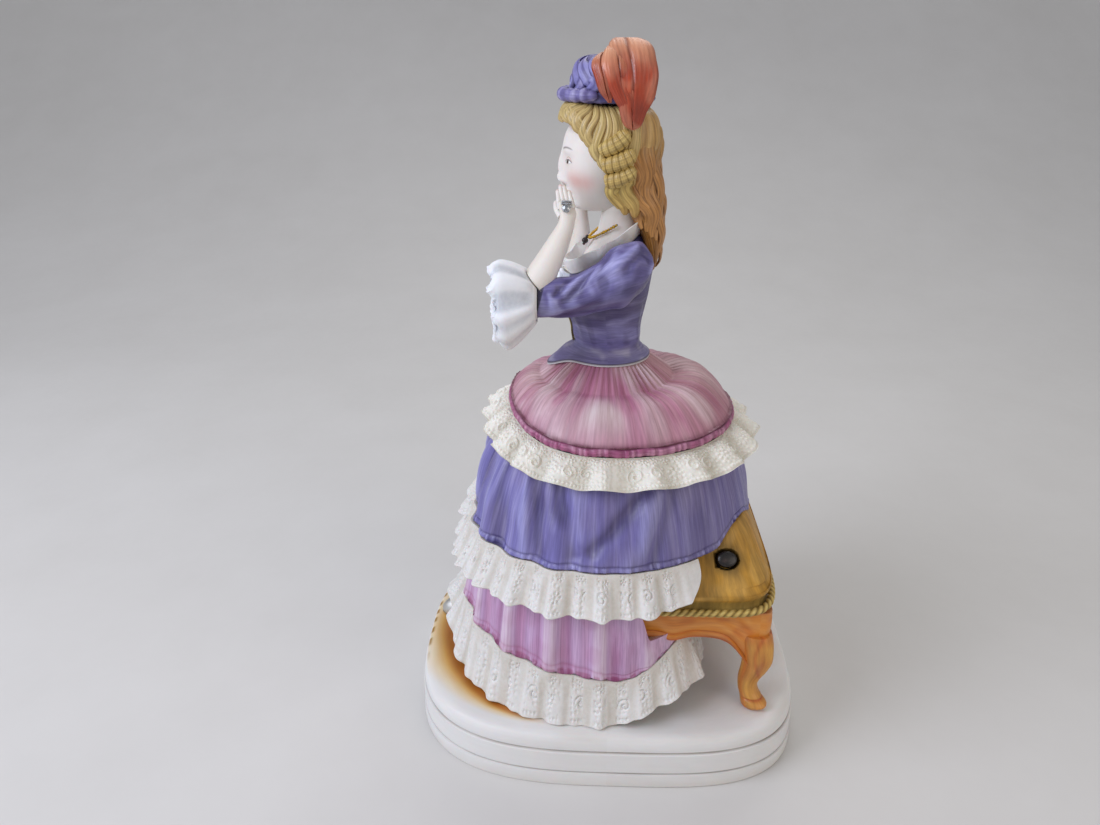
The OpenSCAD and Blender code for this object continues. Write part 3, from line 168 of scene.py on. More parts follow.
def points(x, y, z):
    """Points from three grids of coordinates, each stretched to the size of the others."""
    return np.stack(np.broadcast_arrays(x, y, z), -1)


def run_of(steps):
    """How far along each place is, from 0, by the lengths of the steps between them."""
    return np.concatenate([[0], np.cumsum(steps)])


def towards(up, around):
    """Directions at an angle up from level and an angle around; 270 is ahead."""
    return points(cosd(up) * cosd(around), cosd(up) * sind(around), sind(up))


def power(value, exponent):
    """A power that keeps the sign."""
    return np.sign(value) * np.abs(value) ** exponent


def unit(v):
    """Vectors scaled to length 1."""
    return v / np.maximum(np.linalg.norm(v, axis=-1, keepdims=True), 1e-9)


def cosd(a):
    """Cosine of an angle in degrees."""
    return np.cos(np.radians(a))


def sind(a):
    """Sine of an angle in degrees."""
    return np.sin(np.radians(a))


def reach(a, side, front, back, pf=2.2, pb=2.2):
    """Reach of a rounded outline in direction a, with its own front and back halves."""
    s, c = sind(a), np.abs(cosd(a))
    p = np.where(s < 0, pf, pb)
    e = np.where(s < 0, front, back)
    return ((c / side) ** p + (np.abs(s) / e) ** p) ** (-1 / p)


def spline(rows, count):
    """Catmull-Rom curve through the rows, at an even count of steps."""
    rows = np.asarray(rows, float)
    padded = np.concatenate([2 * rows[:1] - rows[1:2], rows, 2 * rows[-1:] - rows[-2:-1]])
    at = np.linspace(0, len(rows) - 1, count)
    i = np.minimum(at.astype(int), len(rows) - 2)
    t = (at - i).reshape((-1,) + (1,) * (rows.ndim - 1))
    a, b, c, d = padded[i], padded[i + 1], padded[i + 2], padded[i + 3]
    return 0.5 * (2 * b + (c - a) * t + (2 * a - 5 * b + 4 * c - d) * t ** 2
                  + (3 * b - a - 3 * c + d) * t ** 3)


def lumps(P, size, seed, terms=26):
    """Seamless noise of about -1 to 1: a sum of cosine waves in seeded directions, size apart."""
    rng = np.random.default_rng(seed)
    k = unit(rng.normal(size=(terms, 3))) * rng.uniform(0.6, 1.5, (terms, 1))
    waves = np.cos((2 * np.pi / size) * (P @ k.T) + rng.uniform(0, 2 * np.pi, terms))
    return waves.sum(-1) / math.sqrt(terms)


def wave(a, n):
    """A wave of n crests around the axis whose spacing wanders; 1 on a crest."""
    return cosd(n * a + 30 * sind(a + 40) + 22 * sind(2 * a + 110) + 14 * sind(3 * a + 200))


def fold(x, y, x0, y0, x1, y1, width):
    """A soft ridge of height 1 along the line from one point to another, width across."""
    dx, dy = x1 - x0, y1 - y0
    t = np.clip(((x - x0) * dx + (y - y0) * dy) / (dx * dx + dy * dy), 0, 1)
    return np.exp(-((x - x0 - t * dx) ** 2 + (y - y0 - t * dy) ** 2) / (2 * width * width))


def pleats(a, count, seed, sway=0.5):
    """Uneven pleats around the axis: a cosine of the angle whose phase wanders; 1 on a crest."""
    rng = np.random.default_rng(seed)
    r = np.radians(a)
    drift = sum(rng.uniform(-1, 1) * np.sin(k * r + rng.uniform(0, 6.28)) for k in range(1, 6))
    return np.cos(count * r + sway * drift * min(4, count / 5))


def crest(value, sharp=2.0):
    """A wave with round crests and narrow valleys, from 0 to 1."""
    return 1 - (1 - (0.5 + 0.5 * value)) ** sharp


def grid(around, across):
    """Angles all the way round as a column, and steps from 0 to 1 as a row."""
    return lap(around)[:, None], even(across)[None]


def polar(R, Z, a):
    """Points at a reach and height in direction a from the turning axis."""
    return points(R * cosd(a), AXIS_Y + R * sind(a), Z)


def facing(P, looped=False):
    """Outward unit normals of a surface whose second direction closes on itself."""
    du = np.roll(P, -1, 0) - np.roll(P, 1, 0) if looped else np.gradient(P, axis=0)
    dv = np.roll(P, -1, 1) - np.roll(P, 1, 1)
    n = unit(np.cross(du, dv))
    out = P - P.mean(1, keepdims=True)
    return n * (1 if (n * out).sum() > 0 else -1)


def push(P, height, looped=False):
    """Moves a surface out along its normals by a height at each point."""
    return P + facing(P, looped) * height[..., None]


def paint(P, base, *washes):
    """Colours of a surface: the base, then each (mask, colour) brushed over it."""
    def linear(colour):
        return np.asarray(srgb(colour) if isinstance(colour, str) else colour, float)

    shape = P.shape[:2]
    c = np.broadcast_to(linear(base), shape + (3,)).copy()
    for mask, colour in washes:
        m = np.clip(np.broadcast_to(mask, shape), 0, 1)[..., None]
        c = c * (1 - m) + linear(colour) * m
    return c


def skin(name, parts, body, node, slot, finish, sharp=50):
    """One closed mesh from parts, each a grid of points whose rows close on themselves. A part is
    (points, colours), then its lustre if it has any, and then True if its last row joins the
    first; any other part ends in a fan at each end. Colours go to the Paint attribute, with lustre
    as alpha."""
    made, start = [], 0
    for part in parts:
        P, colour, lustre, looped = part + (0.0, False)[len(part) - 2:]
        n, m = P.shape[:2]
        c = np.concatenate([np.broadcast_to(colour, (n, m, 3)).reshape(-1, 3),
                            np.broadcast_to(lustre, (n, m)).reshape(-1, 1)], 1)
        i, j = np.meshgrid(np.arange(n if looped else n - 1), np.arange(m), indexing="ij")
        i, j = i.ravel(), j.ravel()
        k, l = (i + 1) % n, (j + 1) % m
        quads = np.stack([i * m + j, i * m + l, k * m + l, k * m + j], 1)
        u, v = (run_of(np.linalg.norm(np.roll(P, -1, q) - P, axis=2).mean(1 - q)) for q in (1, 0))
        quv = np.stack([u[j], v[i], u[j + 1], v[i], u[j + 1], v[i + 1], u[j], v[i + 1]], 1)
        V = P.reshape(-1, 3)
        tris, tuv = np.zeros((0, 3), int), np.zeros((0, 6))
        if not looped:
            V = np.concatenate([V, P[:1].mean(1), P[-1:].mean(1)])
            c = np.concatenate([c, c[:m].mean(0, keepdims=True), c[-m:].mean(0, keepdims=True)])
            a, b = np.arange(m), (np.arange(m) + 1) % m
            last = (n - 1) * m
            tris = np.concatenate([np.stack([b, a, np.full(m, n * m)], 1),
                                   np.stack([last + a, last + b, np.full(m, n * m + 1)], 1)])
            zero, ends, half = np.zeros(m), np.full(m, v[n - 1]), (u[a] + u[a + 1]) / 2
            tuv = np.concatenate([np.stack([u[a + 1], zero, u[a], zero, half, zero - 1], 1),
                                  np.stack([u[a], ends, u[a + 1], ends, half, ends + 1], 1)])
        fan = V[np.concatenate([quads[:, [0, 1, 2]], quads[:, [0, 2, 3]], tris])]
        if np.einsum("ij,ij->i", fan[:, 0], np.cross(fan[:, 1], fan[:, 2])).sum() < 0:
            quads, tris = quads[:, ::-1], tris[:, ::-1]
            quv = quv.reshape(-1, 4, 2)[:, ::-1].reshape(-1, 8)
            tuv = tuv.reshape(-1, 3, 2)[:, ::-1].reshape(-1, 6)
        made.append((V, c, quads + start, tris + start, quv, tuv))
        start += len(V)
    V, tints, quads, tris, quv, tuv = (np.concatenate(each) for each in zip(*made))
    corners = np.concatenate([quads.ravel(), tris.ravel()])
    starts = np.concatenate([np.arange(len(quads)) * 4, len(quads) * 4 + np.arange(len(tris)) * 3])
    mesh = bpy.data.meshes.new(name)
    mesh.vertices.add(len(V))
    mesh.vertices.foreach_set("co", (V * MM).astype(np.float32).ravel())
    mesh.loops.add(len(corners))
    mesh.loops.foreach_set("vertex_index", corners.astype(np.int32))
    mesh.polygons.add(len(starts))
    mesh.polygons.foreach_set("loop_start", starts.astype(np.int32))
    mesh.update(calc_edges=True)
    flat = np.concatenate([quv.ravel(), tuv.ravel()]) * MM
    mesh.uv_layers.new(name="Surface").data.foreach_set("uv", flat.astype(np.float32))
    look = mesh.attributes.new("Paint", "FLOAT_COLOR", "POINT")
    look.data.foreach_set("color", tints.astype(np.float32).ravel())
    mesh.polygons.foreach_set("use_smooth", np.ones(len(starts), bool))
    mesh.set_sharp_from_angle(angle=math.radians(sharp))
    mesh.validate()
    mesh.materials.append(finish_of(finish))
    piece = bpy.data.objects.new(name, mesh)
    bpy.context.scene.collection.objects.link(piece)
    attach(piece, body)
    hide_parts(node)


def loft(rows, count, around, across, up):
    """Rings along rows of [x, y, z, half width, half depth]: a spline through the rows, with an
    ellipse across two directions at each step."""
    r = spline(rows, count)[:, None]
    a = lap(around)[None, :, None]
    return r[..., :3] + r[..., 3:4] * cosd(a) * across + r[..., 4:5] * sind(a) * up


def tube(path, radius, around=12):
    """A round tube along a path of points, its rings square to the path; radius may vary."""
    path = np.asarray(path, float)
    t = unit(np.gradient(path, axis=0))
    ref = np.where(np.abs(t[:, 2:3]) > 0.9, np.array([[1.0, 0, 0]]), np.array([[0, 0, 1.0]]))
    side = unit(np.cross(t, ref))[:, None]
    up = np.cross(side, t[:, None])
    a = lap(around)[None, :, None]
    radius = np.asarray(radius, float)
    radius = radius if radius.ndim == 2 else radius.reshape(-1, 1)
    radius = np.broadcast_to(radius, (len(path), around))
    return path[:, None] + radius[..., None] * (cosd(a) * side + sind(a) * up)


def fatten(T, radius):
    """A tube of radius 1 with a radius of its own at each of its points."""
    centre = T.mean(1, keepdims=True)
    return centre + (T - centre) * radius[..., None]


# ---- Materials

def add(tree, kind, sockets=None, **settings):
    """Adds one shader node, sets it, and gives each named socket a value or another's output."""
    made = tree.nodes.new(kind)
    for key, value in settings.items():
        setattr(made, key, value)
    for key, value in (sockets or {}).items():
        if isinstance(value, bpy.types.NodeSocket):
            tree.links.new(value, made.inputs[key])
        else:
            made.inputs[key].default_value = value
    return made


def glaze(name, colour=None, streak=(0.8, 8.0), streaks=0.35, thin=0.0, grain=1.2, mottle=0.2,
          rough=(0.4, 0.6), relief=0.05, coat=0.0, metal=0.0, soft=0.0):
    """A fired finish. Brush marks of the given size in millimetres, across and along, run over the
    painted colour, or over one colour, as fine bristle lines and as broad strokes five times as
    large; where the paint is thin the porcelain shows through. A grain changes gloss and dents."""
    mat = bpy.data.materials.new(name)
    mat.use_nodes = True
    tree = mat.node_tree
    tree.nodes.clear()
    place = add(tree, "ShaderNodeTexCoord")
    if colour is None:
        hue = add(tree, "ShaderNodeAttribute", attribute_name="Paint")
        base, lustre = hue.outputs["Color"], hue.outputs["Alpha"]
        where = place.outputs["UV"]
    else:
        hue = add(tree, "ShaderNodeRGB")
        hue.outputs[0].default_value = srgb(colour) + (1,)
        base, lustre = hue.outputs[0], None
        where = place.outputs["Object"]

    def marks(size, detail, low, high, amount):
        across, along = (1000 / (size * s) for s in streak)
        stretch = add(tree, "ShaderNodeMapping", {"Vector": where, "Scale": (across, along, across)})
        noise = add(tree, "ShaderNodeTexNoise",
                    {"Vector": stretch.outputs[0], "Scale": 1.0, "Detail": detail, "Roughness": 0.6})
        grey = add(tree, "ShaderNodeMapRange", {
            0: noise.outputs[0], 1: low, 2: high, 3: 0.5 - amount / 2, 4: 0.5 + amount / 2})
        return noise.outputs[0], grey.outputs[0]

    bristle, fine = marks(1, 3.0, 0.3, 0.7, streaks)
    sweep, broad = marks(5, 2.0, 0.32, 0.68, mottle)
    speck = add(tree, "ShaderNodeTexNoise",
                {"Vector": place.outputs["Object"], "Scale": 1000 / grain, "Detail": 4.0})
    tone = base
    if thin:
        bare = add(tree, "ShaderNodeMapRange", {0: sweep, 1: 0.45, 2: 0.75, 3: 0.0, 4: thin})
        tone = add(tree, "ShaderNodeMix", {0: bare.outputs[0], 6: tone, 7: (0.72, 0.7, 0.68, 1)},
                   data_type="RGBA").outputs[2]
    for grey in (fine, broad):
        tone = add(tree, "ShaderNodeMix", {0: 1.0, 6: tone, 7: grey},
                   data_type="RGBA", blend_type="OVERLAY").outputs[2]
    gloss = add(tree, "ShaderNodeMapRange",
                {0: speck.outputs[0], 1: 0.3, 2: 0.7, 3: rough[0], 4: rough[1]})
    height = add(tree, "ShaderNodeMath", {0: bristle, 1: speck.outputs[0]}, operation="ADD")
    dent = add(tree, "ShaderNodeBump",
               {"Strength": 0.6, "Distance": relief * MM, "Height": height.outputs[0]})
    shader = add(tree, "ShaderNodeBsdfPrincipled",
                 {"Base Color": tone, "Roughness": gloss.outputs[0],
                  "Normal": dent.outputs[0], "Coat Weight": coat, "Coat Roughness": 0.25,
                  "Metallic": metal, "Subsurface Weight": soft, "Subsurface Scale": 0.002})
    if lustre is not None and metal == 0:
        tree.links.new(lustre, shader.inputs["Metallic"])
    add(tree, "ShaderNodeOutputMaterial", {"Surface": shader.outputs[0]})
    return mat


# Each finish with what the eye sees of it. Streaks are in millimetres, across and along the stroke.
FINISHES = {
    # White biscuit ware: nearly matt, a faint stipple under the light.
    "Biscuit porcelain": dict(
        streak=(3, 14), streaks=0.05, mottle=0.05, rough=(0.42, 0.58), relief=0.02, soft=0.12),
    # Thin china paint on biscuit: long strokes around or along the piece, satin where it pooled.
    "Satin china paint": dict(
        streak=(0.7, 7), streaks=0.2, thin=0.08, mottle=0.12, rough=(0.36, 0.54), coat=0.05),
    # China paint stroked downwards: the strokes follow the fall of the skirt.
    "China paint in falling strokes": dict(
        streak=(14, 0.7), streaks=0.2, thin=0.12, mottle=0.14, rough=(0.36, 0.54), coat=0.05),
    # Slip-dipped lace: chalky white with sharp specks of shade in its holes.
    "Slip-dipped porcelain lace": dict(
        streak=(1.6, 1.6), streaks=0.1, mottle=0.08, grain=0.7, rough=(0.5, 0.7), relief=0.08,
        soft=0.08),
    # Gold lustre over porcelain: a satin sheen more than a mirror, thinner over the crests.
    "Gold lustre": dict(streak=(1.4, 9), streaks=0.2, mottle=0.3, rough=(0.48, 0.62)),
    # Amber glaze brushed along the wood's carving, glossy on the edges.
    "Amber wood glaze": dict(
        streak=(1.4, 14), streaks=0.18, mottle=0.24, rough=(0.34, 0.5), coat=0.08),
    # Hair glaze: fine lines along the strands, satin.
    "Satin hair glaze": dict(
        streak=(0.5, 9), streaks=0.32, rough=(0.34, 0.5), relief=0.08, coat=0.08),
    # Feather glaze: fine barbs across the vane, a warm gloss.
    "Feather glaze": dict(streak=(0.6, 7), streaks=0.18, rough=(0.3, 0.46), relief=0.06, coat=0.12),
    # Black gloss enamel: deep, with a soft broken highlight.
    "Black enamel": dict(streak=(3, 3), streaks=0.2, rough=(0.22, 0.36), relief=0.03, coat=0.15),
    # Silver lustre: bright, slightly pitted.
    "Silver lustre": dict(streak=(2, 2), streaks=0.25, mottle=0.25, rough=(0.16, 0.34), metal=1.0),
    # Turned brass: fine lathe rings, warm, a little tarnish in blotches.
    "Turned brass": dict(
        colour="#b9913f", streak=(20, 0.4), streaks=0.3, mottle=0.35, rough=(0.22, 0.42),
        relief=0.03, metal=1.0),
    # Brushed steel: long fine scratches.
    "Brushed steel": dict(
        colour="#a9adb2", streak=(24, 0.3), streaks=0.28, mottle=0.15, rough=(0.2, 0.38),
        relief=0.02, metal=1.0),
    # Spring steel: blued, darker, oiled.
    "Blued spring steel": dict(
        colour="#4b5263", streak=(12, 0.4), streaks=0.25, mottle=0.25, rough=(0.22, 0.4),
        relief=0.02, metal=1.0),
    # Stamped plate: dark lacquer on card-thin metal, faint orange peel.
    "Dark lacquered plate": dict(
        colour="#30363a", streak=(5, 5), streaks=0.12, grain=0.5, relief=0.06),
    # Pale matt board: barely mottled, so that shadows stay soft.
    "Pale matt board": dict(
        colour="#d2d0cd", streak=(60, 60), streaks=0.03, mottle=0.03, grain=6, rough=(0.6, 0.75)),
}


def finish_of(name):
    """The named finish, made the first time it is asked for."""
    return bpy.data.materials.get(name) or glaze(name, **FINISHES[name])


# ---- Shape of the gown

JOINTS = {j["name"]: j for j in frame["joints"]}
AXIS_Y, WAIST_Z = (1000 * JOINTS["torso_turn"]["pos_m"][i] for i in (1, 2))
CAST_GAP = 0.4
DECK_Z = size_of("plinth")[1][2]
SEAT_Z = size_of("stool_cushion")[0][2]
CONE_R, SHELF_R = 17.0, 30.0
PIPING_H = 3.6


def around_axis(node, a, pf=2.2, pb=2.2, grow=(0, 0, 0)):
    """Reach of a tier in direction a, from the CAD node's side, front and back."""
    low, high = size_of(node)
    return reach(a, high[0] + grow[0], AXIS_Y - low[1] + grow[1], high[1] - AXIS_Y + grow[2], pf, pb)


def loose(a):
    """1 where the skirts hang free of the stool."""
    return ease((0.1 - sind(a)) / 0.4)


def on_seat(a):
    """1 where the skirts lie over the stool."""
    return ease((sind(a) + 0.02) / 0.16)


def cone_z(r):
    """Height of the cone under the waist: it falls slightly faster than its reach grows."""
    return WAIST_Z - 0.55 * np.maximum(0, r - CONE_R) ** 1.1


def over_r(a):
    """Reach of the overskirt's hem: a rounded oval."""
    return around_axis("overskirt", a)


def over_hem_z(a):
    """Height of the overskirt's hem: level, but raised in front and slightly at the back."""
    return size_of("overskirt")[0][2] - 0.4 + 8 * bump(a, 270, 35) + 2 * bump(a, 90, 40)


def dome_z(a, r):
    """A cone to the shelf, then a puffed curve down to the hem."""
    R = over_r(a)
    t = np.clip((r - SHELF_R) / (R - SHELF_R), 0, 1)
    puffed = mix(cone_z(SHELF_R), over_hem_z(a), t) + (3 + 3.5 * bump(a, 90, 50)) * np.sin(np.pi * t)
    return np.where(r <= SHELF_R, cone_z(r), puffed)


def mid_r(a):
    """The middle skirt's hem: an oval that swings out in folds where it hangs free."""
    return (around_axis("middle_skirt", a, 2.2, 1.9, (-0.2, -0.7, 0.1))
            + 1.1 * loose(a) * wave(a, 21)
            + 2.5 * bump(a, 300, 13) + 4 * bump(a, 237, 15) - 1.5 * bump(a, 268, 12))


CUSHION_MID = 38.0
LIP_H = 8.5
SQUARED = 0.4


def cushion_z(x, y):
    """Height of the cushion's top: a crown that falls to the lip over rounded squares."""
    low, high = size_of("stool_cushion")
    out = ((np.abs(x) / high[0]) ** 5
           + (np.abs(y - CUSHION_MID) / (high[1] - CUSHION_MID)) ** 5) ** 0.2
    t = np.clip((out - 0.62) / 0.38, 0, 1)
    lip = low[2] + LIP_H
    return lip + (high[2] - lip) * (1 - t ** 1.15)


def mid_z(a, r):
    """The middle skirt's hem: level, but over the cushion where it meets it."""
    hem = size_of("middle_skirt")[0][2]
    seat = cushion_z(r * cosd(a), AXIS_Y + r * sind(a)) + CAST_GAP + 1.2
    return np.where(on_seat(a) > 0, np.maximum(hem, seat), hem)


def low_r(a):
    """Reach of the lower flounce's hem: a rounded oval with folds where it hangs free."""
    return (around_axis("lower_flounce", a, 2.3, 2.6, (-0.3, -1.1, 0))
            + 1.1 * loose(a) * wave(a, 19))


def low_z(a):
    """Height of the lower flounce's hem: raised in front and towards the stool."""
    return (size_of("lower_flounce")[0][2] - 2.2 + 13 * bump(a, 270, 50)
            + 15 * ease((sind(a) - 0.1) / 0.5))


def low_top(a):
    """The flounce's top: inside the middle skirt in front, then down to the cushion, then below
    the stool's rail."""
    hem = size_of("middle_skirt")[0][2] + 1.5
    past = np.minimum((a + 360) % 360, (540 - a) % 360)
    side = np.where(past > 180, past - 360, past)
    seat = mix(hem, SEAT_Z + 1.2, ease((side + 2) / 6))
    return mix(seat, RAIL_LOW - 0.4, ease((side - 14) / 5))


RAIL_LOW = SEAT_Z - 12.0
SHOE_A = 260


def lace_r(a):
    """Reach of the lowest lace's foot: a rounded oval that swells over the slipper."""
    return (around_axis("lower_flounce", a, 2.3, 3.4, (4.7, 7.9, 3.5))
            + 3.0 * bump(a, SHOE_A + 4, 15) - 1.5 * bump(a, 298, 20))


def lace_foot(a):
    """Height of the lowest lace's foot: on the deck, but lifted over the slipper and behind."""
    return (DECK_Z + 0.4 + 19 * bump(a, SHOE_A + 3, 14) + 2 * bump(a, 298, 18)
            + 14 * ease((sind(a) + 0.02) / 0.6))


# ---- Relief

def cells(x, size, shift=0.0):
    """The index of each place along a row of cells, and how far it is from its cell's middle."""
    i = np.floor(x / size + shift)
    return i, x - (i + 0.5 - shift) * size


def rosette(x, y, r, petals=6):
    """A flower in relief: a round heart and a ring of petals."""
    d, t = np.hypot(x, y) / r, np.arctan2(y, x)
    ring = peak(d, 0.66, 0.22) * (0.5 + 0.5 * np.cos(petals * t))
    return peak(d, 0, 0.26) + ring


def scroll(x, y, r):
    """A curled stem in relief: a spiral ridge of one and a half turns."""
    d, t = np.hypot(x, y) / r, np.arctan2(y, x) / (2 * np.pi)
    winding = (d * 1.5 - t) % 1
    return peak(winding, 0.5, 0.19) * ease((1.05 - d) / 0.2) * ease((d - 0.1) / 0.1)


PICKS = 997


def lace_relief(along, t, width, seed, pitch=8.0):
    """Relief of an edging of lace. along is the way round it in millimetres and t runs from its
    seam, 0, to its free edge, 1. Scrolls and flowers take turns along the middle, with small
    flowers above them, seed pearls scattered between, and a row of beads inside the edge."""
    y = t * width
    rng = np.random.default_rng(seed)
    pick = rng.uniform(-1, 1, (4, PICKS))
    i, x = cells(along, pitch)
    n = i.astype(int) % PICKS
    x = x + 0.6 * pick[0, n]
    at = y - (0.56 + 0.05 * pick[1, n]) * width
    hand = np.where(i % 2 == 0, 1, -1) * np.where(pick[2, n] > -0.4, 1, -1)
    curl = scroll(x * hand, at, pitch * 0.43)
    flower = rosette(x, at, pitch * 0.4, 7)
    big = np.where((i + (pick[3, n] > 0.2)) % 3 == 0, flower, curl)
    j, fx = cells(along, pitch * 0.62, 0.3)
    small = rosette(fx, y - (0.2 + 0.03 * pick[0, j.astype(int) % PICKS]) * width, pitch * 0.26, 5)
    gx, px = cells(along, 1.9)
    gy, py = cells(y + 0.95 * (gx % 2), 1.9)
    k = (gx * 31 + gy * 17).astype(int) % PICKS
    pearl = np.exp(-((px - 0.35 * pick[0, k]) ** 2 + (py - 0.35 * pick[1, k]) ** 2) / 0.36)
    pearl *= pick[2, k] > -0.3
    bead = np.exp(-(cells(along, 1.5)[1] ** 2 + (y - 0.9 * width) ** 2) / 0.28)
    h = np.maximum.reduce([big, 0.85 * small, 0.6 * pearl * (1 - np.clip(big, 0, 1)), 0.8 * bead])
    return h * ease(t / 0.1) * ease((0.98 - t) / 0.05)


def frill(s, name, a, R, Z, thick, relief, valley, node, slot, colour, shade, looped):
    """A lace frill of the gown: a wall that thins towards its free edge, with relief on its outer
    face, and a wash of shade in the relief's hollows and in the valleys between its flutes."""
    t = even(R.shape[1])[None]
    outer = push(polar(R, Z, a), 1000 * s.lace_depth * (relief - 0.3), looped)
    inner = polar(R - thick * (1 - 0.4 * t), Z - 0.3 * thick, a)[:, ::-2]
    hollow = ease(0.55 - relief) * np.clip(relief * 30, 0.35, 1)
    # Painted shade in the relief's hollows, in the valleys between the flutes, along the seam under
    # the tier above, and over the inner face.
    c = paint(outer, colour, (0.42 * hollow, shade), (0.35 * valley * ease(t / 0.3), shade),
              (0.35 * (1 - t) ** 3, shade))
    c = np.concatenate([c, paint(inner, colour, (0.25, shade))], 1)
    skin(name, [(np.concatenate([outer, inner], 1), c, 0.0, looped)], "figurine", node, slot,
         "Slip-dipped porcelain lace")


def walled(P, a, R, Z, thick, drop, colours, inside):
    """Closes a tier's outer face with a coarser inner one, set in by a thickness."""
    inner = polar(R - thick, Z - drop, a)[:, ::-4]
    # The inner face is painted all over in the given shade colour, as painted shade inside the tier.
    c = np.concatenate([colours, paint(inner, inside)], 1)
    return np.concatenate([P, inner], 1), c


# ---- Plinth

def plinth_r(a, inset):
    """Reach of the plinth's outline, a rounded square, less an inset."""
    high = size_of("plinth")[1]
    return reach(a, high[0] + 0.4 - inset, high[1] + 0.4 - inset, high[1] + 0.4 - inset, 2.9, 3.6)


def make_plinth(s):
    """Superellipse rings that follow a moulded profile: foot, two grooves, a rolled top edge, the
    deck as far as the hole under the skirts, and back along the recess."""
    h = DECK_Z
    g1, g2 = 0.29 * h, 0.7 * h
    profile = [(0.9, 0.0), (0.5, 0.5), (0.4, 1.4), (0.4, g1 - 1.1), (0.6, g1 - 0.5), (1.5, g1),
               (0.95, g1 + 0.5), (0.75, g1 + 1.1), (0.7, g2 - 1.6), (0.9, g2 - 0.6), (1.9, g2),
               (1.5, g2 + 0.6), (1.4, g2 + 1.4), (1.5, h - 4.6), (1.9, h - 2.8), (2.9, h - 1.2),
               (4.8, h - 0.3), (7.6, h), (12.0, h), (18.0, h), (26.0, h)]
    a = lap(480)[:, None]
    line = spline(profile, 120)
    outer = plinth_r(a, line[None, :, 0])
    z = np.broadcast_to(line[None, :, 1], outer.shape)
    hole, deck, inset = 30.0, 3.5, 6.0
    tail = [(hole, h), (hole, h - deck)]
    back = [(inset, h - deck - 0.1), (inset, 0.6), (inset - 0.5, 0.0)]
    R = np.concatenate([outer] + [np.full_like(a, r) for r, _ in tail]
                       + [plinth_r(a, i) for i, _ in back], 1)
    Z = np.concatenate([z] + [np.full_like(a, q) for _, q in tail + back], 1)
    P = points(R * cosd(a), R * sind(a), Z)
    x, y = P[..., 0], P[..., 1] - AXIS_Y
    ga = np.degrees(np.arctan2(y, x)) % 360
    away = np.hypot(x, y) - lace_r(ga)
    deck_on = (Z > h - 1.5) & (R > hole + 0.5)
    sweep = ease((ga - 205) / 30) * ease((344 - ga) / 26) * deck_on
    uneven = 0.5 * lumps(P, 30, 3)
    wide = (15.5 + 1.6 * uneven) * ease((346 - ga) / 62) + 1.5
    glow = ease((wide - away) / (0.55 * wide)) * sweep
    amber = ease((0.6 * wide - away) / (0.42 * wide)) * sweep
    dark = ease((0.3 * wide - away) / (0.3 * wide)) * sweep
    side = R > 60
    groove = (peak(Z, g1, 0.38) + peak(Z, g2, 0.38)) * side
    groove *= 0.42 + 0.22 * bump(ga, 30, 50) + 0.12 * lumps(P, 30, 5)
    # In the bisque shade colour: a faint uneven darker band round the rolled top edge, and the sides
    # darker towards the bottom.
    top_band = peak(Z - h, -1.2, 1.6) * side * 0.12 * (0.6 + 0.6 * lumps(P, 40, 7))
    darker_below = ease((7 - Z) / 7) * 0.2 * side
    rim = peak(R, plinth_r(np.degrees(np.arctan2(P[..., 1], x)), 3.2), 0.8)
    rim *= (Z > h - 3.4) * ease((bump(ga, 238, 30) - 0.2) / 0.3)
    dash = ease((np.cos(np.radians(ga * 62) + 2 * sind(7 * ga)) + 0.2) / 0.5)
    gold = rim * dash
    c = paint(P, s.bisque, (darker_below, s.shade), (top_band, s.shade), (groove, "#80705f"),
              (0.6 * glow, "#e0c078"), (0.9 * amber, "#cf9a3f"), (0.9 * dark, s.ochre),
              (gold, "#a97d2c"))
    skin("Plinth", [(P, c, 0.5 * gold, True)], "figurine", "plinth", "bisque",
         "Biscuit porcelain", 40)


# ---- Skirts

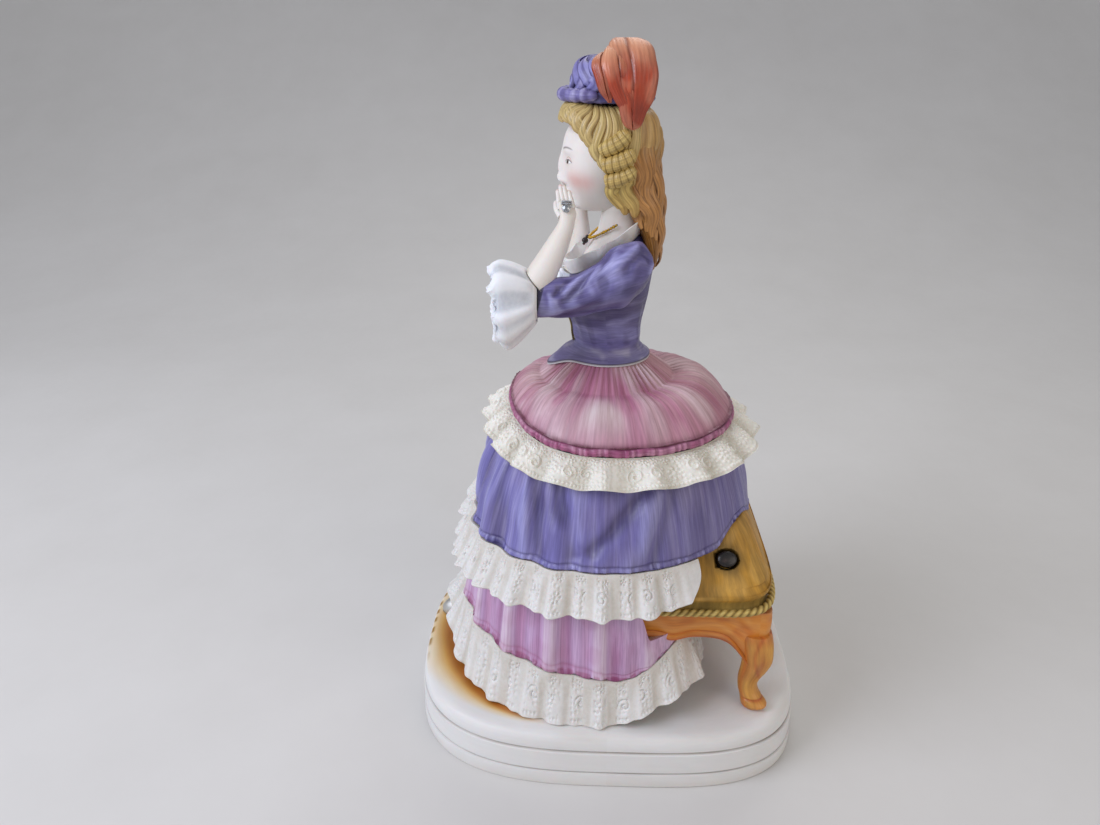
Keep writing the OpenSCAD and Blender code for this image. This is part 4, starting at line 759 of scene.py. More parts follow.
def make_overskirt(s):
    """Dome rings: a cone near the waist, then a puffed slope to the hem. Gathers cut in from the
    waist and fade outwards; soft folds fan down between them, and the hem is pressed in."""
    a, t = grid(960, 84)
    t = t ** 1.15
    neck = 9.5
    R = mix(neck, over_r(a), t)
    Z = dome_z(a, R)
    side = np.minimum(1, bump(a, 82, 40) + bump(a, 268, 34) + 0.35)
    near = np.interp(R, [CONE_R, 19, 23, SHELF_R, 42.5, 60], [0, 0.9, 1, 0.6, 0.3, 0.1])
    valley = 0.5 - 0.5 * wave(a, s.gathers)
    fine = 0.5 - 0.5 * wave(a, round(2.15 * s.gathers))
    far = ease((R - 27) / 12)
    x, y = (a + 180) % 360 - 180, R
    fans = [(-68, 22, -58, 38, 3.0, -1.0), (-52, 24, -42, 40, 4.0, 0.9),
            (-38, 22, -33, 36, 2.6, -1.0), (-30, 26, -27, 46, 3.6, 0.8),
            (12, 24, 16, 38, 2.6, -0.7), (22, 26, 26, 46, 4.0, 0.7), (34, 24, 38, 46, 2.4, -0.8),
            (52, 24, 56, 50, 3.0, 0.8), (66, 24, 68, 50, 2.4, -0.8)]
    per_degree = 0.75
    soft = sum(w * fold(x * per_degree, y, b0 * per_degree, r0, b1 * per_degree, r1, q)
               for b0, r0, b1, r1, q, w in fans)
    waves = far * (0.5 * lumps(polar(R, Z * 0.3, a), 24, 4) + 0.3 * wave(a, 17))
    hem = peak(t, 1, 0.03)
    P = polar(R, Z, a)
    h = (500 * s.fold_depth * (waves + soft)
         - 700 * s.fold_depth * near * side * (valley + 0.3 * fine) - 0.5 * hem)
    P = push(P, h, True)
    strip = polar(R * 0.55, Z * 0, a)
    pale = ease(0.15 + 1.2 * lumps(strip, 19, 23)) * (0.25 + 0.75 * bump(a, 4, 40))
    patch = ease(-0.35 + 1.3 * lumps(strip, 15, 25)) * bump(a, 350, 60)
    brown = np.clip(bump(a, 88, 42) + 0.8 * bump(a, 272, 26), 0, 1)
    crease = ease((valley - 0.35) / 0.6) * side ** 2 * near
    deep = ease((t - 0.72) / 0.28)
    # Painted highlight: broad pale patches, strongest on the lady's left, and the crests of the
    # fanned folds. Painted shade: the folds' valleys, the valleys of the gathers near the waist, and
    # the crease along the hem above the piping.
    c = paint(P, s.mauve, (0.42 * brown, "#a98678"), (0.3 * deep, s.magenta),
              (0.8 * pale * (1 - 0.75 * deep), s.mauve_pale), (0.5 * patch, s.magenta),
              (0.4 * ease(-soft * 1.5), s.magenta), (0.35 * ease(soft * 1.5), s.mauve_pale),
              (0.6 * crease, s.tan), (0.75 * peak(t, 1, 0.02), "#5c2338"))
    P, c = walled(P, a, R, Z, 2.6, 3.6, c, s.shade)
    skin("Overskirt", [(P, c, 0.0, True)], "figurine", "overskirt", "mauve_glaze",
         "China paint in falling strokes")


def make_piping(s):
    """A gathered roll under the overskirt's hem: a flattened oval swept around it, pinched by small
    uneven ticks."""
    n, m = 1300, 22
    a = lap(n)[:, None]
    k = lap(m)[None]
    tick = ease(0.5 + 0.8 * wave(a, 118) * (0.5 + 0.5 * wave(a, 31)) + 0.4 * wave(a, 71))
    out = np.clip(cosd(k) + 0.4, 0, 1)
    P = polar(over_r(a) - 0.9 + 2.0 * np.abs(cosd(k)) ** 0.8 * np.sign(cosd(k))
              + 0.4 * (tick - 0.6) * out,
              over_hem_z(a) - PIPING_H / 2 - 0.3 + 0.3 * wave(a, 20) + PIPING_H * 0.56 * sind(k), a)
    pale = ease(0.3 + 0.9 * lumps(P, 9, 32)) * out
    # Painted highlight in pale patches on the roll's outer face; painted shade in the pinches between
    # the ticks, in the crease along its top under the overskirt, and along its underside.
    c = paint(P, "#a4567e", (0.45 * pale, "#cf9fb6"), (0.6 * (1 - tick) * out, "#743055"),
              (0.8 * ease((sind(k) - 0.66) / 0.3), "#571f3a"),
              (0.7 * ease((-sind(k) - 0.72) / 0.25), "#693049"))
    skin("Piping", [(P, c, 0.0, True)], "figurine", "overskirt_piping", "piping_magenta",
         "Satin china paint")


def make_overskirt_lace(s):
    """The overskirt's frill of lace: it spreads outwards and swings in broad even waves, with one
    plain fold on the lady's left."""
    a, t = grid(1500, 56)
    w = size_of("overskirt_lace")[1][0] - size_of("overskirt")[1][0] - 1.4 + 1.4 * wave(a, 20)
    z = over_hem_z(a) - PIPING_H - 0.6
    e = z - 8.9 + 1.2 * wave(a, 20)
    crimp = 0.5 * wave(a, 37) * t ** 1.5
    R = over_r(a) + 0.2 + w * (0.9 * t + 0.1 * t ** 2) + crimp
    Z = mix(z, e, t ** 1.15) + 0.4 * crimp
    smooth = 1 - bump(a, 3, 3.0) * ease(t * 3)
    h = lace_relief(np.radians(a) * 58, t, 15, 5) * smooth * (0.85 + 0.3 * bump(a, 270, 50))
    h = h + 0.5 * ease((wave(a, 20) + 0.2) / 0.8) * np.sin(np.pi * t) * smooth
    frill(s, "Overskirt_lace", a, R, Z, 1.8, h, ease(-wave(a, 20)), "overskirt_lace",
          "cream_lace", s.cream, "#9c9278", True)


# Folds of the middle skirt: from [angle, way down] to [angle, way down], width and height in mm.
SKIRT_FOLDS = [
    (-36, 0.2, -30, 1.0, 2.0, 1.6), (-33, 0.1, -25, 0.9, 2.2, -1.4),
    (-24, 0.0, -11, 0.85, 3.2, -2.0), (-14, 0.2, -9, 1.0, 2.4, 1.5),
    (16, 0.25, -5, 0.8, 2.6, -1.9), (22, 0.3, 8, 1.0, 3.4, 1.6), (30, 0.1, 17, 0.95, 2.4, -1.6),
    (38, 0.1, 32, 0.9, 3.4, 1.2), (-52, 0.1, -47, 1.0, 2.8, -1.6), (-60, 0.2, -56, 1.0, 3.0, 1.4),
    (-72, 0.1, -70, 0.9, 3.0, -1.8), (-86, 0.0, -82, 0.9, 3.4, 1.4),
    (-104, 0.1, -98, 1.0, 3.0, -1.8), (-122, 0.1, -118, 0.9, 3.6, 1.6),
    (-140, 0.1, -134, 1.0, 3.0, -1.6), (-158, 0.2, -150, 0.9, 3.2, 1.4),
    (170, 0.1, 176, 0.9, 3.0, -1.6), (154, 0.2, 160, 1.0, 3.4, 1.4)]


def make_middle_skirt(s):
    """A flared wall from under the overskirt's lace to the hem. Folds fall from the waist, some
    dragged aside into swags, over uneven pleats that deepen downwards; a stitched band ends it."""
    a, t = grid(1200, 110)
    z0 = over_hem_z(a) - PIPING_H - 2.6
    r_hem = mid_r(a)
    R = mix(over_r(a) - 5, r_hem, t ** 0.5) - 1.4 * bump(a, 262, 26) * np.sin(2.3 * np.pi * t + 0.4)
    Z = mix(z0, mid_z(a, r_hem), t)
    per_degree, fall = 1.1, 52
    x, y = ((a + 180) % 360 - 180) * per_degree, t * fall
    falls = sum(w * fold(x, y, per_degree * b0, fall * t0, per_degree * b1, fall * t1, q)
                for b0, t0, b1, t1, q, w in SKIRT_FOLDS)
    free = 0.3 + 0.7 * loose(a - 25) + 0.3 * bump(a, 30, 30)
    line = (falls + 0.35 * wave(a, 21) * t + 0.22 * wave(a, 46) * ease(t * 2)) * free
    h = 560 * s.fold_depth * line + 0.5 * lumps(polar(R, Z, a), 20, 51) * np.sin(np.pi * t)
    band = peak(1 - t, 0.055, 0.012)
    pucker = wave(a, 128) * (0.5 + 0.5 * wave(a, 37)) * ease((t - 0.94) / 0.02)
    P = push(polar(R, Z, a), h - 0.5 * band + 0.3 * pucker, True)
    lit, dark = ease(h * 0.55), ease(-h * 0.6)
    stool_side_shade = bump(a, 40, 26) + bump(a, 140, 26)
    # Painted highlight on the crests of the folds and of the puckers at the hem. Painted shade in the
    # folds' valleys, over the sides towards the stool, at the top under the overskirt's lace, and
    # along the hem where the lace hangs.
    c = paint(P, s.violet, (0.6 * lit, s.violet_pale), (0.4 * stool_side_shade, "#5c5068"),
              (0.75 * dark, s.violet_dark),
              (0.25 * ease(lumps(P, 26, 55)), "#7b6f95"), (0.55 * band, s.violet_dark),
              (0.4 * ease(pucker * 2), s.violet_pale), (0.5 * ease((0.14 - t) / 0.14), s.violet_dark),
              (0.6 * peak(t, 1, 0.01), "#352a4d"))
    P, c = walled(P, a, R, Z, 3.4, 0.8, c, s.shade)
    skin("Middle_skirt", [(P, c, 0.0, True)], "figurine", "middle_skirt", "violet_glaze",
         "China paint in falling strokes")


def make_middle_lace(s):
    """The middle skirt's frill: deep flutes around the front, flowered on their crests, ending in a
    plain rounded lobe over the cushion on each side."""
    n, m = 1500, 56
    end = 36
    a = np.linspace(180 - end, 360 + end, n)[:, None]
    t = even(m)[None]
    r = mid_r(a)
    z = mid_z(a, r) - 0.3
    e = z - 17 + 3 * ease((sind(a) - 0.2) / 0.4)
    near_end = np.minimum(a - (180 - end), 360 + end - a)
    lobe = np.sqrt(np.clip(near_end / 7, 0, 1)) * 0.85 + 0.15
    on = ease((near_end - 5) / 7)
    w = (10 - 1.5 * ease(np.abs(a - 270) / (90 + end)) + 1.5 * wave(a, 24) * on) * lobe
    flute = (0.95 * wave(a, 47) + 0.3 * wave(a, 83)) * on * ease(t * 1.6)
    R = r + 0.1 + w * (0.75 * t + 0.25 * t ** 2) + flute
    Z = mix(z, mix(z, e, lobe), t ** 1.1) + 0.35 * wave(a, 24) * t
    crest_on = ease((wave(a, 47) + 0.25) / 0.6)
    h = lace_relief(np.radians(a) * 74, t, 17, 6, 6.4) * crest_on * ease((near_end - 9) / 5)
    valley = ease(-(wave(a, 47) + 0.5 * wave(a, 24))) * on
    frill(s, "Middle_lace", a, R, Z, 1.7, h, valley, "middle_lace", "white_lace", s.bisque,
          s.shade, False)


def make_flounce(s):
    """The lower flounce: a flared wall whose top steps down under the stool, with soft round folds
    stroked downwards, and a hem of dots and ticks."""
    a, t = grid(1200, 70)
    top = low_top(a)
    R1 = low_r(a)
    r0 = mix(mid_r(a) - 4.9, R1 - 1.5, on_seat(a))
    R = mix(r0, R1, t ** 1.3) + 0.8 * np.sin(np.pi * t)
    Z = mix(top, low_z(a), t)
    line = (0.55 * wave(a, 19) + 0.55 * wave(a, 38)) * ease(t * 1.6) * (0.35 + 0.65 * loose(a - 20))
    band = peak(1 - t, 0.07, 0.014)
    spot = wave(a, 104)
    dots = ease((spot * (0.6 + 0.4 * wave(a, 29)) - 0.1) / 0.5) * ease((t - 0.93) / 0.02)
    P = push(polar(R, Z, a), 850 * s.fold_depth * line - 0.35 * band + 0.25 * dots, True)
    tip = bump((a + 180) % 360 - 180, 33, 9)
    blot = ease(0.1 + lumps(P, 13, 74))
    # Painted highlight on the crests of the folds; painted shade in their valleys, at the top under
    # the middle skirt, and along the hem where the lowest lace hangs.
    c = paint(P, s.flounce, (0.55 * ease(line * 1.4), "#d6c2d0"), (0.4 * tip, "#cfc4cc"),
              (0.6 * ease(-line * 1.3) * (1 - 0.6 * tip), "#9a5583"), (0.25 * blot, "#a86a91"),
              (0.35 * band, s.magenta), (0.55 * (1 - dots) * ease((t - 0.95) / 0.02), s.magenta),
              (0.25 * ease(0.25 - t * 2), s.magenta), (0.7 * peak(t, 1, 0.01), "#6d2c4c"))
    P, c = walled(P, a, R, Z, 3.4, 0.6, c, s.shade)
    skin("Lower_flounce", [(P, c, 0.0, True)], "figurine", "lower_flounce", "lower_mauve",
         "China paint in falling strokes")


def make_lower_lace(s):
    """The lowest frill: it drops to the deck in broad flutes, flowered on their crests, lifts over
    the slipper, and rises to a point towards the stool."""
    a, t = grid(1500, 56)
    broad = 1.2 * wave(a, 26)
    R0, R1 = low_r(a) + 0.1, lace_r(a) + broad + 2.5 * bump((a + 180) % 360 - 180, 42, 7)
    z, e = low_z(a) - 0.3, lace_foot(a) + 0.35 * broad
    flute = (0.5 * wave(a, 43) + 0.2 * wave(a, 77)) * ease(t * 1.6)
    R = mix(R0, R1, 0.8 * t + 0.2 * t ** 2) + flute
    Z = np.maximum(mix(z, e, t ** 1.1), DECK_Z + 0.35)
    crest_on = ease((wave(a, 43) + 0.3) / 0.6)
    h = lace_relief(np.radians(a) * 70, t, 18, 7, 7.0) * crest_on
    valley = ease(-(wave(a, 43) + 0.5 * wave(a, 26)))
    frill(s, "Lower_lace", a, R, Z, 1.8, h, valley, "lower_lace", "white_lace", s.bisque,
          s.shade, True)


def make_shoe(s):
    """The toe of a slipper: rounded rings along its length."""
    d = np.array([cosd(SHOE_A), sind(SHOE_A), 0])
    q = np.array([-d[1], d[0], 0])
    r = spline([[59, 4, 7], [64, 6, 8.6], [70, 6.2, 8], [76, 5.6, 6.6], [80.6, 4.2, 5],
                [83.4, 1.6, 2.6]], 40)
    k = lap(36)[None, :, None]
    up = np.maximum(0, r[:, 2, None, None] * (0.35 + sind(k)))
    P = (np.array([0, AXIS_Y, DECK_Z + 0.3]) + r[:, 0, None, None] * d
         + r[:, 1, None, None] * cosd(k) * q + up * np.array([0, 0, 1]))
    low_band = ease((0.9 - up[..., 0]) / 0.5)
    # Dark along the bottom of the slipper, next to the deck.
    c = paint(P, "#c9c9c6", (0.8 * low_band, s.lash))
    skin("Slipper", [(P, c, 0.9)], "figurine", "shoe", "silver_lustre", "Biscuit porcelain")


# ---- Stool

PRESS = np.array(JOINTS["button_press"]["axis"])
BUTTON_UP = -PRESS
BUTTON_SIDE = unit(np.cross([0, 1, 0], BUTTON_UP))


def button_middle():
    """Centre of the oval button's seat, on the cushion's surface."""
    low, high = size_of("start_button")
    return (low + high) / 2 - 0.45 * BUTTON_UP


def make_cushion(s):
    """A puffed cushion: rounded-square rings rise from a concave border over a lip to a crown. The
    button's seat is sunk into it along the button's axis, with a dimple and puckers around it."""
    low, high = size_of("stool_cushion")
    n, m = 520, 110
    lip = low[2] + LIP_H
    W, D = high[0], high[1] - CUSHION_MID
    a = lap(n)
    a = (a + 14 * sind(4 * a))[:, None]
    border = [(1.2, low[2]), (1.3, low[2] + 0.8), (1.9, low[2] + 2.2), (2.1, low[2] + 4.2),
              (1.5, low[2] + 6.2), (0.6, lip - 1.0), (0.1, lip), (0.4, lip + 1.2)]
    line = spline(border, 40)
    t = np.linspace(0.03, 1, m - 40)
    inset = np.concatenate([line[:, 0], 0.38 * W * t])
    z = np.concatenate([line[:, 1], lip + (high[2] - lip) * (1 - (1 - t) ** 1.15)])
    grow = W - inset[None]
    deep = D - inset[None] * np.where(inset[None] > 3, D / W, 1)
    x = grow * power(cosd(a), SQUARED)
    y = CUSHION_MID + deep * power(sind(a), SQUARED)
    y = np.maximum(y, low[1] + 0.02 * inset[None])
    P = points(x, y, z[None]).transpose(1, 0, 2)
    c0 = button_middle()
    q = P - c0
    lean = q @ BUTTON_UP
    ax, ay = q @ BUTTON_SIDE, q[..., 1]
    blow, bhigh = size_of("start_button")
    bw, bl = 3.5, (bhigh[1] - blow[1]) / 2
    oval = np.sqrt((ax / (bw + 0.8)) ** 2 + (ay / (bl + 0.8)) ** 2)
    close = np.abs(lean) < 9
    hole = (1 - ease((oval - 0.94) / 0.16)) * close
    dimple = peak(oval, 1, 1.5) * (oval > 1) * close
    spoke = np.arctan2(ay, ax)
    pucker = (0.5 + 0.5 * np.cos(7 * spoke + 1.2 * np.sin(2 * spoke))) * peak(oval, 1.7, 1.0) * close
    soft = lumps(P, 34, 91) * ease((P[..., 2] - lip - 1) / 4)
    dent = (hill(P[..., 1] - 34, P[..., 2] - lip - 4, 9, 2.4)
            - 0.6 * hill(P[..., 1] - 30, P[..., 2] - lip, 12, 1.4))
    P = push(P, 0.5 * soft - 0.35 * pucker * (1 - hole) - 0.9 * dent)
    P = P - BUTTON_UP * (5.0 * hole + 0.7 * dimple)[..., None]
    up = P[..., 2]
    lipline = peak(up - lip, 0.4, 0.8)
    under = ease((lip - 0.6 - up) / 2.5)
    far = peak(np.maximum(oval, 1), 1, 0.75) * close
    slope = ease((up - lip - 9) / 12)
    streaky = ease(0.4 + lumps(P * [1, 1, 0.35], 12, 93))
    bright = ease(0.1 + lumps(P, 17, 94))
    # Painted shade: near black in the sunk seat round the button, and olive gold over the dimple
    # round it. Along the lip, a painted highlight in patches with painted shade between them.
    c = paint(P, s.gold, (0.4 * streaky, "#bf9a55"), (0.35 * slope, "#94703a"),
              (0.75 * under, "#968045"), (0.35 * under * ease((low[2] + 5 - up) / 4), "#b3a05c"),
              (0.6 * far, s.gold_dark), (hole, "#1d160a"),
              (0.6 * lipline * bright, "#dcb56a"), (0.3 * lipline * (1 - bright), s.gold_dark))
    gleam = 0.1 + 0.35 * lipline + 0.2 * far
    skin("Cushion", [(P, c, gleam)], "figurine", "stool_cushion", "gold_lustre", "Gold lustre", 60)


def cushion_line(count, inset):
    """Points along the cushion's border from one front end to the other, evenly apart."""
    low, high = size_of("stool_cushion")
    a = np.linspace(0, 180, 2000)
    x = (high[0] - inset) * power(cosd(a), SQUARED)
    y = CUSHION_MID + (high[1] - CUSHION_MID - inset) * power(sind(a), SQUARED)
    x = np.concatenate([x[:1], x, x[-1:]])
    y = np.concatenate([[low[1] + 3], y, [low[1] + 3]])
    run = run_of(np.hypot(np.diff(x), np.diff(y)))
    at = np.linspace(0, run[-1], count)
    return np.interp(at, run, x), np.interp(at, run, y), at


def make_braid(s):
    """A twisted cord along the foot of the cushion: a round tube with three strands winding
    around it, with a painted highlight on their crests and painted shade between them."""
    low, high = size_of("cushion_braid")
    n, m = 1500, 20
    radius = (high[2] - low[2]) / 2
    x, y, along = cushion_line(n, 1.5 - radius - 0.1)
    z = np.full_like(x, low[2] + radius)
    k = lap(m)
    twist = 3.3
    strand = crest(np.cos(np.radians(2 * k)[None] - 2 * np.pi * along[:, None] / twist), 2.2)
    P = fatten(tube(points(x, y, z), 1.0, m), radius * (0.72 + 0.28 * strand))
    c = paint(P, "#ad9049", (0.85 * ease(0.75 - strand * 1.3), "#5c4b25"),
              (0.5 * ease(strand * 3 - 2.2), "#e3cd85"))
    skin("Braid", [(P, c, 0.3)], "figurine", "cushion_braid", "gold_lustre", "Gold lustre")


def make_frame(s):
    """The seat frame: one section swept around the sides and back. Under each rail it arches up
    between a drooping front corner and a bracket that flows into the leg; a bead edges the arch,
    and its upper part runs in under the cushion as a board."""
    low, high = size_of("stool_frame")
    top = high[2]
    n, corner, thick = 640, 4.0, 6.0
    side = high[1] - low[1]
    arc = [(high[0] - corner + corner * cosd(b), high[1] - corner + corner * sind(b))
           for b in np.linspace(8, 82, 9)]
    half = np.array([(high[0], low[1]), (high[0], high[1] - corner)] + arc
                    + [(high[0] - corner, high[1]), (0, high[1])])
    line = np.concatenate([half, half[-2::-1] * [-1, 1]])
    run = run_of(np.hypot(*np.diff(line, axis=0).T))
    at = even(n) * run[-1]
    x, y = np.interp(at, run, line[:, 0]), np.interp(at, run, line[:, 1])
    to_side = np.minimum(at, run[-1] - at)
    leg_at = side - 5.5
    gap = np.abs(to_side - leg_at)
    droop = 1.8 * peak(to_side, 20, 5)
    rise = mix(0.6 * ease((to_side - 19) / 13), 4.6, to_side >= leg_at)
    bracket = 15 * np.exp(-(np.maximum(gap - 3, 0) / 7.5) ** 1.5)
    foot = RAIL_LOW - 1.6 + rise - droop - bracket
    t2 = np.stack([np.gradient(x), np.gradient(y)], 1)
    out = unit(np.stack([t2[:, 1], -t2[:, 0]], 1))
    drop = top - foot
    edge_mm = np.array([0.0, 0.5, 1.2, 2.0, 2.6, 3.2])
    rows = [(-0.3, 0.0), (0.0, 0.22), (0.0, 0.4), (-0.3, 0.56)]

    def lines(pairs):
        return np.stack([np.stack([np.full(n, b), z], 1) for b, z in pairs])

    upper = lines((b, top - f * drop) for b, f in rows)
    bead = lines((b, foot + e) for b, e in zip((-0.9, -1.2, -0.6, 0.1, 0.2, -0.3), edge_mm[::-1]))
    shown = 44
    outer = spline(np.concatenate([upper, bead]), shown)
    tail = [(-1.6, -0.1), (-thick + 1.4, -0.1), (-thick, 0.3), (-thick, 3.0)]
    loop = np.concatenate([outer, lines((b, foot + e) for b, e in tail)])
    d, h = loop[..., 0].T, loop[..., 1].T
    X, Y = x[:, None] + out[:, :1] * d, y[:, None] + out[:, 1:] * d
    board = top - 3
    inx, iny = 0.12 * x, low[1] + 0.6 * (y - low[1])
    under = points(X[:, -1], Y[:, -1], board)[:, None]
    inner = points(inx, iny, board)[:, None]
    P = np.concatenate([points(X, Y, h), under, inner, inner + [0, 0, 2.7]], 1)
    m = P.shape[1]
    lift = P[..., 2] - foot[:, None]
    edge = peak(lift, 0.6, 0.8) + 0.7 * peak(lift, 2.8, 0.5)
    face = np.arange(m)[None] < shown
    arcs = 0.5 + 0.5 * np.cos(0.9 * lift + 1.2 * lumps(P, 26, 95))
    # Painted shade on the frame's top just under the cushion, and over its inner faces under the
    # seat.
    c = paint(P, s.wood, (0.35 * arcs, "#dba25a"), (0.8 * edge * face, s.wood_dark),
              (0.35 * ease(lumps(P, 14, 96)), s.wood_dark),
              (0.5 * ease((P[..., 2] - top + 1.2) / 0.9), s.tan),
              (0.4 * ~face * np.ones((n, 1)), s.wood_dark))
    skin("Stool_frame", [(P, c)], "figurine", "stool_frame", "wood_glaze", "Amber wood glaze", 40)


def make_leg(s, name, node, side):
    """A cabriole leg: oval rings that bow out at the knee, narrow to the ankle and roll into a
    scroll at the foot, with a ridge down its outer corner and a soft flute on each side of it."""
    high = size_of(node)[1]
    corner = np.array([50.5, 64.3, 0])
    foot, top = DECK_Z + 0.05, high[2]
    out, across = np.array([1, 1, 0]) / math.sqrt(2), np.array([-1, 1, 0]) / math.sqrt(2)
    rows = spline([[0.0, 2.2, 3.4], [0.02, 2.5, 4.9], [0.08, 2.6, 5.6], [0.14, 1.6, 5.3],
                   [0.2, 0.0, 4.8], [0.28, -0.7, 4.6], [0.38, -0.1, 5.0], [0.52, 1.7, 5.9],
                   [0.68, 2.9, 6.9], [0.84, 2.2, 7.6], [0.94, 1.0, 7.9], [1, 0.3, 7.6]], 140)
    k = lap(60)[None]
    around = np.abs((k + 180) % 360 - 180)
    up = rows[:, :1]
    ridge = peak(around, 0, 16)
    flute = peak(around, 36, 13)
    knee = peak(up, 0.66, 0.24)
    curl = peak(up, 0.07, 0.045) * np.clip(cosd(k), 0, 1) ** 2
    groove = peak(up, 0.135, 0.013) * np.clip(cosd(k) + 0.6, 0, 1)
    r = rows[:, 2:3] * (1 + 0.09 * ridge * knee - 0.1 * flute * knee) + 1.5 * curl - 0.7 * groove
    z = mix(foot, top, up)
    P = (corner + rows[:, 1][:, None, None] * out
         + (r * cosd(k))[..., None] * out + 0.9 * (r * sind(k))[..., None] * across)
    P[..., 2] = z
    P = P * [side, 1, 1]
    leaf = peak(around, 66 * (1 - ((up - 0.74) / 0.34) ** 2), 9) * (up > 0.4)
    side_edge = peak(around, 104, 20)
    # Painted shade in the flutes beside the knee and in the groove above the foot.
    c = paint(P, "#c8903f", (0.4 * ease(0.3 + lumps(P, 16, 97)), "#c07c36"),
              (0.5 * flute * knee, s.wood_dark), (0.6 * leaf, s.wood_dark),
              (0.6 * side_edge, s.wood_dark),
              (0.8 * np.clip(groove, 0, 1), s.wood_dark),
              (0.5 * ease((0.07 - up) / 0.05), s.wood_dark),
              (0.45 * curl, "#d98a4a"), (0.45 * ease((up - 0.86) / 0.12), s.wood_dark))
    skin(name, [(P, c)], "figurine", node, "wood_glaze", "Amber wood glaze")


def make_button(s):
    """The oval start button: rings over its domed cap, with a painted grey reflection in one place.
    """
    low, high = size_of("start_button")
    a = lap(72)[None]
    rows = spline([[1, -1.4], [1, 0.2], [0.98, 0.6], [0.92, 0.95], [0.8, 1.25], [0.6, 1.5],
                   [0.3, 1.65], [0.1, 1.68]], 40)
    f, z = rows[:, :1], rows[:, 1:]
    bl = (high[1] - low[1]) / 2
    bw = bl * 3.5 / 4.3
    c0 = button_middle()
    P = (c0 + (bw * f * cosd(a))[..., None] * BUTTON_SIDE
         + (bl * f * sind(a))[..., None] * np.array([0, 1, 0])
         + np.broadcast_to(z, (40, 72))[..., None] * BUTTON_UP)
    grey_reflection = hill(P[..., 1] - c0[1] + 1.2, (P - c0) @ BUTTON_SIDE - 0.8, 0.9, 0.6)
    # A painted grey reflection on one side of the glossy cap.
    c = paint(P, "#16100f", (0.35 * grey_reflection, "#5e4a44"))
    skin("Start_button", [(P, c)], "button", "start_button", "black_button", "Black enamel")


# ---- Upper body

HEAD_AT = np.array([0.0, -4.0, WAIST_Z + 84.0])
NECK_AT = -21.7
NECK_SLOPE = 0.62
NECKLINE = 47.3


def bodice_rows():
    """Rings of the bodice from the waist to the neckline: middle, half width, half depth, height
    over the waist, slope."""
    return [[AXIS_Y, 15, 14.5, 5, 0], [-2.9, 15.2, 14.8, 9, 0], [-3.2, 15.5, 15.2, 14, 0],
            [-3.9, 16.7, 17.4, 22, 0], [-3.5, 17.7, 18.4, 29, 0], [-2.3, 18, 18.2, 37, 0.31],
            [-3.5, 17, 15.5, NECKLINE, NECK_SLOPE]]


def ring_of(r, a, inset=0.0):
    """One ring of the bodice: an oval set in by an inset and tilted by its row's slope."""
    y = r[0] + (r[2] - inset) * sind(a)
    return points((r[1] - inset) * cosd(a), y, WAIST_Z + r[3] + r[4] * y)


def make_bodice(s):
    """The bodice and its peplum: at each angle one section runs from the peplum's edge up over
    the waist and chest to the neckline, and back down inside; drag folds rise from the waist."""
    n = 360
    a = lap(n)
    ray = points(cosd(a), sind(a), 0)
    middle = np.array([0, AXIS_Y, 0])
    p = 19 + 7.5 * bump(a, 270, 17)
    ground = cone_z(p)
    edge = middle + ray * p[:, None]
    edge[:, 2] = ground + CAST_GAP + 1.1
    hip = middle + ray * mix(15, p, 0.35)[:, None]
    hip[:, 2] = WAIST_Z + 2.4
    flare = middle + ray * mix(15, p, 0.75)[:, None]
    flare[:, 2] = mix(edge[:, 2], hip[:, 2], 0.36)
    rows = bodice_rows()
    profile = np.stack([edge, flare, hip] + [ring_of(r, a) for r in rows])
    outer = spline(profile, 150)
    inner = [ring_of(r, a, 3.2) for r in rows[:1:-1]]
    for q, z in ((4.4, 19.0), (4.4, 4.5), (10.2, 4.5), (10.2, CAST_GAP), (CONE_R, CAST_GAP)):
        ring = middle + ray * q
        ring[:, 2] = WAIST_Z + z
        inner.append(ring)
    low = edge.copy()
    low[:, 2] = ground + CAST_GAP
    P = np.concatenate([outer, np.stack(inner + [low])]).transpose(1, 0, 2)
    m, k = P.shape[1], 150
    up = P[..., 2] - WAIST_Z
    on = np.broadcast_to(np.arange(m)[None] < k, (n, m)) * ease((up - 4) / 6) * ease((44 - up) / 4)
    A = a[:, None]
    drag = np.cos(np.radians(13 * A) + 0.16 * up + pleats(A, 3, 101)) * ease((34 - up) / 16)
    h = on * (0.2 * drag + 0.2 * lumps(P * [1, 1, 0.6], 14, 102))
    P = push(P, h, True)
    t = np.broadcast_to((np.arange(m) / k)[None], (n, m))
    hem = peak(t, 0, 0.02)
    pep = ease((7.5 - up) / 4)
    neck = ease((t - 0.955) / 0.03) * (t <= 1)
    core = peak(up, 24, 12)
    stroke = ease(0.2 + lumps(P * [0.5, 0.5, 1.3], 12, 103))
    arm = peak(np.hypot((P[..., 1] + 2.0) / 1.15, up - 36), 11.5, 0.9)
    arm *= np.abs(cosd(A)) > 0.55
    # Painted shade across the middle of the bodice, in the valleys of the drag folds, in a ring where
    # each sleeve joins it, and just below the neckline under the collar.
    c = paint(P, s.violet, (0.3, "#433a60"), (0.75 * core, "#3b3054"), (0.3 * stroke, s.violet_pale),
              (0.4 * ease(-h * 4), s.violet_dark), (0.6 * pep, "#6d6480"),
              (0.5 * pep * ease(lumps(P, 9, 104)), "#a29dae"), (0.9 * hem, "#241a38"),
              (0.5 * neck, "#2e2548"), (0.5 * arm, "#2a1f42"), (0.9 * (t > 1.01), s.bisque))
    skin("Bodice", [(P, c, 0.0, True)], "torso", "bodice", "violet_glaze", "Satin china paint")


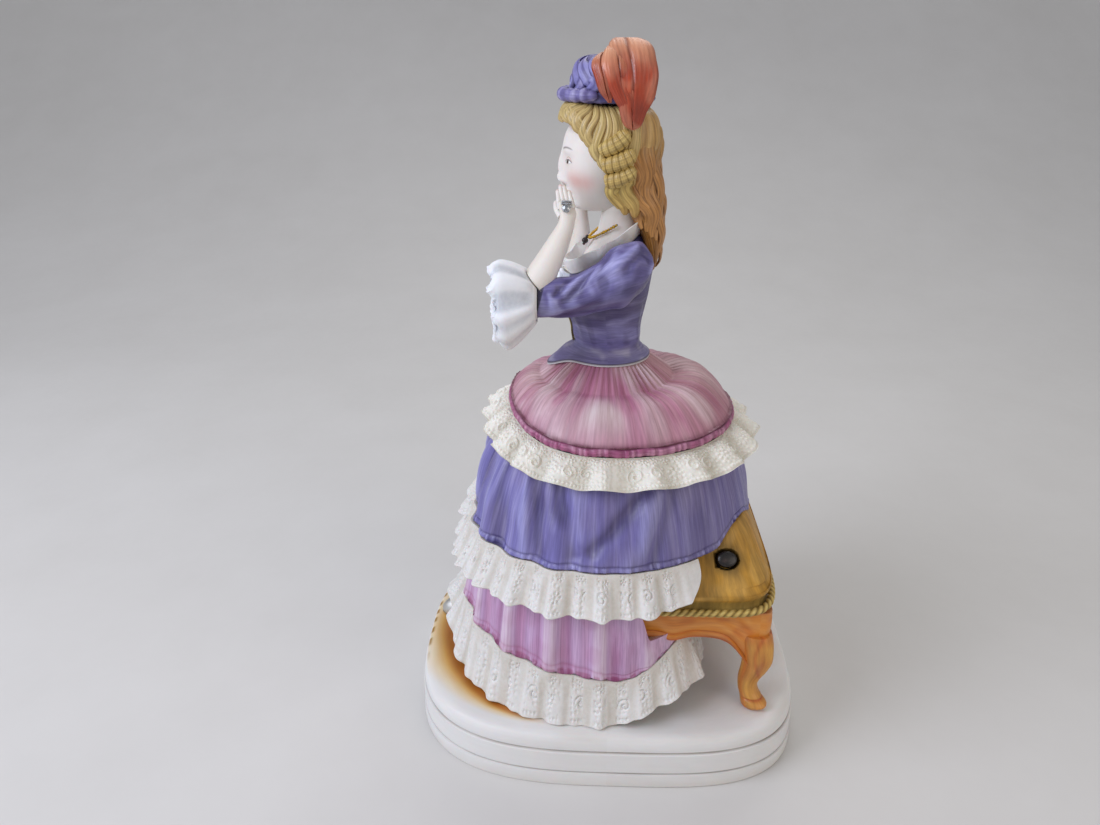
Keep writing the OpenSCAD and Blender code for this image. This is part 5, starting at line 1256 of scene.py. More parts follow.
def make_stomacher(s):
    """A panel on the bodice's front: a thin curved plate that narrows to a point, laced with dark
    dots."""
    rows = np.array(bodice_rows()[:5])
    r = spline(rows, 60)
    v = np.linspace(-1, 1, 25)
    f = even(60)[:, None]
    a = 270 + v[None] * (3 + 17 * f ** 0.8)
    y = r[:, :1] + (r[:, 2:3] + 0.75) * sind(a)
    z = WAIST_Z + r[:, 3:4] + r[:, 4:5] * y
    top = points((r[:, 1:2] + 0.75) * cosd(a), y, z)
    back = top * [0.97, 1, 1] + [0, 0.9, 0]
    P = np.concatenate([top, back[:, ::-1]], 1)
    V = np.concatenate([v, v[::-1]])[None]
    dots = peak(np.abs(V), 0.5, 0.13) * ease((np.cos(f * 2 * np.pi * 9) - 0.6) / 0.3)
    edge = ease((np.abs(V) - 0.86) / 0.1)
    c = paint(P, s.yellow, (0.8 * dots, "#4f4418"), (0.8 * edge, "#3a2c3e"),
              (0.3 * ease(lumps(P, 5, 105)), "#8f7a1e"))
    skin("Stomacher", [(P, c)], "torso", "stomacher", "yellow_glaze", "Satin china paint")


# Sleeves from shoulder to elbow: rows of where the ring's middle lies, and its half height.
SLEEVE_LEFT = [[19, 14.6, 40.4, 0.3], [19.6, 13.9, 40.4, 4.2], [20.5, 12, 40.4, 8],
               [21.5, 6.5, 40, 13.1], [22.6, -1, 38, 12.6], [24, -11, 34, 10.4],
               [25.2, -20, 31.8, 9], [26, -27, 31.5, 8.7], [26.2, -31.4, 31.5, 8.2]]
SLEEVE_RIGHT = [[19, 14.6, 39.5, 0.3], [19.6, 13.9, 39, 4], [20.5, 12, 38.6, 7.4],
                [21.5, 7.5, 36, 12], [23, 1.5, 31.5, 11.4], [24.4, -3.5, 27, 10.2],
                [25.4, -8, 23.5, 9], [25.8, -10.5, 22.4, 8.6], [26, -12, 22, 8.2]]


def make_sleeve(s, name, node, rows, side):
    """A sleeve: upright oval rings from the shoulder to the elbow, flat where they lie on the
    bodice, with short wrinkles drawn as ridges and valleys under the collar and at the bend."""
    n, m = 130, 96
    r = spline(rows, n)
    k = lap(m)[None]
    edge = size_of("sleeve_left")[0][0]
    lean = np.where(np.arange(n) > n - 4, 0, 0.25)[:, None]
    size = r[:, 3:4]
    P = points(r[:, :1] + size * 0.78 * cosd(k), r[:, 1:2] + size * lean * sind(k),
               WAIST_Z + r[:, 2:3] + size * 0.97 * sind(k))
    t = even(n)[:, None]
    P[..., 2] += 3.4 * peak(P[..., 1], -0.5, 8.5) * ease(sind(k) * 1.2) * ease((P[..., 0] - edge) / 3)
    free = ease((P[..., 0] - edge - 0.5) / 2.5)
    x, y = 62 * t, (k + 180) % 360 - 180
    y = y * 0.19
    lines = [(20, 11, 27, 5, 1.1, -0.9), (25, 13, 31, 6, 1.2, 0.7), (17, 8, 23, 13, 1.3, -0.7),
             (40, 12, 46, 1, 1.1, -0.9), (44, 11, 49, 3, 1.1, 0.7), (48, 12, 52, 4, 1.0, -0.7),
             (52, 9, 48, 0, 1.0, -0.5), (55, 4, 50, -4, 1.2, 0.5), (34, 15, 37, 9, 1.0, -0.6),
             (50, -12, 36, -6, 1.6, -0.6), (54, -8, 42, -3, 1.4, 0.5), (12, 9, 14, 3, 1.4, 0.5)]
    wrinkle = sum(w * fold(x, y, x0, y0, x1, y1, q) for x0, y0, x1, y1, q, w in lines)
    h = free * (wrinkle + 0.3 * lumps(P, 11, 107)) * ease((0.975 - t) / 0.04)
    P = push(P, h)
    P[..., 0] = np.maximum(P[..., 0], edge)
    P = P * [side, 1, 1]
    rim = ease((t - 0.968) / 0.012) * np.ones_like(k)
    shadow = ease((0.15 - sind(k)) / 0.7) * np.ones_like(t)
    light = ease(0.1 + lumps(P, 13, 108)) * ease((t - 0.25) / 0.3)
    # Painted highlight in patches towards the elbow and on the wrinkles' ridges; painted shade in
    # their valleys, along the underside, at the end inside the cuff, and where the sleeve lies on the
    # bodice.
    c = paint(P, "#625b92", (0.45 * light, s.violet_pale), (0.7 * ease(h * 1.6), s.violet_pale),
              (0.7 * ease(-h * 2), s.violet_dark), (0.5 * shadow, "#41375f"),
              (0.92 * rim, "#1f1733"), (0.75 * (1 - free), "#2a1f42"))
    skin(name, [(P, c)], "torso", node, "violet_glaze", "Satin china paint")


# Where each forearm leaves its cuff: a point on that face, and its direction.
LEFT_FACE = (np.array([26, -30, 35.0]), unit(np.array([0, 0.737, 0.676])))
RIGHT_FACE = (np.array([26, -17, 28.5]), unit(np.array([0, 0.3, 0.954])))


def make_cuff(s, name, node, rows, face, side, seed):
    """A bell of lace below the elbow: upright oval rings, cut on a slant where the forearm comes
    out; a lumpy ruffled rim with flutes and small flowers, and a smooth fold under it."""
    n, m = 120, 150
    r = spline(rows, n)
    k = lap(m)[None]
    t = even(n)[:, None]
    lean = np.where(r[:, 3:4] > 9, 0.12, 0) * r[:, 4:5] * sind(k)
    P = points(r[:, :1] + r[:, 3:4] * cosd(k), r[:, 1:2] - lean, r[:, 2:3] + r[:, 4:5] * sind(k))
    over = np.maximum(0, (P - face[0]) @ face[1])
    cut = ease(over / 0.6)
    P = P - over[..., None] * face[1]
    rim = ease((t - 0.5) / 0.2)
    upper = ease((sind(k) + 0.35) / 0.5)
    flute = np.cos(np.radians(9 * k) + 1.6 * pleats(k, 3, seed))
    flute = flute * ease((0.85 - t) / 0.3) * (0.35 + 0.65 * upper)
    lump = lumps(P, 7.5, seed + 1)
    along = np.radians(k) * 16 + 0 * t
    flower = lace_relief(along + 200, 0.25 + 0.6 * np.clip((t - 0.3) / 0.6, 0, 1), 20, seed + 2, 6.5)
    lower = ease((-sind(k) - 0.25) / 0.5) * ease((0.8 - t) / 0.2)
    h = 1.0 * flute * ease(t / 0.15) + rim * (0.8 * lump + 0.9 * flower) * (1 - 0.8 * lower)
    P = push(P, h * ease(t / 0.06) * (1 - cut))
    P = (P + [0, 0, WAIST_Z]) * [side, 1, 1]
    grey = ease(0.3 - h * 0.9)
    # Painted shade: grey in the hollows of the relief, and the bisque shade colour on the underside,
    # next to the sleeve and over the slanted cut where the forearm comes out.
    c = paint(P, "#eceef2", (0.55 * grey, "#a5aab4"), (0.25 * lower, s.shade),
              (0.35 * ease((0.1 - t) / 0.1), s.shade), (0.3 * cut, s.shade))
    skin(name, [(P, c)], "torso", node, "white_lace", "Slip-dipped porcelain lace")


# Cuffs and forearms: rows of where the ring's middle lies, and its half width and half height.
CUFF_LEFT = [[26.2, -31.8, 31.5, 8.4, 8.4], [26.8, -36, 30.9, 10.6, 12.4],
             [27.4, -41, 29.7, 11.6, 16.2], [27.8, -45.5, 28.5, 11.8, 18.2],
             [28, -48.4, 27.9, 9.8, 15.6], [28, -49.6, 27.9, 6, 10.5], [28, -49.7, 27.9, 2, 4]]
CUFF_RIGHT = [[26, -12.4, 22, 8.4, 8.4], [26.5, -15.5, 21.6, 8.9, 9.6], [27, -19, 21.2, 10.2, 10.6],
              [27.2, -22.4, 21, 10, 10.2], [27.2, -24, 21, 8.6, 8], [27.2, -24.5, 21, 4, 4]]
ARM_LEFT = [[26.2, -34, 34.6, 6.0, 6.2], [25.2, -31.2, 39.5, 5.9, 6.1], [24, -27.5, 46, 5.3, 5.4],
            [22.4, -23.6, 53.4, 4.2, 4.4], [20.8, -20.8, 59.5, 3.0, 3.3],
            [19.6, -20.1, 62.8, 2.7, 3.3], [18.2, -20.1, 65.4, 2.3, 3.9],
            [16.6, -20.6, 68, 1.7, 3.6]]
ARM_RIGHT = [[26, -17.4, 29, 5.8, 5.4], [25, -16.4, 34, 5.8, 5.4], [23.4, -15.2, 41, 5.1, 4.9],
             [21, -14.2, 49.5, 4.1, 3.9], [18, -14.6, 56, 3.1, 3.4], [16.7, -15.2, 61.5, 2.7, 3.2],
             [15.2, -16.9, 65.5, 2.3, 3.9], [13.6, -18.9, 69, 1.7, 3.7]]


def make_arm(s, name, node, rows, face, side, tips):
    """A bare forearm and hand: oval rings up to the palm, then four fingers and a thumb, each a
    tapered tube along a bent path that ends at the mouth."""
    across, up = np.array([1, 0, 0]), unit(np.array([0, 0.9, -0.42]))
    P = loft([[x, y, z + WAIST_Z, w, d] for x, y, z, w, d in rows], 90, 40, across, up)
    base = face[0] + [0, 0, WAIST_Z] + CAST_GAP * face[1]
    under = np.maximum(0, (base - P) @ face[1])
    P = P + under[..., None] * face[1]
    last = np.array(rows[-1][:3]) + [0, 0, WAIST_Z]
    ahead = unit(last - (np.array(rows[-3][:3]) + [0, 0, WAIST_Z]))
    wash = ease(0.2 + 0.7 * lumps(P, 22, 109)) * 0.25
    c = paint(P, s.skin, (wash, s.shade),
              (0.25 * ease(-sind(lap(40))), "#c9b48c"))
    parts = [(P * [side, 1, 1], c)]
    wide = unit(np.cross(ahead, across))
    wide = wide * (1 if wide[1] > 0 else -1)
    for i, long in enumerate((0.8, 1.0, 0.95, 0.72)):
        off = (i - 1.5) * 1.75
        root = last + wide * off - ahead * 2.2
        tip = np.array(tips) + [0, 0, WAIST_Z] + wide * off * 0.75
        tip = mix(root, tip, long)
        knuckle = mix(root, tip, 0.45) + across * 0.9
        path = spline([root, mix(root, knuckle, 0.6), knuckle,
                       mix(knuckle, tip, 0.6) + across * 0.25, tip], 26)
        f = even(26)
        thin = 1.12 * (1 - 0.22 * f) * np.sqrt(np.clip((1.02 - f) / 0.1, 0, 1))
        thin = thin * (1 + 0.07 * peak(f, 0.5, 0.08))
        F = tube(path, np.maximum(thin, 0.12), 16)
        nail = ease((f - 0.84) / 0.08)[:, None] * np.ones(16)
        parts.append((F * [side, 1, 1], paint(F, s.skin, (0.3 * nail, s.blush))))
    root = last - ahead * 5.5 - wide * 2.6 - across * 0.6
    tip = root + ahead * 6.2 - wide * 1.6 - across * 2.4
    path = spline([root, mix(root, tip, 0.5) - wide * 0.7, tip], 20)
    f = even(20)
    thin = 1.35 * (1 - 0.2 * f) * np.sqrt(np.clip((1.02 - f) / 0.12, 0, 1))
    T = tube(path, np.maximum(thin, 0.12), 16)
    parts.append((T * [side, 1, 1], paint(T, s.skin)))
    skin(name, parts, "torso", node, "bisque", "Biscuit porcelain")


def make_collar(s):
    """A standing collar: a thin wall around the neckline, faceted like folded linen, that flares to
    a point behind each shoulder."""
    n = 480
    a = lap(n)
    seg = even(14)
    facet = np.abs(((a * 11 / 360 + 0.12 * sind(5 * a)) % 1) - 0.5) * 2
    back = bump(a, 62, 11) + bump(a, 118, 11)
    h = 6.6 - 0.4 * sind(a) + 1.0 * facet + 2.6 * back
    lean = 2.6 + 1.3 * facet + 3.4 * back

    def line(q, z):
        d = np.where(sind(a) < 0, 14.1, 14.8)
        y = (d + q) * sind(a) - 4.3
        return points((15.1 + q) * cosd(a), y, WAIST_Z + NECKLINE + NECK_SLOPE * y + z)

    outer = [line(0.9 + lean * t ** 1.2 * 0.9 + 0.5 * np.sin(np.pi * t), 0.4 + h * t) for t in seg]
    inner = [line(-0.2 + lean * t ** 1.2 * 0.9, 0.5 + (h - 0.1) * t) for t in seg[::-1]]
    P = np.stack(outer + inner).transpose(1, 0, 2)
    hollow = np.broadcast_to((1 - facet)[:, None], P.shape[:2])
    t = np.concatenate([seg, seg[::-1]])[None]
    # Painted shade in the valleys of the folds, deeper towards the top, and a dark band at the foot
    # of the outer face against the bodice.
    c = paint(P, "#eeedeb", (0.3 * hollow * t, "#c2c3c8"),
              (0.75 * ease((0.09 - t) / 0.06) * (np.arange(28)[None] < 14), "#2a2038"),
              (0.25 * ease(lumps(P, 6, 110)), s.shade))
    skin("Collar", [(P, c, 0.0, True)], "torso", "collar", "white_lace", "Biscuit porcelain", 30)


def make_bust(s):
    """Chest and neck: sloping oval rings that narrow to the throat."""
    rows = [[-4, 13, 13.4, 22.8, 0], [-3.6, 14, 14.7, 29, 0], [-2.6, 14.2, 14.4, 37, 0.31],
            [-3.5, 13.4, 12, 46.7, NECK_SLOPE], [-2.2, 12.0, 11, 50, 0.45],
            [-0.4, 9.6, 9.4, 53.2, 0.36], [0.5, 7.9, 8.3, 56, 0.3], [0.9, 6.8, 7.6, 59, 0.15],
            [1.2, 6.4, 7.2, 63, 0], [1.8, 5.6, 6.6, 67, 0]]
    r = spline(rows, 110)
    a = lap(96)[None]
    y = r[:, :1] + r[:, 2:3] * sind(a)
    P = points(r[:, 1:2] * cosd(a), y, WAIST_Z + r[:, 3:4] + r[:, 4:5] * y)
    side = np.abs(P[..., 0])
    up = r[:, 3:4] + 0 * a
    notch = hill(side, up - 52.5, 1.6, 1.4) * (sind(a) < 0)
    bone = peak(up - 51.6, 0.12 * side, 0.7) * ease((side - 1.5) / 2) * ease((9 - side) / 3)
    bone = bone * (sind(a) < 0)
    P = push(P, 0.4 * bone - 0.6 * notch)
    # Painted shade in the hollow of the throat and over the top of the neck under the chin.
    c = paint(P, s.skin, (0.3 * notch, s.shade), (0.2 * ease((60 - up) / -3), s.shade),
              (0.15 * ease(lumps(P, 18, 111)), s.blush))
    skin("Bust", [(P, c)], "torso", "bust", "bisque", "Biscuit porcelain")


# ---- Head

def swell(d, at, width):
    """A round swelling of height 1 about a direction."""
    return peak(np.linalg.norm(d - np.asarray(at), axis=-1), 0, width)


def head_r(d):
    """Reach of the head from its middle in direction d: an egg, with the chin filled out."""
    w = size_of("head")[1][0]
    k = 1 + 0.45 * np.minimum(0, d[..., 2]) ** 2
    z = d[..., 2] / np.where(d[..., 2] > 0, 19.5, 22.5)
    y = d[..., 1] / np.where(d[..., 1] < 0, 18.2, 17)
    r = 1 / np.sqrt((d[..., 0] * k / w) ** 2 + y ** 2 + z ** 2)
    return r + 1.9 * swell(d, [0, -0.5, -0.87], 0.32) + 1.3 * swell(d, [0, -0.84, 0.54], 0.42)


def hair_r(d):
    """Reach of the hair: a fuller, squarer egg over the head."""
    w = size_of("head")[1][0] + 3
    p = 2 + 2.2 * ease(3 * d[..., 2])
    e = ((np.abs(d[..., 0]) / w) ** p + (np.abs(d[..., 1]) / np.where(d[..., 1] < 0, 20, 21.5)) ** p
         + (np.abs(d[..., 2]) / np.where(d[..., 2] > 0, 21.3, 34)) ** p)
    return np.maximum(head_r(d) + 1.2, e ** (-1 / p))


# Each feature: how far it comes forward, then its side and height from the head's middle, and
# its width and height. The rules are a drawing book's: eyes halfway up, nose over lips over chin.
FEATURES = [(0.45, 5.6, 3.0, 3.0, 1.1), (-1.5, 6.1, -1.0, 2.7, 1.9), (1.15, 6.2, -1.5, 1.8, 1.15),
            (0.8, 8.6, -8.0, 3.4, 3.4), (1.2, 1.9, -9.7, 0.95, 0.8), (-0.5, 2.6, -15.0, 0.9, 1.2)]
CENTRE = [(1.2, -0.8, 1.35, 2.4), (2.0, -4.8, 1.5, 2.5), (2.6, -8.4, 1.7, 1.4), (0.8, -9.8, 1.2, 0.6),
          (0.9, -13.2, 2.5, 0.75), (-0.5, -14.35, 2.8, 0.32), (1.0, -15.5, 2.0, 0.75),
          (-0.5, -17.6, 2.6, 0.9), (2.3, -20.3, 3.6, 2.2), (0.9, -15.0, 6.4, 5.0)]


def make_head(s):
    """The head: rings around an egg with its features as rounded hills pushed forward; the rings
    crowd towards the face. Eyes, brows, blush and lips are painted over them."""
    n, m = 250, 300
    e = np.linspace(-84, 80, n)[:, None]
    v = np.linspace(-1, 1, m, endpoint=False)
    a = (270 + 180 * (0.42 * v + 0.58 * v ** 3))[None]
    d = towards(e, a)
    P = head_r(d)[..., None] * d
    x, z = P[..., 0], P[..., 2]
    front = ease((-d[..., 1] - 0.15) / 0.35)
    ahead = sum(f * hill(np.abs(x) - fx, z - fz, w, h) for f, fx, fz, w, h in FEATURES)
    ahead = ahead + sum(f * hill(x, z - fz, w, h) for f, fz, w, h in CENTRE)
    P[..., 1] -= ahead * front
    jaw = swell(d, [0.62, -0.3, -0.72], 0.25) + swell(d, [-0.62, -0.3, -0.72], 0.25)
    P = P * (1 + 0.025 * jaw[..., None])
    P[..., 2] = np.maximum(P[..., 2], NECK_AT)
    ax = np.abs(x)
    ex, ez = ax - 6.2, z + 1.5
    lid = 1 - (ex / 2.5) ** 2
    top, low = 1.0 * lid, -0.62 * lid
    soft = 0.16
    white = ease((top - ez) / soft) * ease((ez - low) / soft) * (lid > 0)
    iris = ease((0.98 - np.hypot(ex + 0.15, ez - 0.1)) / 0.15) * white
    pupil = ease((0.5 - np.hypot(ex + 0.15, ez - 0.1)) / 0.15) * white
    lash = peak(ez, top, 0.2) * ease((2.7 - np.abs(ex)) / 0.4)
    lash = lash + 0.35 * peak(ez, low, 0.14) * ease((2.3 - np.abs(ex)) / 0.6)
    crease = peak(ez - 1.75 * np.maximum(lid, 0.1), 0.25, 0.2) * ease((2.6 - np.abs(ex)) / 0.5)
    brow_at = 3.9 + 0.9 * (1 - ((ax - 6.4) / 3.6) ** 2)
    brow = peak(z - brow_at, -0.6, 0.34 - 0.05 * (ax - 6))
    brow = brow * ease((ax - 2.9) / 1) * ease((9.8 - ax) / 1.4)
    cheek = hill(ax - 9.6, z + 8.6, 3.1, 2.9)
    bow = 0.25 * peak(ax, 0.8, 0.55) - 0.14 * ax ** 2
    lips = ease((-13.15 + bow - z) / 0.18) * ease((z + 15.95 - 0.22 * ax ** 2) / 0.18)
    lips = lips * ease((2.85 - ax) / 0.15)
    parting = peak(z, -14.35, 0.12) * ease((2.9 - ax) / 0.4)
    nostril = hill(ax - 1.5, z + 10.5, 0.5, 0.32)
    c = paint(P, s.skin, (0.55 * cheek * front, s.blush),
              (0.2 * hill(ax - 5.5, z + 1, 2.6, 2.2) * front, "#c9a08e"),
              (0.92 * front * white, "#f1efec"), (front * iris, "#5a4632"),
              (front * pupil, s.lash), (0.6 * crease * front, "#b0735e"),
              (0.95 * np.clip(lash, 0, 1) * front, s.lash), (0.75 * brow * front, "#4a3426"),
              (0.85 * front * lips, s.lip), (0.7 * front * parting, "#6d1d1c"),
              (0.5 * front * nostril, "#a4604f"))
    skin("Head", [(P + HEAD_AT, c)], "torso", "head", "bisque", "Biscuit porcelain", 70)


def from_crown(phi, psi):
    """Direction at an angle phi down from the crown, and psi around the upright; 270 is ahead."""
    return points(sind(phi) * cosd(psi), sind(phi) * sind(psi), cosd(phi))


def hairline(psi):
    """How far down from the crown the hair reaches: high on the brow, low behind the ears."""
    return np.interp(np.abs((psi + 90 + 180) % 360 - 180), [0, 25, 45, 55, 65, 72, 80, 95, 110, 180],
                     [52, 53, 55, 58, 66, 75, 90, 108, 120, 126])


def lock(path, off, width, flat, lines, seed, tip=0.3):
    """A lock of hair, a leaf or a barbed lobe: oval rings along a path, wide across it and thin off
    the surface, tapered at both ends, with fine lines cut along it. Returns its points, 0 to 1
    masks of its lines and of its edges, and the way along it."""
    n, m = len(path), 40
    t = unit(np.gradient(path, axis=0))
    across = unit(np.cross(off, t))
    up = np.cross(t, across)
    k = lap(m)[None]
    f = even(n)[:, None]
    body = np.sqrt(np.clip(np.minimum((f + 0.02) / 0.12, (1.02 - f) / tip), 0.02, 1))
    rng = np.random.default_rng(seed)
    x = cosd(k) + 0.12 * np.sin(5 * f + rng.uniform(0, 6))
    line = (0.5 - 0.5 * np.cos(2 * np.pi * lines * x + rng.uniform(0, 6))) ** 4
    w = np.reshape(width, (-1, 1)) * body
    high = flat * w * sind(k) * (1 - 0.12 * line)
    P = path[:, None] + (w * cosd(k))[..., None] * across[:, None] + high[..., None] * up[:, None]
    return P, line, ease((np.abs(cosd(k)) - 0.72) / 0.25) + 0 * f, f + 0 * k


def make_hair(s):
    """The fringe and cap of hair: rings run down from the crown to the hairline and return inside;
    broad locks leave the hat, swing back in S curves and end in lobes along the hairline."""
    n, m = 90, 360
    psi = lap(m)[None]
    f = np.linspace(0.03, 1, n)[:, None]
    phi = (hairline(psi) - 2) * f
    d = from_crown(phi, psi)
    fine = crest(np.cos(np.radians(34 * psi) + 9 * f), 1.6)
    outer = (hair_r(d) - 0.5 - 0.3 * (1 - fine))[..., None] * d
    skull = (head_r(d) + 0.4)[..., None] * d
    P = np.concatenate([outer, skull[::-6]]) + HEAD_AT
    # Painted shade between the fine strands, and the inner face under the hair painted in the hair
    # shade colour.
    c = paint(outer, s.hair, (0.6 * (1 - fine), s.hair_dark),
              (0.5 * ease(sind(psi) + 0.3) * np.ones_like(f), s.hair_back))
    c = np.concatenate([c, paint(skull[::-6], s.hair_dark)])
    parts = [(P, c, 0.0, True)]
    f = even(60)
    rng = np.random.default_rng(121)
    for layer in (0, 1):
        for i in range(15 - layer):
            for side in (1, -1):
                end = 268 + 9 * (i + 0.5 * layer) + rng.uniform(-1.5, 1.5)
                start = end - 13 * ease((end - 272) / 30)
                swing = (4.5 + 2 * layer) * np.sin(2 * np.pi * f) * ease((end - 268) / 25)
                down = mix(33, hairline(end) + rng.uniform(-1.5, 2.5) - 5 * layer, f)
                d = from_crown(down, mix(start, end, f) + swing)
                puff = (0.7 + 0.5 * bump(end, 270, 30)) * np.sin(np.pi * np.clip(f, 0, 1)) ** 0.6
                path = (hair_r(d) + puff - 0.7 * f ** 6 + 0.3 * layer)[:, None] * d
                width = np.interp(f, [0, 0.35, 0.75, 1], [1.3, 1.8, 2.3, 2.0])
                width = width * rng.uniform(0.85, 1.1)
                L, line, edge, t = lock(path, d, width, 0.6, 1.6, 1210 + i + 40 * layer, 0.16)
                L = L + HEAD_AT
                tone = rng.uniform(0, 1)
                # Painted shade in the lines along each lock and along its edges.
                c = paint(L, s.hair, (0.5 * tone, "#cdb978"), (0.55 * line, s.hair_dark),
                          (0.85 * edge, "#8a6733"), (0.25 * t ** 3, "#a98a62"))
                parts.append((L * [side, 1, 1], c))
    skin("Hair", parts, "torso", "hair", "hair_glaze", "Satin hair glaze", 60)


# Each curl: the middle of its open front end and of its rear end, beside the head, and its size.
CURLS = [((19.4, -3.0, 4.4), (21.0, 7.4, 12.0), 3.4), ((20.0, -2.0, -1.2), (21.2, 10.2, 4.4), 3.5),
         ((19.4, -0.8, -7.2), (20.6, 10.4, -2.0), 3.4)]
FALLS = [((16.8, 3.6, -8.0), (15.0, 3.0, -13.5), (13.8, 7.2, -21.0)),
         ((17.4, 8.4, -5.0), (16.6, 7.2, -12.5), (15.4, 11.0, -21.8))]


def make_ringlets(s):
    """Sausage curls at the temples: each a tube wound with shallow grooves whose front end is a
    hollow, rolled edge; two slack locks fall under them to the collar."""
    parts = []
    for i, (a, b, size) in enumerate(CURLS):
        t = even(110)[:, None]
        path = spline([a, mix(np.array(a), np.array(b), 0.5) + [1.1, 0.5, -0.6], b], 110)
        r = size * (0.84 + 0.16 * np.sin(np.pi * t ** 0.8))
        r = r * np.sqrt(np.clip((1.03 - t) / 0.2, 0.05, 1))
        m = 36
        winding = np.radians(lap(m)[None]) - 2 * np.pi * t * 5.5 + 0.6 * np.sin(5 * t)
        wind, fine = crest(np.cos(winding), 3.5), crest(np.cos(3 * winding), 1.6)
        T = tube(path, 1.0, m)
        centre = T.mean(1, keepdims=True)
        T = fatten(T, r - 0.34 * (1 - wind) - 0.12 * (1 - fine))
        step = unit(path[1] - path[0])
        cup = [centre[:1] + (T[:1] - centre[:1]) * q + step * e
               for q, e in ((0.3, 3.0), (0.5, 1.8), (0.68, 0.6), (0.84, -0.2), (0.95, -0.2))]
        R = np.concatenate(cup + [T]) + HEAD_AT
        inside = np.array([1.0, 1.0, 0.8, 0.1, 0.1])[:, None] * np.ones(m)
        gap = np.concatenate([inside, 1 - wind])
        glint = np.concatenate([np.zeros((5, m)), ease((fine - 0.75) / 0.25)])
        # Painted shade inside each curl's open end and in its grooves; a painted highlight on the
        # crests of the fine strands.
        c = paint(R, "#b99c58", (0.4 * ease(lumps(R, 8, 131 + i)), "#cfb872"),
                  (0.55 * gap, s.hair_dark), (0.25 * glint, "#ddc987"))
        parts.append((R, c))
    for i, rows in enumerate(FALLS):
        a, b, c = np.array(rows)
        path = spline([a, mix(a, b, 0.5) + [0.4, -1.6, 0], b, mix(b, c, 0.5) + [0, 1.4, 0], c], 70)
        L, line, edge, t = lock(path, np.array([1.0, -0.25, 0]), 3.4 - 0.5 * even(70), 0.75, 1.4,
                                135 + i, 0.3)
        # Painted shade in the lines along each falling lock and along its edges.
        c = paint(L, "#c2a85f", (0.6 * line, s.hair_dark), (0.6 * edge, s.hair_dark),
                  (0.5 * t ** 2, s.hair_back))
        parts.append((L + HEAD_AT, c))
    both = parts + [(P * [-1, 1, 1], c) for P, c in parts]
    skin("Ringlets", both, "torso", "ringlets", "hair_glaze", "Satin hair glaze", 60)


# The long hair: height beside the head, then its front, its back and its half width there.
TAIL_END = HEAD_AT[2] - 47.35
TAIL = [[-47.2, 17.2, 18.8, 3.5], [-45.4, 16.9, 20.4, 8.8], [-42, 16.8, 21.6, 11.8],
        [-37, 16.2, 22.2, 13.8], [-30, 13.6, 22.4, 15.2], [-23, 9.5, 22.6, 15.6],
        [-16, 6, 22.4, 15.6], [-9, 4, 21.0, 15.4], [-2, 2, 19.8, 15.8], [6, 2, 20.2, 16.0],
        [12, 2, 19.4, 14.4], [15, 4, 17.0, 11.5], [16.5, 6, 12, 6]]


def oval_of(z, front, back, wide, k):
    """Points at angle k around a squared oval that reaches from front to back."""
    return points(wide * power(cosd(k), 0.8), mix(front, back, 0.5 + 0.5 * power(sind(k), 0.8)), z)


def tail_at(z, k):
    """Points on the long hair's outline at a height and an angle around it."""
    rows = np.array(TAIL)
    return oval_of(z, *(np.interp(z, rows[:, 0], rows[:, q]) for q in (1, 2, 3)), k)


def make_back_hair(s):
    """Long hair down the back: flattened rings from the crown to a point, under wavy locks that
    cross and scallop its outline."""
    n, m = 150, 140
    r = spline(TAIL, n)
    k = lap(m)[None]
    P = oval_of(r[:, :1], r[:, 1:2], r[:, 2:3], r[:, 3:4], k)
    fine = crest(np.cos(np.radians(30 * k) + r[:, :1] / 3), 1.6)
    P = push(P, -0.3 * (1 - fine)) + HEAD_AT
    P[..., 2] = np.maximum(P[..., 2], TAIL_END)
    # Painted shade between the strands.
    parts = [(P, paint(P, "#8f6128", (0.5 * (1 - fine), "#6b4417")))]
    f = even(120)
    rng = np.random.default_rng(141)
    for i in range(17):
        k0 = mix(-34, 214, i / 16) + rng.uniform(-3, 3)
        low = mix(-25, -45.5, peak(k0, 90, 62)) + rng.uniform(-1.5, 1.5)
        z = mix(14.5, low, f)
        phase = rng.uniform(0, 6.28)
        sway = 8.5 * np.sin(2 * np.pi * f * 2.6 + phase) * (0.4 + 0.6 * f)
        path = tail_at(z, k0 + sway)
        off = unit(points(cosd(k0 + sway), sind(k0 + sway), 0))
        path = path + off * (0.35 + 0.75 * np.sin(2 * np.pi * f * 2.6 + phase + 1.2))[:, None]
        width = rng.uniform(2.5, 3.3) * (1 - 0.25 * f)
        L, line, edge, t = lock(path, off, width, 0.5, 1.7, 1410 + i, 0.2)
        L = L + HEAD_AT
        L[..., 2] = np.maximum(L[..., 2], TAIL_END)
        # Painted shade in the lines along each lock and along its edges.
        c = paint(L, s.hair_back, (0.4 * rng.uniform(0, 1), "#c08d52"), (0.6 * line, "#7b5020"),
                  (0.85 * edge, "#6f4619"), (0.45 * ease((0.35 - t) / 0.3), "#b39a55"))
        parts.append((L, c))
    skin("Back_hair", parts, "torso", "back_hair", "hair_glaze", "Satin hair glaze", 60)


# ---- Hat and feather

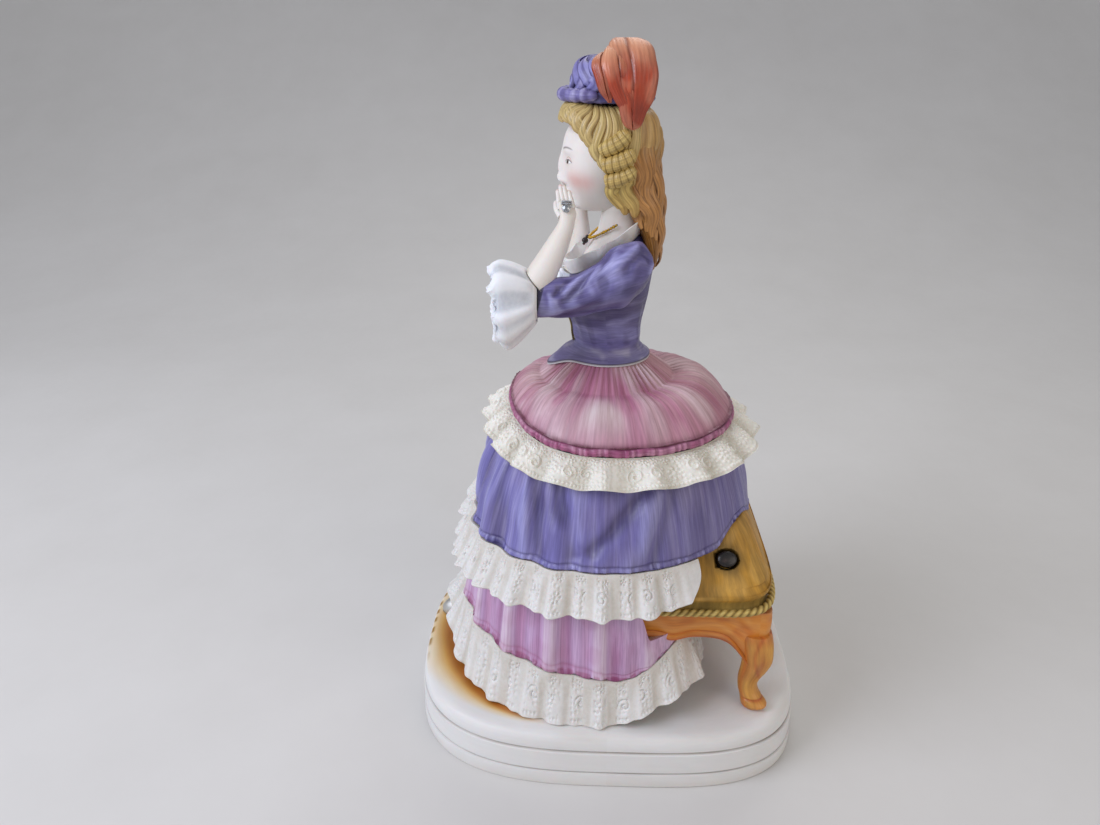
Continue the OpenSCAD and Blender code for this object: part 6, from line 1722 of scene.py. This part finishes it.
def make_hat(s):
    """A soft hat: a low crown under leaf-like folds that rise from a padded roll around the front,
    and two hanging folds behind."""
    low, high = size_of("hat")
    base, w = low[2], high[0]
    rows = [[-4, w - 3.5, 17.6, 0], [-4, w - 2.6, 18.0, 0.8], [-4, w - 3.4, 17.0, 3.2],
            [-3.6, 15.2, 14.2, 4.8], [-3.6, 14.6, 13.2, 8], [-4.2, 13.6, 12.4, 11.4],
            [-5.2, 11.4, 10.6, 14.4], [-6.2, 7, 7, 16.4], [-6.6, 2, 2, 17.0]]
    n, m = 90, 200
    r = spline(rows, n)
    k = lap(m)[None]
    P = points(r[:, 1:2] * cosd(k), r[:, :1] + r[:, 2:3] * sind(k), base + r[:, 3:4])
    P = push(P, 0.3 * lumps(P, 6, 151))
    # The crown under the folds is painted mostly in the violet shade colour, as painted shade.
    parts = [(P, paint(P, s.violet_dark, (0.3, s.violet)))]
    rng = np.random.default_rng(153)
    f = even(60)
    for layer in (0, 1):
        for i in range(13):
            a = 150 + 27.7 * (i + 0.5 * layer) + rng.uniform(-4, 4)
            at = a + mix(-9, 15, f) * (1 if layer else -1) + 5 * np.sin(2 * np.pi * f)
            climb = mix(4.2, (16.4, 12.0)[layer], f)
            grow = np.interp(climb, r[:, 3], np.arange(n))
            cy, cx, ry = (np.interp(grow, np.arange(n), r[:, q]) for q in (0, 1, 2))
            off = unit(points(cosd(at), sind(at), np.interp(climb, [0, 10, 16], [0.1, 0.5, 1.6])))
            path = points(cx * cosd(at), cy + ry * sind(at), base + climb)
            path = path + off * (0.2 + 0.9 * np.sin(np.pi * f) + 0.3 * layer)[:, None]
            width = np.interp(f, [0, 0.3, 0.7, 1], [2.6, 3.9, 3.0, 1.0]) * rng.uniform(0.8, 1.05)
            L, line, edge, _ = lock(path, off, width, 0.5, 0.8, 1530 + i + 20 * layer, 0.5)
            L[..., 2] = np.clip(L[..., 2], base, high[2] + 0.6)
            middle = ease((0.5 - edge) / 0.5) * (1 - line)
            # Painted highlight down the middle of each fold; painted shade in its lines and along its
            # edges.
            c = paint(L, s.violet, (0.6 * middle * rng.uniform(0.5, 1), s.violet_pale),
                      (0.5 * line, s.violet_dark), (0.9 * edge, s.violet_dark),
                      (0.3 * ease(lumps(L, 6, 155)), "#8d819b"))
            parts.append((L, c))
    a = np.linspace(196, 344, 150)
    f = np.linspace(-1, 1, 150)
    path = points((w - 1.8) * cosd(a), -4 + 18.6 * sind(a), base + 2.5 + 0.4 * f ** 2)
    fat = 2.5 * np.sqrt(np.clip((1.03 - np.abs(f)) / 0.2, 0.03, 1))
    T = tube(path, 1.0, 36)
    pad = lumps(T, 4.5, 152)
    T = fatten(T, fat[:, None] * (1 + 0.07 * pad + 0.05 * np.cos(40 * f)[:, None]))
    T[..., 2] = np.maximum(T[..., 2], base)
    # Painted highlight on the pad's bulges, painted shade in its dips.
    ct = paint(T, "#7169a3", (0.5 * ease(pad), "#a7a2c8"), (0.4 * ease(-pad), s.violet_dark))
    skin("Hat", parts + [(T, ct)], "torso", "hat", "violet_glaze", "Satin china paint")


# The feather's lobes, from the hat's side and foot: rows of where the middle lies, its half width
# and half thickness, and how far it leans over the hat.
LOBES = (
    ([[1.6, 4.6, -9.2, 0.9, 0.7, 0], [1.9, 4.6, -7.4, 3.2, 1.2, 0], [2.2, 4.8, -2.8, 5.2, 1.7, 0],
      [2.3, 5.4, 4, 7.0, 2.2, 8], [1.4, 5.4, 10.5, 8.0, 2.6, 24], [-1.4, 4.0, 16.6, 8.4, 2.6, 46],
      [-5.6, 2.4, 20.8, 7.6, 2.2, 70], [-10.4, 1.2, 22.2, 5.2, 1.6, 86],
      [-13.4, 0.8, 21.8, 1.2, 0.8, 95]], -0.2),
    ([[1.4, 6.4, -8.2, 0.6, 0.6, 0], [2.2, 4.4, -4.4, 3.0, 1.3, 0], [2.6, 1.4, 1.6, 4.4, 1.8, 4],
      [2.6, -1.2, 7.4, 5.0, 2.0, 14], [1.0, -2.6, 13, 5.2, 2.0, 32], [-2.2, -3.0, 17.6, 4.4, 1.8, 56],
      [-5.6, -3.4, 19.8, 2.6, 1.3, 72], [-8, -3.4, 20.2, 0.8, 0.8, 80]], 0.25),
    ([[1.6, -4.4, 0.6, 0.7, 0.8, 6], [2.0, -5.6, 4.0, 2.4, 1.4, 10], [1.6, -6.8, 8.2, 3.2, 1.8, 22],
      [0.0, -8.0, 12.4, 3.4, 2.0, 36], [-2.6, -8.0, 15.6, 3.0, 1.8, 56],
      [-5.4, -6.8, 17.2, 2.0, 1.5, 70], [-7, -5.6, 17.6, 0.8, 0.8, 78]], 0.0))


def make_plume(s):
    """The curled feather: a rounded lobe over the hat with a groove down it, a middle lobe, and a
    short curled one in front, all sweeping down to a striped tip; fine barbs comb each lobe."""
    high = size_of("plume")[1]
    foot = np.array([size_of("hat")[1][0], 0, size_of("hat")[0][2], 0, 0, 0])
    parts = []
    for i, (rows, curl) in enumerate(LOBES):
        r = spline(np.array(rows) + foot, 170)
        k = lap(110)[None]
        lean = r[:, 5:6]
        thick = points(cosd(lean), 0, sind(lean))
        across = sind(k) + 0 * lean
        t = even(170)[:, None]
        P = (r[:, None, :3] + (r[:, 3:4] * sind(k))[..., None] * np.array([0, 1, 0])
             + (r[:, 4:5] * cosd(k))[..., None] * thick)
        groove = peak(across, curl * np.sin(np.pi * t), 0.07)
        barb = crest(np.cos(30 * across - 16 * t * np.sign(across - curl) + 1.5 * np.sin(7 * t)), 1.6)
        broad = lumps(P, 12, 161 + i)
        P = push(P, -0.6 * groove - 0.09 * (1 - barb) + 0.5 * broad * np.sin(np.pi * t))
        P[..., 0] = np.minimum(P[..., 0], high[0] + 0.6)
        P[..., 2] = np.minimum(P[..., 2], high[2] + 0.6)
        tip = ease((0.14 - t) / 0.1)
        low = ease((0.42 - t) / 0.25) * (1 - tip)
        top = ease((t - 0.46) / 0.28)
        # Painted highlight on the broad swellings; painted shade in their dips, between the barbs, in
        # the groove and along the lobes' edges.
        c = paint(P, s.plume, (0.85 * top, "#dda37e"), (0.7 * low, "#8d3822"),
                  (0.22 * (1 - barb), s.plume_dark), (0.35 * ease(broad), "#cc8d6f"),
                  (0.35 * ease(-broad), s.plume_dark),
                  (0.7 * groove, "#6e2a1a"), (0.5 * tip * barb, "#d69078"),
                  (0.5 * ease((np.abs(across) - 0.88) / 0.12), s.plume_dark))
        parts.append((P, c))
    skin("Feather", parts, "torso", "plume", "plume_glaze", "Feather glaze")


# ---- Jewels

def ball(centre, r, n=14, m=20):
    """A small ball as a grid of points, and their directions from its middle."""
    e = np.linspace(-80, 80, n)[:, None]
    a = lap(m)[None]
    d = towards(e, a)
    return np.asarray(centre) + r * d, d


def make_necklace(s):
    """A string of gold beads on a dark thread around the neck: seeded sizes, each a small ball on
    a sloping ring, and a dropped pendant of dark stones in front."""
    rng = np.random.default_rng(171)
    parts = []
    a = np.linspace(183, 357, 70)
    y = 1 + 12.1 * sind(a)
    line = points(9.1 * cosd(a), y, HEAD_AT[2] - 25.6 + 0.62 * (y - 1))
    thread = tube(line, 0.32, 8)
    parts.append((thread, paint(thread, s.lash)))
    for i in range(35):
        at = line[i * 2]
        B, d = ball(at, rng.uniform(0.5, 0.72))
        dark = ease(-d[..., 2] * 1.2)
        # Painted shade on the underside of each bead.
        parts.append((B, paint(B, "#cfa63e", (0.6 * dark, s.gold_dark)), 0.8))
    skin("Necklace", parts, "torso", "necklace", "gold_lustre", "Biscuit porcelain")
    low, high = size_of("pendant")
    c0 = (low + high) / 2
    drops = []
    for at, r in ((c0, 1.35), (c0 + [0, 0.9, 1.7], 0.75), (c0 + [0, -0.5, -1.4], 0.6),
                  (c0 + [0.9, 0.5, 0.9], 0.5)):
        B, d = ball(at, r, 16, 24)
        facet = 1 - 0.08 * crest(np.cos(np.arctan2(d[..., 1], d[..., 0]) * 6), 1.5)
        B = at + (B - at) * facet[..., None]
        # Painted highlight on the top of each stone.
        drops.append((B, paint(B, "#241b1c", (0.3 * ease(d[..., 2]), "#57403c"))))
    skin("Pendant", drops, "torso", "pendant", "dark_glaze", "Black enamel")


def make_ring(s):
    """A silver ring on the left hand: a textured band of two rows of grains round the finger's
    root and a brilliant in a round setting."""
    low, high = size_of("ring")
    c0 = (low + high) / 2 + [-2.2, -0.3, 1.25]
    out = np.array([0.9, 0, 0.435])
    side, up = np.array([0, 1.0, 0]), np.cross(out, [0, 1.0, 0])
    k = lap(48)[None]
    rows = spline([[1.5, -0.9], [2.0, -0.5], [2.15, 0.1], [1.95, 0.45], [1.55, 0.5], [1.45, 0.85],
                   [0.8, 1.05], [0.3, 1.1]], 40)
    cut = 1 - 0.05 * np.abs(sind(4 * k)) * (rows[:, 1:2] > 0.45)
    P = (c0 + 0.82 * (rows[:, :1] * cut * cosd(k))[..., None] * side
         + 0.82 * (rows[:, :1] * cut * sind(k))[..., None] * up
         + (rows[:, 1:2] + 0 * k)[..., None] * out)
    stone = (rows[:, 1:2] > 0.5) * np.ones_like(k)
    shine = ease(cosd(8 * k) * 1.5) * stone
    # Painted reflections: darker sectors in the stone's facets.
    c = paint(P, "#c9cccf", (0.5 * shine, "#7c8288"),
              (0.5 * (1 - stone) * ease(cosd(6 * k)), "#8d9094"))
    parts = [(P, c, 1.0)]
    for row in range(2):
        for i in range(7):
            at = (c0 + up * (2.1 + 0.9 * row) + side * (i - 3) * (0.6 - 0.06 * row)
                  - out * (0.45 + 0.04 * (i - 3) ** 2 + 0.4 * row))
            B, d = ball(at, 0.4, 8, 12)
            # Painted shade on the underside of each grain.
            parts.append((B, paint(B, "#b9bcc0", (0.6 * ease(-d[..., 2]), "#5e6267")), 1.0))
    skin("Ring", parts, "torso", "ring", "silver_lustre", "Silver lustre")


# ---- Movement

# The clockwork's nodes by finish.
FITTINGS = {
    "Turned brass": "bedplate drum_bearings governor_bracket lever_post button_bush waist_bush "
                    "torso_hub spring_barrel pinned_drum second_wheel governor_fan ratchet_wheel "
                    "winding_key",
    "Brushed steel": "plate_screws movement_screws comb click spindle winding_arbor button_stem "
                     "stop_lever",
    "Blued spring steel": "mainspring button_spring",
    "Dark lacquered plate": "bottom_plate"}


def finish_movement(s):
    """Turned brass, brushed and blued steel, and a stamped dark plate for the clockwork nodes."""
    for finish, names in FITTINGS.items():
        for name in names.split():
            mesh = frame["nodes"][name].data
            mesh.materials.clear()
            mesh.materials.append(finish_of(finish))


# ---- Stage

def make_stage(s):
    """A pale floor that curves up into a backdrop, soft lights and the camera."""
    bend = np.linspace(0, np.pi / 2, 60)
    y = np.concatenate([np.linspace(6.0, -0.5, 60), -0.5 - 1.3 * np.sin(bend[1:]), [-1.8]])
    z = np.concatenate([np.zeros(60), 1.3 - 1.3 * np.cos(bend[1:]), [3.0]])
    sheet = points(y[:, None], np.array([-6.0, 6.0])[None], z[:, None])
    i = np.arange(len(y) - 1) * 2
    faces = np.stack([i, i + 2, i + 3, i + 1], 1)
    mesh = bpy.data.meshes.new("Floor")
    mesh.from_pydata(sheet.reshape(-1, 3).tolist(), [], faces.tolist())
    mesh.polygons.foreach_set("use_smooth", np.ones(len(faces), bool))
    mesh.materials.append(finish_of("Pale matt board"))
    floor = bpy.data.objects.new("Floor", mesh)
    bpy.context.scene.collection.objects.link(floor)

    target = Vector((0, 0, 0.15))

    def softbox(name, place, size, power_w, tone):
        light = bpy.data.lights.new(name, "AREA")
        light.shape, light.size, light.size_y, light.energy = "RECTANGLE", size, size, power_w
        light.color = srgb(tone)
        lamp = bpy.data.objects.new(name, light)
        lamp.location = place
        lamp.rotation_euler = (target - Vector(place)).to_track_quat("-Z", "Y").to_euler()
        bpy.context.scene.collection.objects.link(lamp)

    softbox("Window", (0.45, -0.85, 0.75), 0.7, 9.4, "#ecf0ff")
    softbox("Fill", (0.75, 0.75, 0.6), 0.9, 3.0, "#fff0e2")
    softbox("Back", (-0.5, 0.1, 0.9), 0.6, 2.2, "#ffffff")

    world = bpy.data.worlds.new("Studio")
    world.use_nodes = True
    tree = world.node_tree
    tree.nodes.clear()
    room = add(tree, "ShaderNodeBackground", {"Color": srgb("#e9ebf0") + (1,), "Strength": 0.5})
    seen = add(tree, "ShaderNodeBackground", {"Color": srgb("#b9b8b8") + (1,), "Strength": 1.0})
    path = add(tree, "ShaderNodeLightPath")
    both = add(tree, "ShaderNodeMixShader", {0: path.outputs["Is Camera Ray"], 1: room.outputs[0],
                                             2: seen.outputs[0]})
    add(tree, "ShaderNodeOutputWorld", {"Surface": both.outputs[0]})
    scene = bpy.context.scene
    scene.world = world
    scene.view_settings.view_transform = "Standard"

    lens = bpy.data.cameras.new("Camera")
    lens.lens, lens.sensor_width, lens.clip_start = 29.45, 36, 0.01
    camera = bpy.data.objects.new("Camera", lens)
    away, height = 0.380, 0.312
    azimuth, tilt, yaw = (math.radians(angle) for angle in (88, 23.4, 4.19))
    camera.location = (away * math.sin(azimuth), -away * math.cos(azimuth), height)
    aim = Quaternion((0, 0, 1), yaw) @ Vector((-math.sin(azimuth), math.cos(azimuth), 0))
    look = Vector((aim.x * math.cos(tilt), aim.y * math.cos(tilt), -math.sin(tilt)))
    camera.rotation_euler = look.to_track_quat("-Z", "Y").to_euler()
    scene.collection.objects.link(camera)
    scene.camera = camera


# ---- Add-on

def make_all(context, *makers):
    """Calls each maker with the settings, and gives back what an operator reports."""
    for make in makers:
        make(context.scene.porcelain)
    return {"FINISHED"}


class PORCELAIN_OT_plinth(bpy.types.Operator):
    """Makes the moulded plinth with its painted crescent"""
    bl_idname = "porcelain.plinth"
    bl_label = "Plinth"

    def execute(self, context):
        return make_all(context, make_plinth)


class PORCELAIN_OT_overskirt(bpy.types.Operator):
    """Makes the gathered overskirt, its piping and its frill of lace"""
    bl_idname = "porcelain.overskirt"
    bl_label = "Overskirt"

    def execute(self, context):
        return make_all(context, make_overskirt, make_piping, make_overskirt_lace)


class PORCELAIN_OT_middle_skirt(bpy.types.Operator):
    """Makes the middle skirt and its frill of lace"""
    bl_idname = "porcelain.middle_skirt"
    bl_label = "Middle skirt"

    def execute(self, context):
        return make_all(context, make_middle_skirt, make_middle_lace)


class PORCELAIN_OT_flounce(bpy.types.Operator):
    """Makes the lower flounce, the lowest lace and the slipper"""
    bl_idname = "porcelain.flounce"
    bl_label = "Lower flounce"

    def execute(self, context):
        return make_all(context, make_flounce, make_lower_lace, make_shoe)


class PORCELAIN_OT_stool(bpy.types.Operator):
    """Makes the seat frame, its legs, the cushion and the braid"""
    bl_idname = "porcelain.stool"
    bl_label = "Stool"

    def execute(self, context):
        s = context.scene.porcelain
        make_frame(s)
        make_leg(s, "Stool_leg_left", "stool_leg_left", 1)
        make_leg(s, "Stool_leg_right", "stool_leg_right", -1)
        make_cushion(s)
        make_braid(s)
        return {"FINISHED"}


class PORCELAIN_OT_button(bpy.types.Operator):
    """Makes the oval start button"""
    bl_idname = "porcelain.button"
    bl_label = "Start button"

    def execute(self, context):
        return make_all(context, make_button)


class PORCELAIN_OT_bodice(bpy.types.Operator):
    """Makes the bodice, its front panel, the collar and the bust"""
    bl_idname = "porcelain.bodice"
    bl_label = "Bodice"

    def execute(self, context):
        return make_all(context, make_bodice, make_stomacher, make_collar, make_bust)


class PORCELAIN_OT_arms(bpy.types.Operator):
    """Makes the sleeves, the lace cuffs, the forearms and the hands"""
    bl_idname = "porcelain.arms"
    bl_label = "Arms"

    def execute(self, context):
        s = context.scene.porcelain
        make_sleeve(s, "Sleeve_left", "sleeve_left", SLEEVE_LEFT, 1)
        make_sleeve(s, "Sleeve_right", "sleeve_right", SLEEVE_RIGHT, -1)
        make_cuff(s, "Cuff_left", "cuff_left", CUFF_LEFT, LEFT_FACE, 1, 201)
        make_cuff(s, "Cuff_right", "cuff_right", CUFF_RIGHT, RIGHT_FACE, -1, 211)
        make_arm(s, "Arm_left", "forearm_left", ARM_LEFT, LEFT_FACE, 1, (12.6, -22.6, 74.6))
        make_arm(s, "Arm_right", "forearm_right", ARM_RIGHT, RIGHT_FACE, -1, (10.0, -23.8, 78.8))
        return {"FINISHED"}


class PORCELAIN_OT_head(bpy.types.Operator):
    """Makes the head and its painted face"""
    bl_idname = "porcelain.head"
    bl_label = "Head"

    def execute(self, context):
        return make_all(context, make_head)


class PORCELAIN_OT_hair(bpy.types.Operator):
    """Makes the fringe, the ringlets and the long back hair"""
    bl_idname = "porcelain.hair"
    bl_label = "Hair"

    def execute(self, context):
        return make_all(context, make_hair, make_ringlets, make_back_hair)


class PORCELAIN_OT_hat(bpy.types.Operator):
    """Makes the draped hat and its curled feather"""
    bl_idname = "porcelain.hat"
    bl_label = "Hat"

    def execute(self, context):
        return make_all(context, make_hat, make_plume)


class PORCELAIN_OT_jewels(bpy.types.Operator):
    """Makes the necklace, the pendant and the ring"""
    bl_idname = "porcelain.jewels"
    bl_label = "Jewels"

    def execute(self, context):
        return make_all(context, make_necklace, make_ring)


class PORCELAIN_OT_movement(bpy.types.Operator):
    """Finishes the clockwork's metal parts"""
    bl_idname = "porcelain.movement"
    bl_label = "Movement"

    def execute(self, context):
        return make_all(context, finish_movement)


class PORCELAIN_OT_stage(bpy.types.Operator):
    """Sets up the floor, the lights and the camera"""
    bl_idname = "porcelain.stage"
    bl_label = "Stage"

    def execute(self, context):
        return make_all(context, make_stage)


class PORCELAIN_PT_panel(bpy.types.Panel):
    """Sizes, colours and a button for each group"""
    bl_label = "Porcelain Lady"
    bl_idname = "PORCELAIN_PT_panel"
    bl_space_type = "VIEW_3D"
    bl_region_type = "UI"
    bl_category = "Porcelain"

    def draw(self, context):
        settings = context.scene.porcelain
        for name in PorcelainSettings.__annotations__:
            self.layout.prop(settings, name)
        for made in OPERATORS:
            self.layout.operator(made.bl_idname)


OPERATORS = (
    PORCELAIN_OT_plinth, PORCELAIN_OT_overskirt, PORCELAIN_OT_middle_skirt, PORCELAIN_OT_flounce,
    PORCELAIN_OT_stool, PORCELAIN_OT_button, PORCELAIN_OT_bodice, PORCELAIN_OT_arms,
    PORCELAIN_OT_head, PORCELAIN_OT_hair, PORCELAIN_OT_hat, PORCELAIN_OT_jewels,
    PORCELAIN_OT_movement, PORCELAIN_OT_stage)
CLASSES = (PorcelainSettings, *OPERATORS, PORCELAIN_PT_panel)


def register():
    """Adds the settings, the operators and the panel."""
    for made in CLASSES:
        bpy.utils.register_class(made)
    bpy.types.Scene.porcelain = PointerProperty(type=PorcelainSettings)


def unregister():
    """Takes away what register added."""
    del bpy.types.Scene.porcelain
    for made in reversed(CLASSES):
        bpy.utils.unregister_class(made)


def main():
    """Registers the add-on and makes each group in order."""
    register()
    for made in OPERATORS:
        getattr(bpy.ops.porcelain, made.bl_idname.split(".")[1])()


if __name__ == "__main__":
    main()
